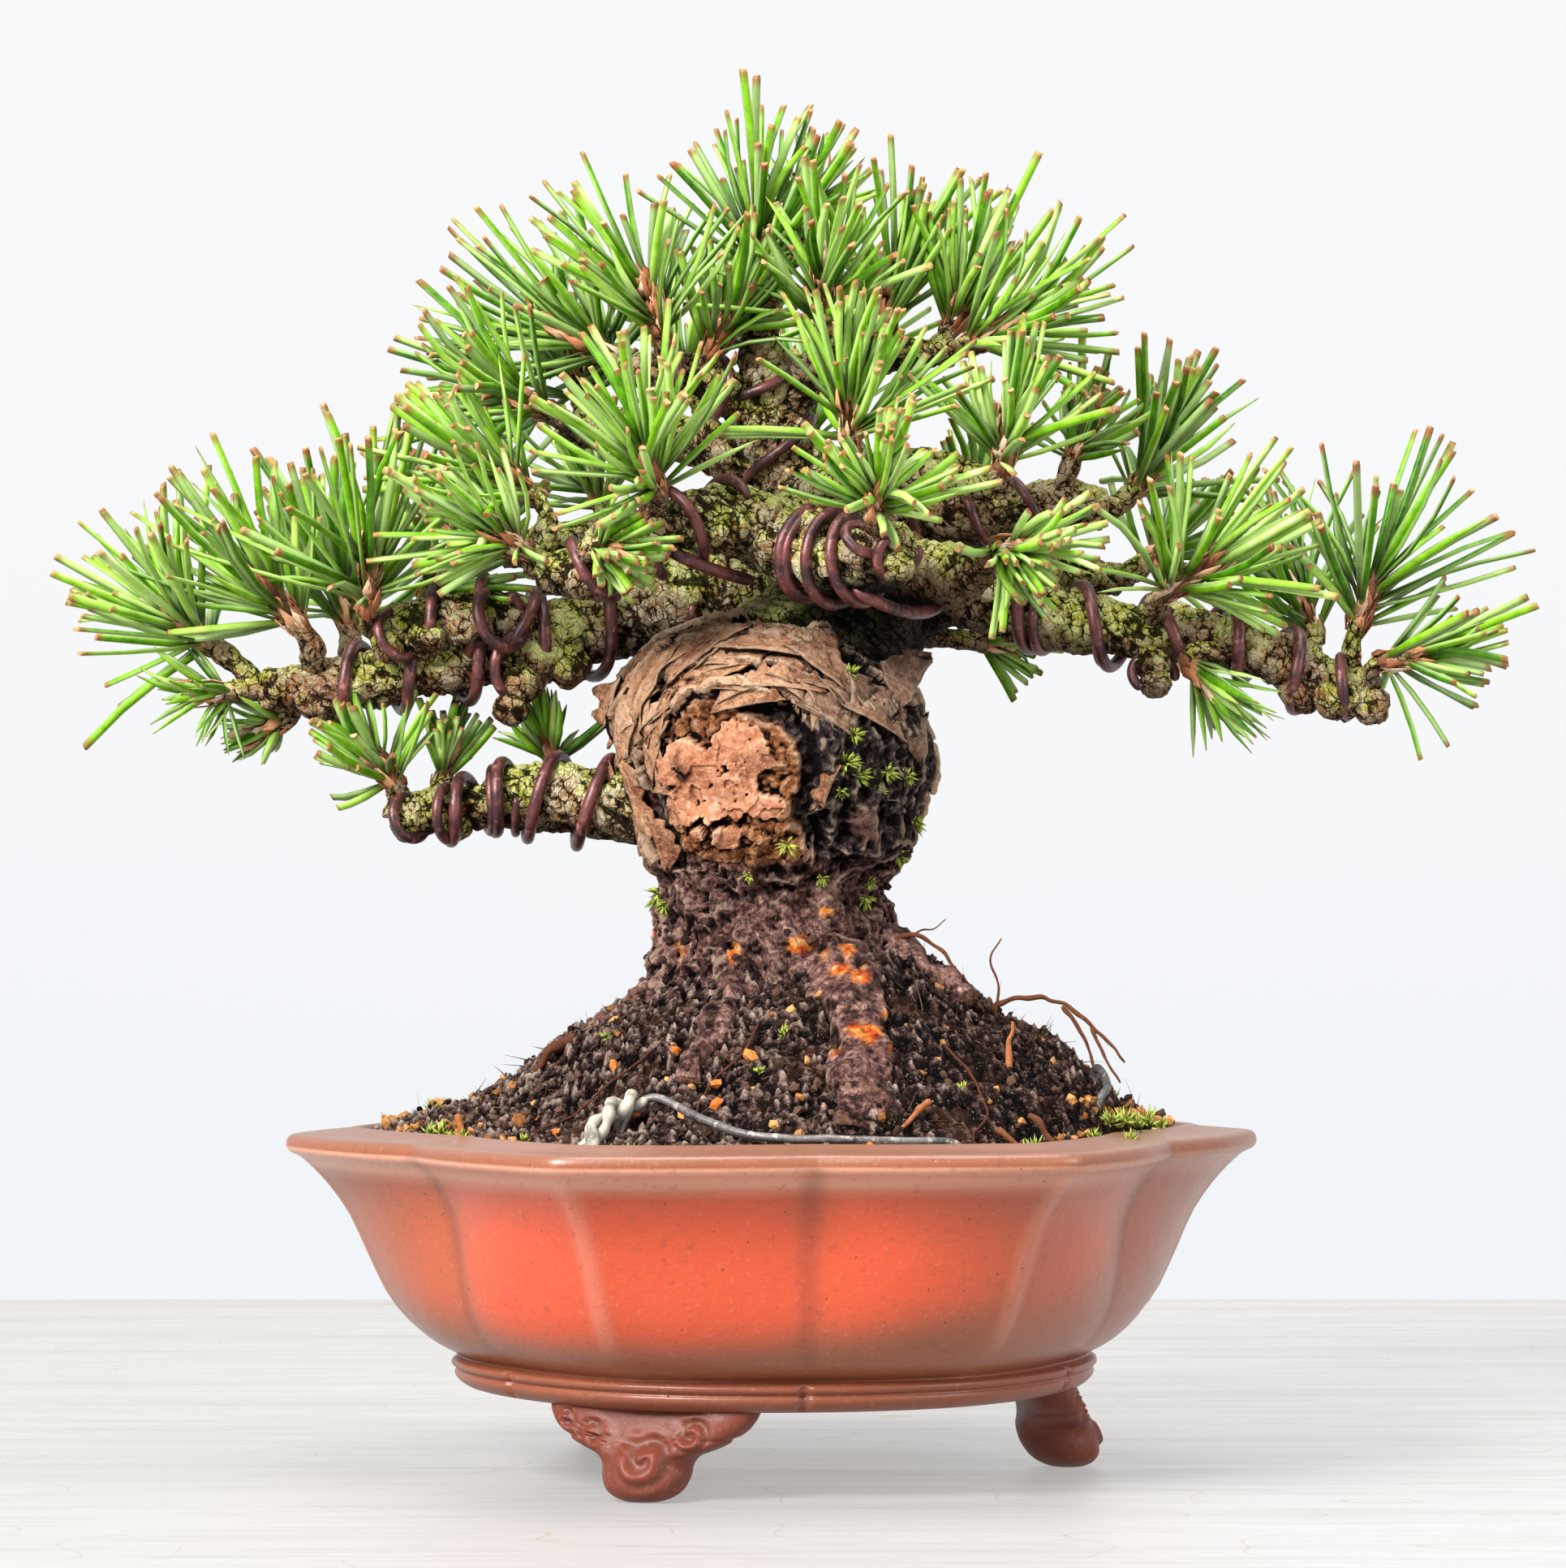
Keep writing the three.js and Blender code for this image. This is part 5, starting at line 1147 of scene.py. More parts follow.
def shard_part(row, number):
    """A torn plate that follows the burl: its free edge lifts by the square of the distance across, and its
    outline wanders with noise."""
    middle_x, middle_z, length, width, turn, lift, grey = row
    fine = length > 6
    steps_along, steps_across = (30, 10) if fine else (12, 5)
    u, v = np.meshgrid(np.linspace(-0.5, 0.5, steps_along), np.linspace(0, 1, steps_across), indexing="ij")
    at = np.stack([u * length, 0 * u, 0 * u + number * 9.7], axis=-1)
    edge = (1 - np.abs(2 * u) ** 5) * (0.85 + 0.4 * noise(at, 2.4, 200) + 0.3 * noise(at, 0.8, 207))
    at = np.stack([v * width, 0 * v, u * 0 + number * 5.1], axis=-1)
    along = u * length * (1 + 0.18 * noise(at, 1.3, 201) + 0.12 * noise(at, 0.5, 208))
    across = (v * edge.clip(0.06) - 0.5) * width + 0.1 * length * (0.25 - u * u)
    turn = math.radians(turn)
    x = middle_x + along * math.cos(turn) - across * math.sin(turn)
    z = middle_z + along * math.sin(turn) + across * math.cos(turn)
    base = np.stack([x, burl_front(x, z), z], axis=-1)
    out = unit(base - BURL_MIDDLE)
    height = 0.55 + lift * (1 - v) ** 2 + 0.3 * noise(base, 2.4, 202) + 0.22 * noise(base, 0.9, 203)
    top = base + out * height[..., None]
    under = top - out * SHARD_THICKNESS
    tone = 0.5 + 0.5 * noise(base, 6, 204 + number)
    sides = {
        "shard": (tone, tone), "grey": (0 * v + grey, 0 * v + grey), "edge": (0.9 * (v < 0.07), 0 * v),
        "cavity": (0.3 * noise(base, 1.1, 209), 0 * v + 0.5), "ring_out": (across + number, across + number),
        "ring_round": (along, along),
    }
    shades = {key: np.concatenate(values, axis=1) for key, values in sides.items()}
    return closed_rings(np.concatenate([top, under[:, ::-1]], axis=1), shades)


shard_parts = [shard_part(row, number) for number, row in enumerate(SHARDS)]
make_piece("bark_shards", joined(shard_parts, TRUNK_SHADES), old_bark)


# The limbs and twigs: thinner, knobbly with old needle scars, and overgrown with olive moss on top.
LIMBS = {
    "leader": [
        (2, 0, 104, 13), (9, 4, 111, 10.5), (12, 6, 117, 9), (8.5, 7, 124, 7), (3.5, 6.5, 131, 5.4),
        (-0.5, 5, 140, 4), (-1.8, 3, 149, 3), (-2, 1, 156.6, 2.2),
    ],
    "left": [
        (9, 5, 116, 6.8), (-3, 7, 118, 6.4), (-13.5, 6, 116.5, 5.6), (-25.5, 3, 112, 4.8),
        (-34, 1, 109.5, 4.5), (-43, 0, 107.5, 4.1), (-52.5, 0, 105.8, 3.5), (-62, 0, 104, 3),
        (-69, 0, 104.5, 2.3),
    ],
    "left_upper": [(-31, 1, 111, 4), (-38, -2, 113.5, 3.7), (-46, -3, 112.6, 3.3), (-54, -3, 111.5, 2.6)],
    "left_low": [
        (-12, -3, 90, 5.6), (-20, -3, 88.6, 5), (-27, -2.5, 89.2, 4.4), (-34, -2, 89.6, 4),
        (-39, -2, 88.8, 2.8), (-45, -2, 87.6, 2.8), (-50, -2.5, 87.2, 2.5),
    ],
    "left_low_stub": [(-43, -2, 87.8, 2.6), (-42.2, -3.5, 84.4, 2.2)],
    "left_low_tip": [(-47, -2, 87.4, 2.4), (-50.4, -3.5, 85, 2.1)],
    "front_stem": [(9, 2, 119, 6.6), (4, -5, 122.4, 5.8), (-0.6, -11, 124.4, 5)],
    "front_left": [
        (0, -10, 124, 4.8), (-5, -13.4, 125.8, 4.2), (-12, -16, 125.4, 3.9), (-19, -18, 121.8, 3.6),
        (-25, -18, 118.8, 3.2), (-31, -17, 118.8, 2.3),
    ],
    "front_centre": [
        (-1.4, -9.6, 124.4, 4.6), (4, -14.6, 121.6, 4.6), (9.6, -19, 120.2, 4.4), (14.6, -22.6, 120.4, 3.6),
        (15.6, -26.6, 122.2, 2.4),
    ],
    "front_right": [(13, 3, 118, 6), (19, -6, 119, 4.4), (24, -14, 118.6, 3.4), (27, -20, 119.4, 2.3)],
    "right": [
        (12, 5, 116, 6.8), (21, 4, 117.5, 5.4), (30, 2, 116, 4.2), (38, 0.5, 113.6, 3.7),
        (48, 0, 111.6, 3.4), (57, 0, 111.6, 3.2), (65, 0, 109, 3.2), (72, 0, 105.6, 3.4),
        (79, -0.5, 104.4, 2.5),
    ],
    "right_upper": [
        (6, 7, 127, 4.6), (16, 9, 128, 3.6), (27, 8.6, 127.4, 3), (37, 7.6, 129.4, 2.8),
        (45, 8, 128.4, 2.3),
    ],
    "crown_left": [(0, 5, 137, 3.6), (-6, 2.5, 144, 2.7), (-14, 0.5, 147, 2.3), (-19, 0.5, 146.4, 1.9)],
    "crown_right": [(-1, 5, 141, 3.4), (7, 2.5, 147.4, 2.7), (15, 1.5, 149, 2.4), (22, -0.5, 149, 1.9)],
    "middle_left": [(2, 6.5, 132, 4), (-9, 5, 137, 3), (-19, 3, 139, 2.5), (-27, 1.5, 139, 2)],
    "middle_front": [
        (5, 6, 128, 4.2), (9, -5, 131, 3.2), (15, -11, 132.4, 2.7), (22, -13.5, 132.4, 2.4),
        (29, -15.5, 129.6, 1.9),
    ],
    "back": [(9, 6, 120, 5.6), (6, 17, 124.6, 3.8), (5, 26, 131, 2.8), (5, 30, 136, 2)],
    "back_left": [(4, 8, 122, 4.4), (-10, 16, 124.4, 3.3), (-24, 21, 125.4, 2.7), (-38, 21, 124, 2.1)],
    "back_right": [(12, 8, 120.5, 4.6), (23, 16, 122, 3.3), (36, 20, 121.4, 2.7), (48, 20, 119.6, 2.1)],
}
# Tufts: base, needle length, spread from the shoot, the shoot's turn in the picture, its lean to the viewer,
# and how bright its green is: partly the shoot's own tone, partly painted light on the front tufts and painted
# shade on those behind
TUFTS = {
    "left_end": ((-75.2, 0, 110), 21.6, 66, 146, 4, 0.75),
    "left_end_low": ((-72.5, -1.5, 103.6), 10.5, 66, 182, 20, 0.6),
    "left_outer": ((-63, -5, 112), 23, 60, 130, 8, 0.65),
    "left_upper_back": ((-57.5, 6, 112), 23.5, 52, 106, -14, 0.25),
    "left_front": ((-54, -8, 114.5), 24.5, 66, 84, 14, 0.55),
    "left_inner": ((-46.5, 2, 117), 16, 66, 46, -4, 0.25),
    "left_under": ((-66, 3, 100), 8.5, 60, 206, 0, 0.5),
    "low_end": ((-50.6, -2, 91.4), 13.5, 70, 128, 8, 0.6),
    "low_upright": ((-44.6, 1.5, 92), 10.5, 52, 78, -16, 0.55),
    "low_inner": ((-29.6, 2, 94.2), 10.5, 58, 104, -14, 0.7),
    "middle_left": ((-31.5, -12, 129), 20, 66, 146, 14, 0.85),
    "front_left_end": ((-32.5, -19.5, 121.6), 15, 66, 152, 24, 0.9),
    "front_left": ((-15.5, -20, 129), 20, 76, 104, 26, 0.95),
    "front_left_low": ((-23.6, -23.8, 121.6), 9.5, 60, -14, 40, 0.95),
    "mid_outer": ((-30, -3, 141), 20, 62, 156, 4, 0.55),
    "mid_upright": ((-26, 6.5, 143), 18, 52, 98, -18, 0.4),
    "crown_outer_left": ((-21.5, 1.5, 148.6), 23.5, 56, 152, -4, 0.55),
    "crown_left": ((-15, -4, 150.6), 21, 64, 108, 12, 0.6),
    "crown_inner_left": ((-8.6, -1.5, 149), 16.5, 52, 62, 10, 0.55),
    "crown_top": ((-2.2, 0.5, 159.6), 22.4, 56, 94, 4, 0.5),
    "crown_bud": ((4.6, 3, 167.5), 12, 56, 76, -6, 0.7),
    "crown_front": ((7, -5, 152), 20, 70, 96, 20, 0.7),
    "crown_right": ((14.6, 4, 152.6), 22.5, 56, 76, -8, 0.55),
    "crown_far_right": ((23.4, 1, 152.4), 19, 56, 62, -4, 0.6),
    "crown_low_right": ((25.4, -4.4, 149.6), 20, 50, 22, 12, 0.7),
    "right_upper": ((40, 5, 135), 13, 76, 66, 10, 0.25),
    "right_upper_end": ((48.5, 9, 131), 19.5, 62, 56, -8, 0.2),
    "right_front": ((51.5, -7, 116.6), 20.5, 72, 32, 24, 0.75),
    "right_under": ((55, -4.4, 107.4), 12.5, 50, -50, 14, 0.55),
    "right_far_upper": ((72.6, 5, 111.5), 20, 48, 108, -18, 0.15),
    "right_end": ((77.6, -2, 112.4), 23.5, 60, 72, 4, 0.25),
    "right_end_low": ((80.4, -4.4, 107.6), 16.4, 60, 8, 14, 0.35),
    "front_low": ((12.8, -30.6, 125.4), 14, 82, 84, 44, 1.0),
    "front_middle": ((10, -17, 135.4), 18.5, 72, 92, 26, 0.9),
    "front_right": ((29.6, -18, 132.6), 16, 60, 80, 16, 0.85),
    "front_right_low": ((28.6, -23.6, 121.4), 12.5, 74, -4, 40, 0.95),
    "right_back_low": ((27.5, 11, 111), 9.5, 52, -8, -26, 0.5),
    "back_left_end": ((-42, 22.5, 125.6), 19, 60, 146, -44, 0.45),
    "back_left": ((-24, 25, 129.6), 18.5, 66, 110, -44, 0.45),
    "back_middle": ((4.6, 32, 139), 18.5, 66, 92, -40, 0.5),
    "back_right": ((27, 21.6, 127.4), 17.5, 66, 74, -48, 0.5),
    "back_right_end": ((51, 22.4, 122.4), 18.5, 60, 36, -40, 0.45),
    "back_low": ((12, 27.4, 124), 14, 62, 20, -66, 0.5),
    "crown_back_left": ((-10.5, 12, 144.5), 19, 60, 118, -40, 0.45),
    "crown_back_right": ((10, 13, 148.5), 18.5, 60, 70, -40, 0.45),
}
LIMB_SIDES = 36
TWIG_SIDES = 18
TWIG_ROOT = 1.9
TWIG_TIP = 1.3
BARK_OVER_SOLID = 0.3
LIMB_STEP = 0.5


def limb_hint(run):
    """Where a tube that runs this way starts its rings: on top, or in front on one that stands."""
    return (0, -1, 0) if abs(run[2]) > 0.8 else (0, 0, 1)


def line_hint(line):
    return limb_hint(unit(line[-1] - line[0]))


def square_to(direction):
    """Two directions square to this one and to each other, the first on the hint's side."""
    hint = np.array(limb_hint(direction))
    first = unit(hint - (hint @ direction) * direction)
    return first, np.cross(direction, first)


def shoot_direction(turn, lean):
    """From a turn in the picture, 0 to the right and 90 up, and a lean towards the viewer."""
    turn, lean = math.radians(turn), math.radians(lean)
    return np.array([math.cos(lean) * math.cos(turn), -math.sin(lean), math.cos(lean) * math.sin(turn)])


def knobbly(rings, centres, radius, seed):
    """Pushes a tube's rings out and in by lumps, by knobs with cracks between them and by fine scales."""
    out = unit(rings - centres[:, None])
    size = np.minimum(radius / 3.2, 1)[:, None]
    bent = warped(rings, 1.6, 0.5, seed + 11)
    near, gap, knob = cells(bent, 2.3, seed)
    scale, scale_gap, flake = cells(bent, 1.0, seed + 7)
    crack = 1 - ease(gap, 0.02, 0.16)
    lumps = 0.95 * noise(rings, 4, seed) + 0.55 * (0.5 - near) + 0.4 * (knob - 0.5) - 0.3 * crack
    height = size * lumps + 0.35 * (0.45 - scale) + 0.16 * (flake - 0.5) + 0.1 * noise(rings, 0.5, seed + 1)
    hollow = 0.5 * crack + 0.35 * (1 - ease(scale_gap, 0.03, 0.2)) - 0.7 * height
    return rings + out * height[..., None], hollow, 0.4 * knob + 0.6 * flake


def bark_shades(rings, centres, radius, hollow, knob):
    """What the limbs' material reads: hollows for painted shade, sides that face up, thin wood, each knob's
    tone, and the painted shadow in the hollow behind the burl."""
    up = unit(rings - centres[:, None])[..., 2]
    x, y, z = (rings[..., k] for k in range(3))
    gloom = (1 - ease(np.hypot(x - 12, (z - 110) * 1.7), 11, 14.5)) * (1 - ease(y, 4, 10))
    rows = {
        "cavity": hollow, "top": up, "thin": np.broadcast_to(1 - ease(radius, 2.2, 6)[:, None], up.shape),
        "knob": knob, "gloom": gloom,
    }
    return {key: np.concatenate([values.ravel(), values.ravel()[:2]]) for key, values in rows.items()}


def limb_part(rows, number):
    """One limb: a tube through its rows with a ring about every half millimetre."""
    length = np.linalg.norm(np.diff(np.array(rows)[:, :3], axis=0), axis=1).sum()
    line = spline(rows, max(10, int(length / LIMB_STEP)))
    centres, radius = line[:, :3], line[:, 3]
    rings = tube(centres, (radius + BARK_OVER_SOLID)[:, None], LIMB_SIDES, line_hint(centres))
    rings, hollow, knob = knobbly(rings, centres, radius, 100 + 20 * number)
    rings[-1] = centres[-1] + (rings[-1] - centres[-1]) * 0.7
    points, faces, _ = closed_rings(rings)
    return points, faces, bark_shades(rings, centres, radius, hollow, knob)


LIMB_LINES = [spline(rows, 25) for rows in LIMBS.values()]


def twig_part(place, direction, number):
    """A twig leaves the nearest limb, rather one below the tuft, and bends into the shoot's own
    direction."""
    starts = np.vstack([line[1:] for line in LIMB_LINES])
    place = np.array(place, float)
    run = np.linalg.norm(starts[:, :3] - place, axis=1) - starts[:, 3]
    run = run + 2 * np.maximum(0, starts[:, 2] - place[2])
    start = starts[np.argmin(run), :3]
    length = np.linalg.norm(place - start)
    corners = [
        start, start + 0.3 * (place - start), place - 0.4 * length * direction, place + 1.2 * direction,
    ]
    t = np.linspace(0, 1, max(10, int(length / LIMB_STEP)))[:, None]
    line = (1 - t) ** 3 * corners[0] + 3 * (1 - t) ** 2 * t * corners[1] + 3 * (1 - t) * t**2 * corners[2]
    line = line + t**3 * corners[3]
    radius = (TWIG_ROOT + (TWIG_TIP - TWIG_ROOT) * t[:, 0]) * (1 + 0.12 * np.sin(9 * t[:, 0] + number))
    rings = tube(line, radius[:, None], TWIG_SIDES, limb_hint(direction))
    rings, hollow, knob = knobbly(rings, line, radius, 600 + 20 * number)
    points, faces, _ = closed_rings(rings)
    return points, faces, bark_shades(rings, line, radius, hollow, knob)


def limb_finish():
    """Tan and grey-brown scaly bark, black in its cracks and hollows with painted shade, darker underneath
    with painted shade and near black with painted shadow in the hollow behind the burl, with olive to
    yellow-green moss where it faces up."""
    bark = Finish("mossy_bark")
    fine = bark.noise(1.2, 7, 0.72, gain=1.9)
    broad = bark.noise(0.11, 4, 0.6)
    gaps = bark.cracks(0.6, 0.09) + bark.cracks(1.5, 0.12) * 0.45
    tone = bark.shade("knob") * 0.22 + fine * 0.75 - bark.shade("cavity") * 0.16 + 0.19
    body = bark.ramp(tone, (0.2, 30, 16, 6), (0.36, 146, 106, 58), (0.52, 232, 186, 122),
                     (0.72, 255, 242, 204))
    body = bark.coats(body, [
        (bark.step(bark.shade("thin"), 0.3, 1) * 0.35, (178, 112, 68)),
        (bark.step(bark.noise(0.1, 3), 0.5, 0.62) * bark.step(fine, 0.9, 0.4) * 0.75, (156, 88, 52)),
    ])
    moss = bark.ramp(tone, (0.2, 38, 42, 2), (0.36, 136, 146, 18), (0.52, 208, 214, 54),
                     (0.72, 250, 252, 160))
    mossy = bark.step(bark.shade("top") * 0.2 + broad * 1.7 + fine * 0.16, 0.84, 1.12)
    body = bark.coats(body, [
        (mossy * 0.85, moss),
        # Painted shade: black in cracks and hollows, darker underneath, near black in the hollow behind the
        # burl.
        (bark.step(bark.shade("cavity") + gaps * 0.75, 0.46, 1.05) * 0.94, (18, 9, 4)),
        (bark.step(bark.shade("top"), -0.1, -0.9) * 0.6, (34, 20, 14)),
        (bark.shade("gloom") * 0.93, bark.blend(bark.step(fine, 0.5, 1.0), (2, 2, 2), (36, 30, 28))),
    ])
    bark.surface(body, 0.55 + gaps * 0.25, fine * 0.8 - gaps * 0.9, 0.6, 0.08)
    return bark


LUMP_RINGS = 11
LUMP_SIDES = 17


def lump_part(centre, reach, axis, number):
    """A knob of old bark on a limb: a ball under the same relief, darker with painted shade towards the limb's
    own line.
    """
    fall = np.linspace(0.12, math.pi - 0.12, LUMP_RINGS)[:, None]
    around = np.linspace(0, 2 * math.pi, LUMP_SIDES, endpoint=False)[None, :]
    ball = [np.sin(fall) * np.cos(around), np.sin(fall) * np.sin(around), np.cos(fall) + 0 * around]
    rings = centre + reach * np.stack(ball, axis=-1)
    middles = np.broadcast_to(centre, (LUMP_RINGS, 3))
    rings, hollow, knob = knobbly(rings, middles, np.full(LUMP_RINGS, reach), 900 + number)
    points, faces, _ = closed_rings(rings)
    inwards = 1 - ease(np.linalg.norm(rings - axis, axis=-1), 0.7 * reach, 1.7 * reach)
    return points, faces, bark_shades(rings, middles, np.full(LUMP_RINGS, 2.5), hollow + 0.7 * inwards, knob)


def lumps_on(rows, number):
    """Knobs along a limb, set to one side or another, each about half as thick as the limb."""
    draw = np.random.default_rng(4000 + number)
    line = spline(rows, 801)
    far = np.concatenate([[0], np.linalg.norm(np.diff(line[:, :3], axis=0), axis=1).cumsum()])
    parts, at = [], 4.0
    while at < far[-1] - 1:
        x, y, z, radius = (np.interp(at, far, line[:, k]) for k in range(4))
        side = unit(draw.normal(size=3) + [0, -0.5, -0.1])
        reach = radius * draw.uniform(0.5, 0.74)
        axis = np.array([x, y, z])
        middle = axis + side * (radius * 1.12 - 0.6 * reach)
        parts.append(lump_part(middle, reach, axis, len(parts) + 40 * number))
        at += radius * draw.uniform(1.1, 2.2)
    return parts


mossy_bark = limb_finish()
directions = {name: shoot_direction(row[3], row[4]) for name, row in TUFTS.items()}
limb_parts = [limb_part(rows, number) for number, rows in enumerate(LIMBS.values())]
twig_parts = [twig_part(row[0], directions[name], number) for number, (name, row) in enumerate(TUFTS.items())]
make_piece("limb_bark", joined(limb_parts + twig_parts), mossy_bark, ["pine"], True)
PLAIN_LIMBS = {"leader", "back", "back_left", "back_right", "crown_left", "crown_right", "middle_left"}
# Stubs of limbs that were cut off, and one that hangs under the right limb: middle and reach
STUB_KNOBS = [
    (-34, -3.6, 104.6, 3.1), (-35.2, -4.2, 101.4, 2.7), (-27.4, -2, 107, 3), (-21, -19.4, 122.6, 3),
    (50.2, -3.6, 107.2, 2.7), (50.6, -4, 105.2, 2.2), (-46.6, -6.2, 110.6, 2.9), (-40.4, -6, 112.2, 3),
    (-51.4, -5.6, 109.6, 2.4), (11.6, -24.4, 121.2, 3.2), (15.4, -25, 119.4, 2.8), (75.4, -2.6, 102.8, 3.2),
    (79.8, -2, 101.8, 2.6), (70.6, -2, 103.4, 2.8), (-61, -2.6, 102.4, 2.6), (-24.6, -20, 117.4, 2.6),
    (2.6, -17.6, 121.4, 3), (-7.6, -17.4, 123.6, 2.8),
]
knob_parts = []
for number, (name, rows) in enumerate(LIMBS.items()):
    if name not in PLAIN_LIMBS:
        knob_parts += lumps_on(rows, number)
for number, (x, y, z, reach) in enumerate(STUB_KNOBS):
    middle = np.array([x, y, z])
    knob_parts.append(lump_part(middle, reach, middle + [0, 3.5, 1], 800 + number))
make_piece("limb_knobs", joined(knob_parts), mossy_bark, hard=True)


# Training wire: annealed copper-brown aluminium, wound round the limbs in open turns to hold their bends.
# Rows: limb, share of its length at either end, turns, the wire's radius, and the turn at which it starts
WIRE_SLACK = 0.45
STEPS_A_TURN = 44
LINE_STEPS = 800
WIRES = {
    "wire_left": ("left", 0.24, 0.86, -5.4, 0.85, 0.7167),
    "wire_left_low": ("left_low", 0.16, 0.86, -4.2, 0.85, 0.35),
    "wire_front_left": ("front_left", 0.22, 0.84, 3.2, 0.8, 0.833),
    "wire_front_centre": ("front_centre", 0.2, 0.62, 3.2, 0.8, 0.7),
    "wire_right": ("right", 0.22, 0.9, 5.2, 0.85, 0.6),
    "wire_leader": ("leader", 0.56, 0.9, 2.6, 0.7, 0.167),
}


def winding(limb, begin, end, turns, radius, start):
    """A line round a limb: a circle of the limb's radius and the wire's own, turned as it goes along."""
    rows = LIMBS[limb]
    steps = int(abs(turns) * STEPS_A_TURN)
    fine = spline(rows, LINE_STEPS + 1)
    place = np.linspace(begin, end, steps) * LINE_STEPS
    axis = np.column_stack([np.interp(place, np.arange(LINE_STEPS + 1), fine[:, k]) for k in range(4)])
    centres, reach = axis[:, :3], axis[:, 3] + radius + WIRE_SLACK
    tangent = unit(np.gradient(centres, axis=0))
    hint = np.array(line_hint(fine[:, :3]), float)
    first = unit(hint - (tangent @ hint)[:, None] * tangent)
    second = np.cross(tangent, first)
    turn = 2 * np.pi * (turns * np.linspace(0, 1, steps) + start)
    swell = (reach * (1 + 0.03 * np.sin(turn * 1.7)))[:, None]
    outwards = first * np.cos(turn)[:, None] + second * np.sin(turn)[:, None]
    return centres + swell * outwards, outwards


brown_wire = wire_finish("annealed_wire", (58, 32, 36), (122, 66, 62), (188, 122, 112), 0.2, 0.22)
for name, row in WIRES.items():
    line, outwards = winding(*row)
    wire = closed_rings(tube(line, row[4] * rounded_ends(len(line)), 12, outwards))
    make_piece(name + "_drawn", wire, brown_wire, [name])

# Shorter ends of wire on the limbs behind, and two strands that cross in front above the burl
SHORT_WINDINGS = [
    ("left_upper", 0.12, 0.72, -2.6, 0.8, 0.1), ("left_low", 0.5, 0.8, -2.4, 0.6, 0.75),
    ("right", 0.3, 0.46, 1.6, 0.7, 0.9), ("front_centre", 0.26, 0.5, 2.2, 0.62, 0.9),
    ("right_upper", 0.3, 0.8, 2.6, 0.7, 0.2), ("crown_left", 0.3, 0.8, 2, 0.6, 0.4),
]
CROSSING_STRANDS = [
    [(-15, -17.4, 122.8), (-12.6, -18.4, 121), (-9.4, -17.6, 119.6), (-6, -15, 118.6), (-3, -11, 118)],
    [(10, -21.6, 116.4), (13.6, -21, 114.6), (17, -18, 113.6), (20, -14, 113.8), (22, -10, 115)],
]
STRAND_RADIUS = 0.85
strands = []
for row in SHORT_WINDINGS:
    line, outwards = winding(*row)
    strands.append(closed_rings(tube(line, row[4] * rounded_ends(len(line)), 10, outwards)))
for rows in CROSSING_STRANDS:
    line = spline(rows, 40)
    strands.append(closed_rings(tube(line, STRAND_RADIUS * rounded_ends(len(line)), 12, (0, 0, 1))))
# Loops that stand off the knobs: middle, reach, the way they face (turn and lean), start and end of the arc,
# and the wire's radius
LOOP_STEPS = 60
WIRE_LOOPS = [
    ((-36.4, -6.4, 113.2), 4, 20, 40, -60, 250, 0.85), ((-33.8, -4, 107), 4.3, -10, 50, -130, 130, 0.75),
    ((-43.6, -3.4, 87.4), 3.5, 0, 20, -170, 150, 0.7), ((-48.6, -4, 86.8), 2.9, 20, 40, -150, 190, 0.7),
    ((50.4, -4, 106), 2.9, 80, 60, -190, 60, 0.7), ((11.6, -25.4, 122.6), 2.7, 60, 40, -160, 140, 0.7),
    ((15.8, -26.4, 120.6), 3, -40, 50, -60, 220, 0.7), ((-22, -20, 121), 3.6, 10, 10, -90, 200, 0.75),
    ((76, -1.4, 104.4), 3.9, 4, 10, -120, 160, 0.8), ((-50, -6, 111), 3.3, 30, 40, -140, 130, 0.7),
]
for middle, reach, turn, lean, begin, end, radius in WIRE_LOOPS:
    facing = shoot_direction(turn, lean)
    first = unit(np.cross(facing, [0.1, 0.2, 1]))
    angle = np.radians(np.linspace(begin, end, LOOP_STEPS))[:, None]
    line = middle + reach * (np.cos(angle) * first + np.sin(angle) * np.cross(facing, first))
    line = line + 0.02 * reach * angle * facing
    strands.append(closed_rings(tube(line, radius * rounded_ends(LOOP_STEPS), 10, facing)))
make_piece("short_wires", joined(strands), brown_wire)


# The tufts: pairs of stiff needles in a papery sheath, set in a spiral on each bud. Most were clipped
# straight across, so that they end blunt with a dry tan cut. Young shoots keep their points.
NEEDLE_WIDTH = 1.18
NEEDLE_RINGS = np.array([0, 0.34, 0.68, 0.975, 1])
GOLDEN_ANGLE = math.radians(137.508)
# Half a needle's width across and its thickness, round a half-round section
NEEDLE_SECTION = np.array([(-0.5, 0), (-0.34, 0.36), (0, 0.5), (0.34, 0.36), (0.5, 0)])
YOUNG_TUFTS = {"crown_bud", "left_end_low", "left_under", "right_under", "low_inner"}


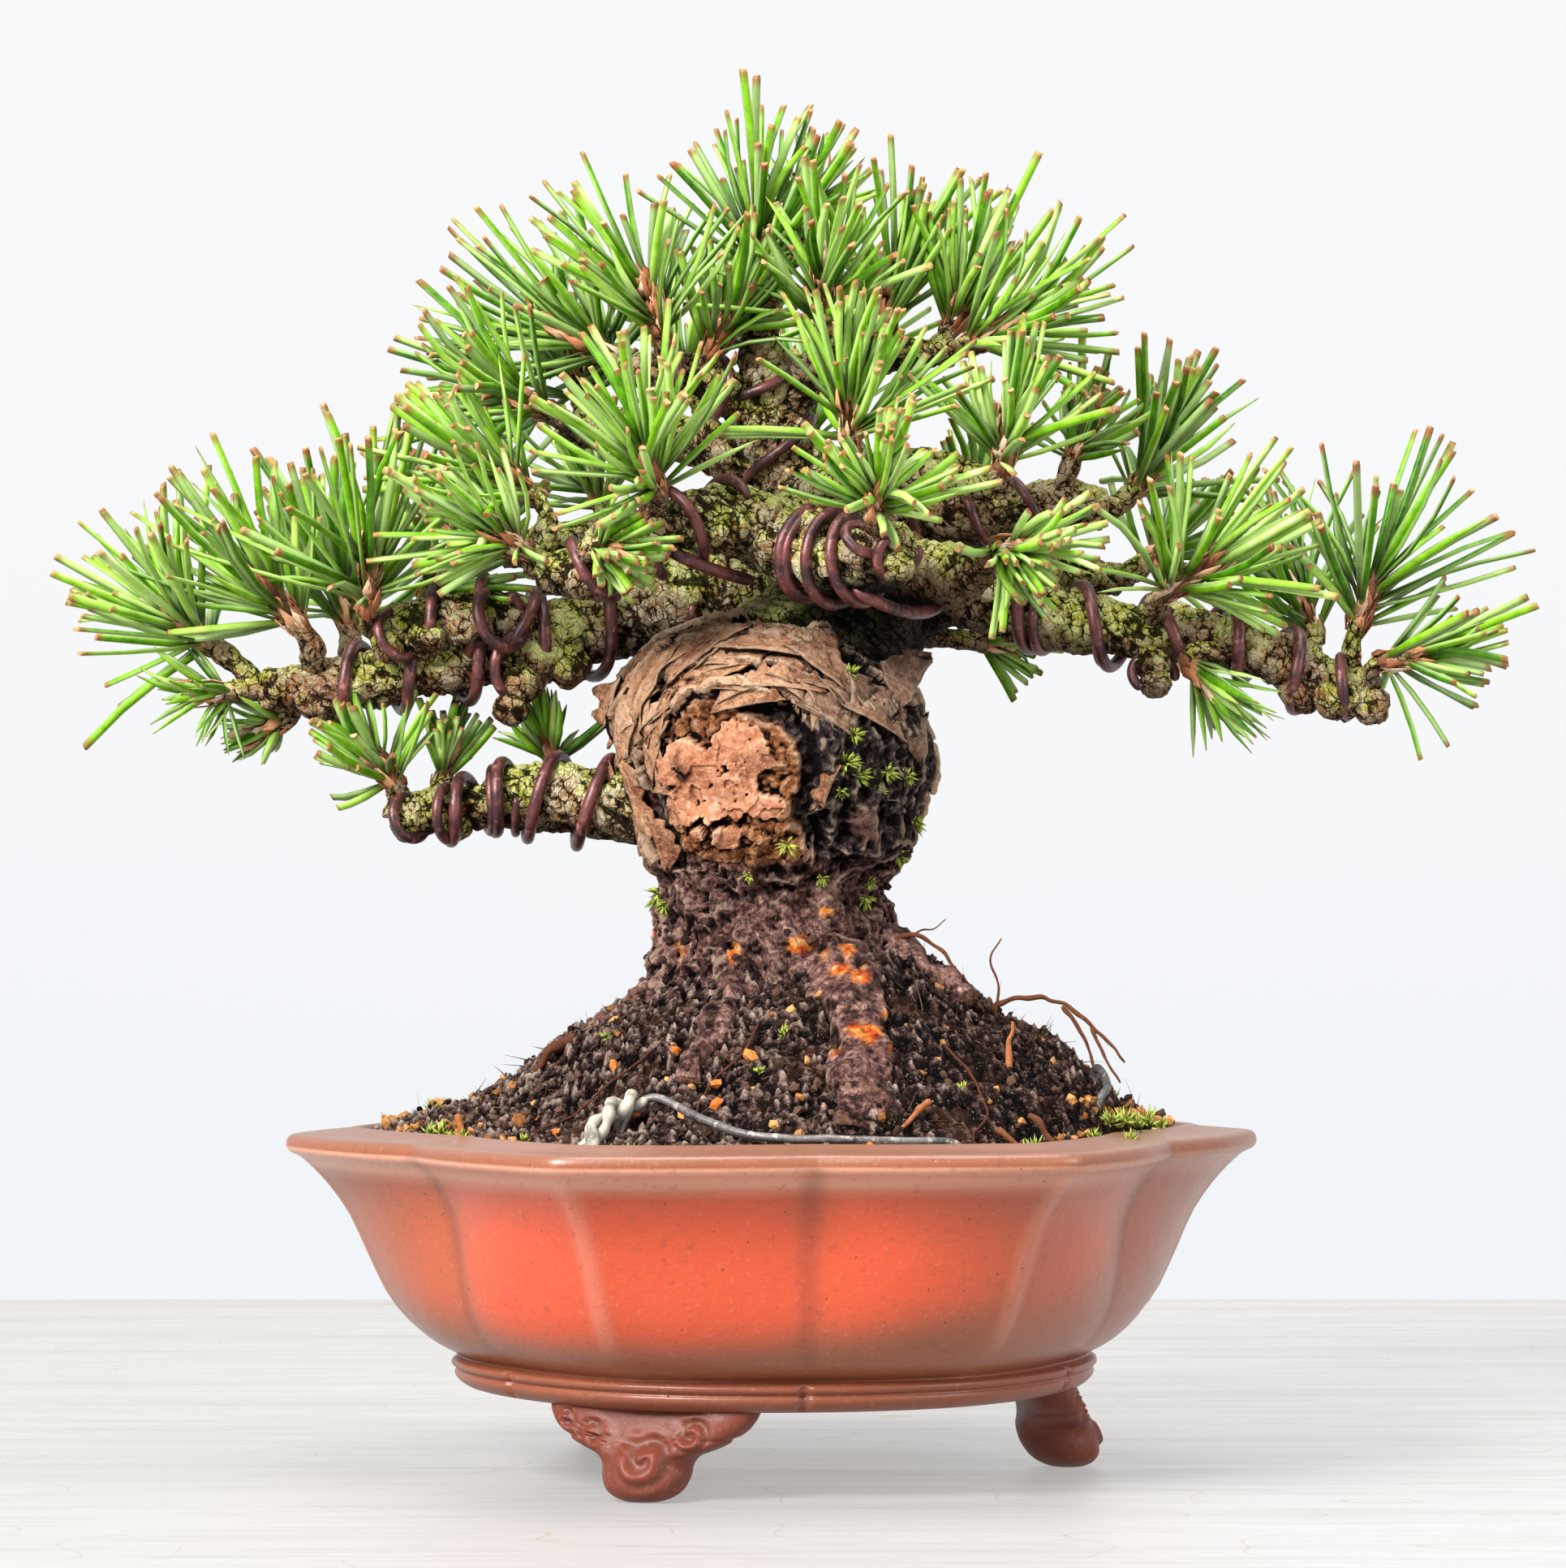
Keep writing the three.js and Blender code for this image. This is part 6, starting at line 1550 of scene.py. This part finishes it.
def needle_group(roots, aims, sideways, lengths, bends, tips, tones):
    """Needles as one set of arrays: five points round each of five rings, along a line that bends by the
    square of the distance, closed by a fan at either end."""
    count = len(roots)
    normal = np.cross(sideways, aims)
    along = NEEDLE_RINGS[None, :, None] * lengths[:, None, None]
    bow = bends[:, None] * (NEEDLE_RINGS**2)[None, :, None] * lengths[:, None, None]
    line = roots[:, None] + aims[:, None] * along + bow
    narrowing = np.array([0.7, 1, 1, 0.95, 0.84])[None, :] * np.where(
        tips[:, None], np.array([1, 1, 0.8, 0.2, 0.08])[None, :], 1
    )
    section = NEEDLE_SECTION * NEEDLE_WIDTH
    across = section[None, None, :, :1] * sideways[:, None, None]
    across = across + section[None, None, :, 1:] * normal[:, None, None]
    points = line[:, :, None] + across * narrowing[:, :, None, None]
    ends = np.stack([line[:, 0], line[:, -1] + normal * NEEDLE_WIDTH * 0.2 * narrowing[:, -1:]], axis=1)
    points = np.concatenate([points.reshape(count, -1, 3), ends], axis=1)
    shape = ring_faces(len(NEEDLE_RINGS), len(NEEDLE_SECTION))
    on_ends = np.arange(len(shape)) >= len(shape) - 2 * len(NEEDLE_SECTION)
    return *repeated(points, shape, tones), np.tile(on_ends, count)


def tuft_piece(name, row, number, finish):
    """One tuft: about two dozen pairs, the lowest opened widest, each pair parted by a few degrees."""
    place, length, spread, turn, lean, bright = row
    draw = np.random.default_rng(1000 + number)
    direction = shoot_direction(turn, lean)
    place = np.array(place, float)
    pairs = (21 if length > 17 else 19 if length > 12 else 15) + int(15 * bright**3)
    share = (np.arange(pairs) + 0.5) / pairs
    around = GOLDEN_ANGLE * np.arange(pairs) + draw.random() * 6 + 1.1 * draw.normal(size=pairs)
    first, second = square_to(direction)
    outwards = np.cos(around)[:, None] * first + np.sin(around)[:, None] * second
    opening = spread * (1 - share) ** 0.8 * (0.6 + 0.48 * draw.random(pairs)) + 5
    opening = np.radians(opening + 12 * draw.normal(size=pairs))
    aims = np.cos(opening)[:, None] * direction + np.sin(opening)[:, None] * outwards
    stem = min(6.6, 0.36 * length)
    roots = place + direction * (0.4 + stem * share)[:, None] + outwards * (1.1 * (1 - 0.6 * share))[:, None]
    flat_axis = unit(np.cross(aims, outwards + 0.5 * draw.normal(size=(pairs, 3))))
    parting = np.radians(2.4 + 7 * draw.random(pairs))[:, None]
    lengths = (length - 0.6) * (1.01 - 0.42 * draw.random(pairs) ** 1.3)
    lengths = lengths * (0.97 - 0.25 * share * stem / length)
    bends = 0.12 * draw.normal(size=(pairs, 3)) + [0, 0, 0.03]
    blades = []
    for hand in (1, -1):
        normal = np.cross(flat_axis, aims) * hand
        aim = unit(aims + np.tan(parting) * normal)
        sideways = unit(np.cross(aim, normal))
        reach = lengths * (0.97 + 0.06 * draw.random(pairs))
        tips = (name in YOUNG_TUFTS) | (draw.random(pairs) < 0.06)
        own_bends = bends + 0.03 * draw.normal(size=(pairs, 3))
        tones = np.clip(0.03 + 0.6 * bright + 0.3 * draw.normal(size=pairs), 0, 1)
        blades.append((roots + normal * 0.04, aim, sideways, reach, own_bends, tips, tones))
    merged = [np.concatenate(arrays) for arrays in zip(*blades)]
    points, faces, shades, on_ends = needle_group(*merged)
    count = len(merged[0])
    ring_cut = np.concatenate([np.zeros(20), np.ones(5), [0, 1]])
    ring_along = np.concatenate([np.repeat(NEEDLE_RINGS, 5), [0, 1]])
    edge = np.concatenate([np.tile(np.abs(NEEDLE_SECTION[:, 0]) * 2, 5), [0, 0]])
    blunt = np.where(merged[5], 0.2, 1.0)
    shades["along"] = np.tile(ring_along, count)
    shades["cut"] = (blunt[:, None] * ring_cut[None]).ravel()
    shades["edge"] = np.tile(edge, count)
    make_piece("needles_" + name, (points, faces, shades), finish, ["tuft_" + name], on_ends)


def needle_finish():
    """Waxy green needles: pale at the sheath, darker with painted shade towards the tuft's middle, brighter or
    darker by shoot partly with painted light and shade, with pale lines along the edges and a tan cut across
    the tip.
    """
    green = Finish("pine_needle")
    tone = green.shade("tone")
    streak = green.noise(0.45, 5, 0.65, gain=1.5)
    along = green.shade("along")
    body = green.ramp(tone * 0.62 + streak * 0.42, (0.1, 32, 70, 4), (0.3, 78, 138, 8),
                      (0.52, 132, 190, 26), (0.76, 182, 224, 96), (1.0, 218, 240, 176))
    body = green.coats(body, [
        # Pale lines along each needle's edges: partly its pale stomata and partly a painted highlight.
        (green.step(green.shade("edge"), 0.6, 1) * 0.45, (214, 236, 160)),
        # Painted shade darkens each needle towards the tuft's middle.
        (green.step(along, 0.5, 0.0) * 0.6, (48, 78, 6)),
        (green.step(along, 0.9, 0.975) * 0.75, green.blend(tone, (150, 66, 46), (150, 134, 60))),
        (green.step(along, 0.1, 0.03), (190, 170, 112)),
    ])
    cut = green.blend(green.step(green.noise(0.35, 2), 0.35, 0.65), (132, 72, 46), (200, 154, 104))
    body = green.blend(green.step(green.shade("cut"), 0.25, 0.8), body, cut)
    green.surface(body, 0.3 + streak * 0.12, streak, 0.03, 0.16)
    return green


pine_needle = needle_finish()
for number, (name, row) in enumerate(TUFTS.items()):
    tuft_piece(name, row, number, pine_needle)


# Bud scales: dry brown papery scales that stand round the foot of every tuft, thickest on the oldest buds.
SCALE_THICKNESS = 0.09
# How many scales a bud has and how high up it they stand, on a scaly bud and on a plain one
SCALY_BUD = (58, 9.5)
PLAIN_BUD = (26, 6.4)


def scale_part(roots, aims, sideways, length, width):
    """Small curled scales: three rows of points, broad in the middle and pointed at the tip, on both faces."""
    share = np.array([0, 0.5, 1])
    spread = np.array([0.6, 1, 0.12])
    lift = np.array([0, 0.12, 0.4])
    normal = np.cross(sideways, aims)
    count = len(roots)
    rows = []
    for side in (-1, 0, 1):
        row = roots[:, None] + aims[:, None] * share[None, :, None] * length[:, None, None]
        row = row + sideways[:, None] * (side * spread)[None, :, None] * width[:, None, None] / 2
        row = row + normal[:, None] * (lift[None, :, None] * length[:, None, None] + (1 - abs(side)) * 0.14)
        rows.append(row)
    front = np.stack(rows, axis=2)
    back = front - normal[:, None, None] * SCALE_THICKNESS
    points = np.concatenate([front.reshape(count, -1, 3), back.reshape(count, -1, 3)], axis=1)
    top = grid_faces(3, 3, round_columns=False)
    rim = [0, 1, 2, 5, 8, 7, 6, 3]
    walls = []
    for a, b in zip(rim, rim[1:] + rim[:1]):
        walls += [(a, b, b + 9), (a, b + 9, a + 9)]
    shape = np.vstack([top, top[:, ::-1] + 9, np.array(walls)[:, ::-1]])
    return repeated(points, shape, DRAW.random(count))


def scale_finish():
    """Papery scales from straw to red-brown."""
    paper = Finish("bud_scale")
    fine = paper.noise(1.6, 4)
    body = paper.ramp(paper.shade("tone"), (0.0, 110, 58, 36), (0.35, 190, 112, 66),
                      (0.7, 238, 172, 118), (1.0, 250, 226, 194))
    body = paper.blend(paper.step(fine, 0.5, 0.8) * 0.5, body, (96, 58, 40))
    paper.surface(body, 0.6 + fine * 0.2, fine, 0.1)
    return paper


SCALY_TUFTS = {
    "left_end", "left_outer", "left_front", "low_end", "crown_left", "crown_outer_left", "crown_front",
    "crown_right", "right_front", "front_right", "crown_low_right", "right_upper", "middle_left",
    "crown_inner_left",
}
scale_sets = []
for number, (name, row) in enumerate(TUFTS.items()):
    draw = np.random.default_rng(2000 + number)
    place, direction = np.array(row[0], float), directions[name]
    count, height = SCALY_BUD if name in SCALY_TUFTS else PLAIN_BUD
    level = draw.random(count) * height - 1.6
    around = draw.random(count) * 2 * np.pi
    first, second = square_to(direction)
    out = np.cos(around)[:, None] * first + np.sin(around)[:, None] * second
    roots = place + direction * level[:, None] + out * 1.15
    aims = unit(direction + out * (0.25 + 0.5 * draw.random(count))[:, None])
    length = 1.6 + 3.2 * draw.random(count) ** 2
    scale_sets.append((roots, aims, unit(np.cross(out, aims)), length, 0.8 + 0.9 * draw.random(count)))
bud_scales = scale_part(*(np.concatenate(rows) for rows in zip(*scale_sets)))
make_piece("bud_scales", bud_scales, scale_finish())


# Sprigs of moss sit on the burl's shaded side, on the neck and along the pot's rim: rosettes of tiny leaves.
# Rows: across and up of each sprig on the trunk, and its size
TRUNK_MOSS = [
    (10, 97.4, 1.5), (9, 93.8, 2), (10.6, 92.2, 1.7), (14.2, 92.8, 1.6), (16.8, 92.2, 1.4),
    (8.4, 90.2, 1.3), (18.2, 86.4, 1.7), (15.8, 82.2, 1.6), (1.6, 83.4, 1.7), (-8.4, 87.4, 1.1),
    (11.6, 76.6, 1.5), (-15.2, 77, 2), (-14.2, 75.8, 1.4), (13, 90.4, 1.2), (6, 79.4, 1.3),
    (-3.4, 79.6, 1.1), (12.2, 78.8, 1.2), (9.6, 105.2, 1.3),
]
# Rows: across and back of each sprig on the soil, and its size
SOIL_MOSS = [
    (-17.8, -45.6, 1.9), (33, -36, 1.7), (31.6, -37.4, 1.4), (43.6, -20, 1.6), (45.6, -17.6, 1.9),
    (47.4, -16.6, 1.5), (49.4, -10.4, 1.9), (51, -8.6, 1.5), (46, -22.6, 1.4), (-43, -22, 1.7),
    (-44.8, -20, 1.3), (-40.4, -25.4, 1.2), (1.2, -29, 1.2), (-2, -33, 0.9), (41, -26.4, 1.2),
    (-22, -18, 0.9), (-10, -30, 1), (24, -32, 1), (-32, -31, 1.1), (36, 26, 1.8), (-28, 36, 1.9),
    (6, 44, 1.7), (-46, 8, 1.6), (20, 38, 1.4), (-12, 42, 1.5), (46, 12, 1.6),
]
MOSS_LEAVES = 22
MOSS_SIZE = 0.84


def moss_sprigs(places, sizes, outs):
    """For each sprig, about twenty leaves that stand out from a short stem: slim three-sided points."""
    count = len(places) * MOSS_LEAVES
    place, size, out = (np.repeat(rows, MOSS_LEAVES, axis=0) for rows in (places, MOSS_SIZE * sizes, outs))
    wild = unit(DRAW.normal(size=(count, 3)))
    aim = unit(out * 0.75 + wild * 0.95)
    start = place + out * (size * 0.55 * DRAW.random(count))[:, None] + wild * (size * 0.3)[:, None]
    side = unit(np.cross(aim, wild + 0.01))
    other = np.cross(aim, side)
    length = (size * (0.55 + 0.6 * DRAW.random(count)))[:, None]
    width = length * 0.12
    corners = [start + width * (math.cos(turn) * side + math.sin(turn) * other) for turn in THIRDS]
    middle = [start + aim * length * 0.5 + 1.1 * (corner - start) for corner in corners]
    tip = start + aim * length + out * length * 0.15
    points = np.stack([*corners, *middle, tip], axis=1)
    shape = np.vstack([grid_faces(2, 3), [(2, 1, 0), (3, 4, 6), (4, 5, 6), (5, 3, 6)]])
    return repeated(points, shape, DRAW.random(count))


def moss_finish():
    """Wet moss, from deep green to a lit yellow-green."""
    moss = Finish("green_moss")
    fine = moss.noise(1.5, 3)
    body = moss.blend(moss.shade("tone") * 0.7 + fine * 0.4, (84, 104, 24), (206, 218, 88))
    moss.surface(body, 0.5 + fine * 0.2, fine, 0.05, 0.3)
    return moss


across, up, trunk_sizes = np.transpose(TRUNK_MOSS)
moss_base = np.column_stack([across, burl_front(across, up), up])
moss_out = unit(moss_base - BURL_MIDDLE)
across, back, soil_sizes = np.transpose(SOIL_MOSS)
soil_places = np.column_stack([across, back, soil_top(across, back) + 0.3])
moss = moss_sprigs(
    np.vstack([moss_base + moss_out * 0.4, soil_places]),
    np.concatenate([trunk_sizes, soil_sizes]),
    np.vstack([moss_out, np.tile([0, 0, 1.0], (len(soil_places), 1))]),
)
make_piece("moss_sprigs", moss, moss_finish())


# Hair roots and bits of stick: red-brown roots arch out of the mound on the right, and sticks lie in the
# peat. Rows: across, back and height over the mound, with half the thickness and the tone after the name
STICKS = {
    ("hair_root_shoulder", 0.3, 0.12): [
        (15, -8, 1), (18, -9, 3), (21, -9, 3.4), (24, -9.6, 2.6), (27, -9, 0.4), (28, -9, -1.5),
    ],
    ("hair_root_arch", 0.36, 0.12): [
        (28, -5, -1), (30.4, -5, 2.2), (33.6, -5.4, 4), (37.4, -5, 5.4), (41, -5.4, 6.2), (44, -6, 6.6),
        (46.4, -6.4, 6),
    ],
    ("hair_root_fork", 0.28, 0.08): [(38, -5.2, 5.4), (40.4, -6, 4.4), (42, -6.4, 2.4), (43, -7, -0.4)],
    ("hair_root_tip", 0.24, 0.12): [(42, -5.6, 6.2), (43.4, -6.4, 4.4), (44.6, -7, 3.6), (45.8, -7.2, 3.2)],
    ("thin_twig_high", 0.14, 0): [(16.4, -8, 1), (19, -9, 3.6), (21, -9, 5.6), (22.6, -9, 8)],
    ("thin_twig_low", 0.18, 0.1): [(29, -7, -1), (29.6, -7, 4), (28.6, -7, 7), (30, -7, 10.6)],
    ("stick_standing", 0.4, 0.7): [(30.2, -23, -1.4), (30.4, -23.2, 2.6), (30.8, -23.4, 6.4)],
    ("stick_orange", 0.42, 0.5): [(19.4, -38, 2.4), (17.4, -40, 1.4), (15.2, -42, 0.3)],
    ("stick_pink", 0.46, 0.1): [(32.4, -31.6, 2.2), (34.4, -32.4, 1.2), (36.4, -33, -0.4)],
    ("stick_dark", 0.4, 0.2): [(28.4, -36, 1.6), (30, -37, 1), (31.4, -37.6, -0.4)],
    ("root_stub_left", 0.8, 0.05): [(-26.4, -12, 0.2), (-29, -13, 1.4), (-31.4, -13.6, 1.2)],
    ("stick_rim", 0.45, 0.6): [(-40.6, -24, 3.2), (-40.4, -24.4, 1), (-40.2, -24.6, -1)],
    ("root_left", 0.16, 0): [
        (-16, -26, 1), (-21, -27, 1.4), (-26, -28.4, 0.8), (-30, -29, 1), (-33, -30, -0.6),
    ],
    ("root_middle", 0.18, 0): [
        (-2, -27, 0.8), (-4, -31, 1.2), (-8, -33, 0.8), (-10, -37, 0.6), (-9, -40, -0.4),
    ],
    ("root_low_right", 0.2, 0): [
        (22, -27, 1), (25, -30, 1.2), (27, -34, 0.8), (25, -38, 0.6), (26, -41, -0.4),
    ],
}


def stick_part(rows, reach, tone, number):
    """A bent stick or root with knots: its thickness swells and shrinks with noise."""
    line = spline([(x, y, soil_top(x, y) + over) for x, y, over in rows], 9 * len(rows))
    line = warped(line, 1.6, reach * 0.8, 300 + number)
    thin = np.linspace(1.15, 0.55, len(line))[:, None] * (1 + 0.25 * noise(line, 1.3, 310 + number)[:, None])
    hint = (1, 0, 0.2) if abs(unit(line[-1] - line[0])[2]) > 0.7 else (0, 0, 1)
    points, faces, _ = closed_rings(tube(line, reach * thin * rounded_ends(len(line), 2), 8, hint))
    return points, faces, {"tone": np.full(len(points), tone)}


def wood_finish():
    """Rotting wood and roots, from dark red-brown to orange-tan, ringed with darker bark."""
    wood = Finish("dead_wood")
    fine = wood.noise(1.5, 5, 0.65)
    body = wood.blend(wood.shade("tone") + fine * 0.2, (50, 20, 16), (204, 126, 76))
    body = wood.blend(wood.step(fine, 0.5, 0.72) * 0.6, body, (62, 38, 30))
    wood.surface(body, 0.6 + fine * 0.2, fine, 0.2, 0.12)
    return wood


stick_parts = [stick_part(rows, reach, tone, k) for k, ((_, reach, tone), rows) in enumerate(STICKS.items())]
make_piece("sticks_and_roots", joined(stick_parts), wood_finish())


# The front tie ends in a knot where its two ends were twisted together and cut; it has gone chalky white.
KNOT_LINE = [
    (-17, -33, 2.2), (-18.8, -34.6, 3.6), (-20.8, -36.6, 3.8), (-22.6, -38.4, 2.6), (-23.8, -39.6, 0.4),
]
KNOT_STEPS = 60
KNOT_REACH = 0.85
KNOT_WIRE = 0.78
knot_line = spline([(x, y, soil_top(x, y) + over) for x, y, over in KNOT_LINE], KNOT_STEPS)
knot_turn = np.linspace(0, 3.2 * np.pi, KNOT_STEPS)[:, None]
tangent = unit(np.gradient(knot_line, axis=0))
knot_side = unit(np.cross(tangent, [0, 0, 1]))
knot_up = np.cross(knot_side, tangent)
knots = []
for start in (0, np.pi):
    outwards = np.cos(knot_turn + start) * knot_side + np.sin(knot_turn + start) * knot_up
    wound = knot_line + KNOT_REACH * outwards
    reach = KNOT_WIRE * rounded_ends(KNOT_STEPS) * (1 + 0.4 * noise(wound, 1.2, 400)[:, None])
    knots.append(closed_rings(tube(wound, reach, 10, (0, 0, 1))))
chalky_wire = wire_finish("chalky_wire", (120, 112, 100), (196, 188, 172), (232, 226, 212), 0.0, 0.6)
make_piece("tie_wire_knot", joined(knots), chalky_wire)


# The floor is pale painted board, and the light is soft: a broad window to the upper left and a white room.
# The floor also glows a little: painted light that lifts its shadows and lights the tree from below.
FLOOR_REACH = 2.5
FLOOR_BACK = 0.273
FLOOR_DULL = 0.194
FLOOR_GLOW = 0.47


def stage_sheet(name, corners, finish):
    """A flat sheet of the room round the tree, from its corners in metres."""
    mesh = bpy.data.meshes.new(name)
    mesh.from_pydata(corners, [], [(0, 1, 2, 3)])
    mesh.materials.append(finish.material)
    sheet = bpy.data.objects.new(name, mesh)
    bpy.context.scene.collection.objects.link(sheet)


def floor_finish():
    """White paint, brushed from side to side, with faint warm scratches and a painted shadow over its left
    side. It also glows: painted light that lifts its shadows and lights the tree from below.
    """
    paint = Finish("white_paint")
    cloud = paint.noise(0.006, 5)
    brush = paint.noise(0.05, 6, 0.7, (0.12, 1.6, 1), gain=1.6)
    dashes = paint.step(paint.noise(0.5, 4, 0.7, (0.05, 1, 1), gain=1.6), 0.52, 0.7)
    scratch = paint.step((paint.noise(0.012, 2, 0.5, (0.5, 1, 1)) * 20.0).fraction(), 0.03, 0.0)
    across = paint.node("ShaderNodeSeparateXYZ", None, {0: paint.place})
    tint = paint.blend(cloud, (232, 230, 226, 1), (240, 239, 238, 1))
    tint = paint.coats(tint, [
        # Painted shadow: the floor's left side, darker.
        (paint.step(across, 0.1, -0.1) * 0.4, (218, 215, 210, 1)),
        (paint.step(brush, 0.4, 0.9) * 0.5, (214, 210, 204, 1)),
        (dashes * 0.3, (196, 191, 184, 1)),
        (scratch * 0.5, (204, 188, 150, 1)),
    ])
    body = paint.blend(FLOOR_DULL, (0, 0, 0, 1), tint)
    glow = {"Emission Color": tint, "Emission Strength": FLOOR_GLOW}
    paint.surface(body, 0.38 + brush * 0.2, brush, 0.12, 0.3, glow)
    return paint


near_edge, far_edge = POT_AXIS[1] - FLOOR_REACH, POT_AXIS[1] + FLOOR_BACK
stage_sheet("floor", [
    (-FLOOR_REACH, near_edge, 0), (FLOOR_REACH, near_edge, 0),
    (FLOOR_REACH, far_edge, 0), (-FLOOR_REACH, far_edge, 0),
], floor_finish())

# Behind it hangs a sheet of white paper, lit from behind, a little darker towards its foot.
BACKDROP_BACK = 1.2
BACKDROP_REACH = 1.2
BACKDROP_FOOT = -0.3
BACKDROP_TOP = 1.1


def backdrop_finish():
    """Paper that glows evenly, cooler and darker low down."""
    paper = Finish("lit_paper")
    height = paper.node("ShaderNodeSeparateXYZ", None, {0: paper.place}, output=2)
    cloud = paper.noise(0.004, 2)
    glow = paper.blend(paper.step(height + cloud * 0.05, -0.1, 0.3), (241, 244, 248, 1), (248, 249, 250, 1))
    paper.shader({"Base Color": (0, 0, 0, 1), "Specular IOR Level": 0.0})
    paper.shader({"Emission Color": glow, "Emission Strength": 1.0})
    return paper


back = POT_AXIS[1] + BACKDROP_BACK
stage_sheet("backdrop", [
    (-BACKDROP_REACH, back, BACKDROP_FOOT), (BACKDROP_REACH, back, BACKDROP_FOOT),
    (BACKDROP_REACH, back, BACKDROP_TOP), (-BACKDROP_REACH, back, BACKDROP_TOP),
], backdrop_finish())

ROOM_LIGHT = 0.62
world = bpy.data.worlds.new("white_room")
bpy.context.scene.world = world
world.use_nodes = True
world.node_tree.nodes["Background"].inputs["Color"].default_value = colour(247, 249, 253, 1)
world.node_tree.nodes["Background"].inputs["Strength"].default_value = ROOM_LIGHT

SOFTBOXES = [
    # place, aim, side and power
    ("window_left", (-560, -640, 620), (0, 0, 80), 460, 24),
    ("window_top", (60, -60, 900), (0, 0, 90), 620, 10),
    ("bounce_right", (760, -380, 320), (0, 0, 80), 420, 4),
]
for name, place, aim, side, power in SOFTBOXES:
    light = bpy.data.lights.new(name, "AREA")
    light.shape = "DISK"
    light.size = side * MM
    light.energy = power
    lamp = bpy.data.objects.new(name, light)
    lamp.location = Vector(place) * MM
    lamp.rotation_euler = (Vector(aim) - Vector(place)).to_track_quat("-Z", "Y").to_euler()
    bpy.context.scene.collection.objects.link(lamp)
bpy.context.scene.view_settings.view_transform = "Standard"
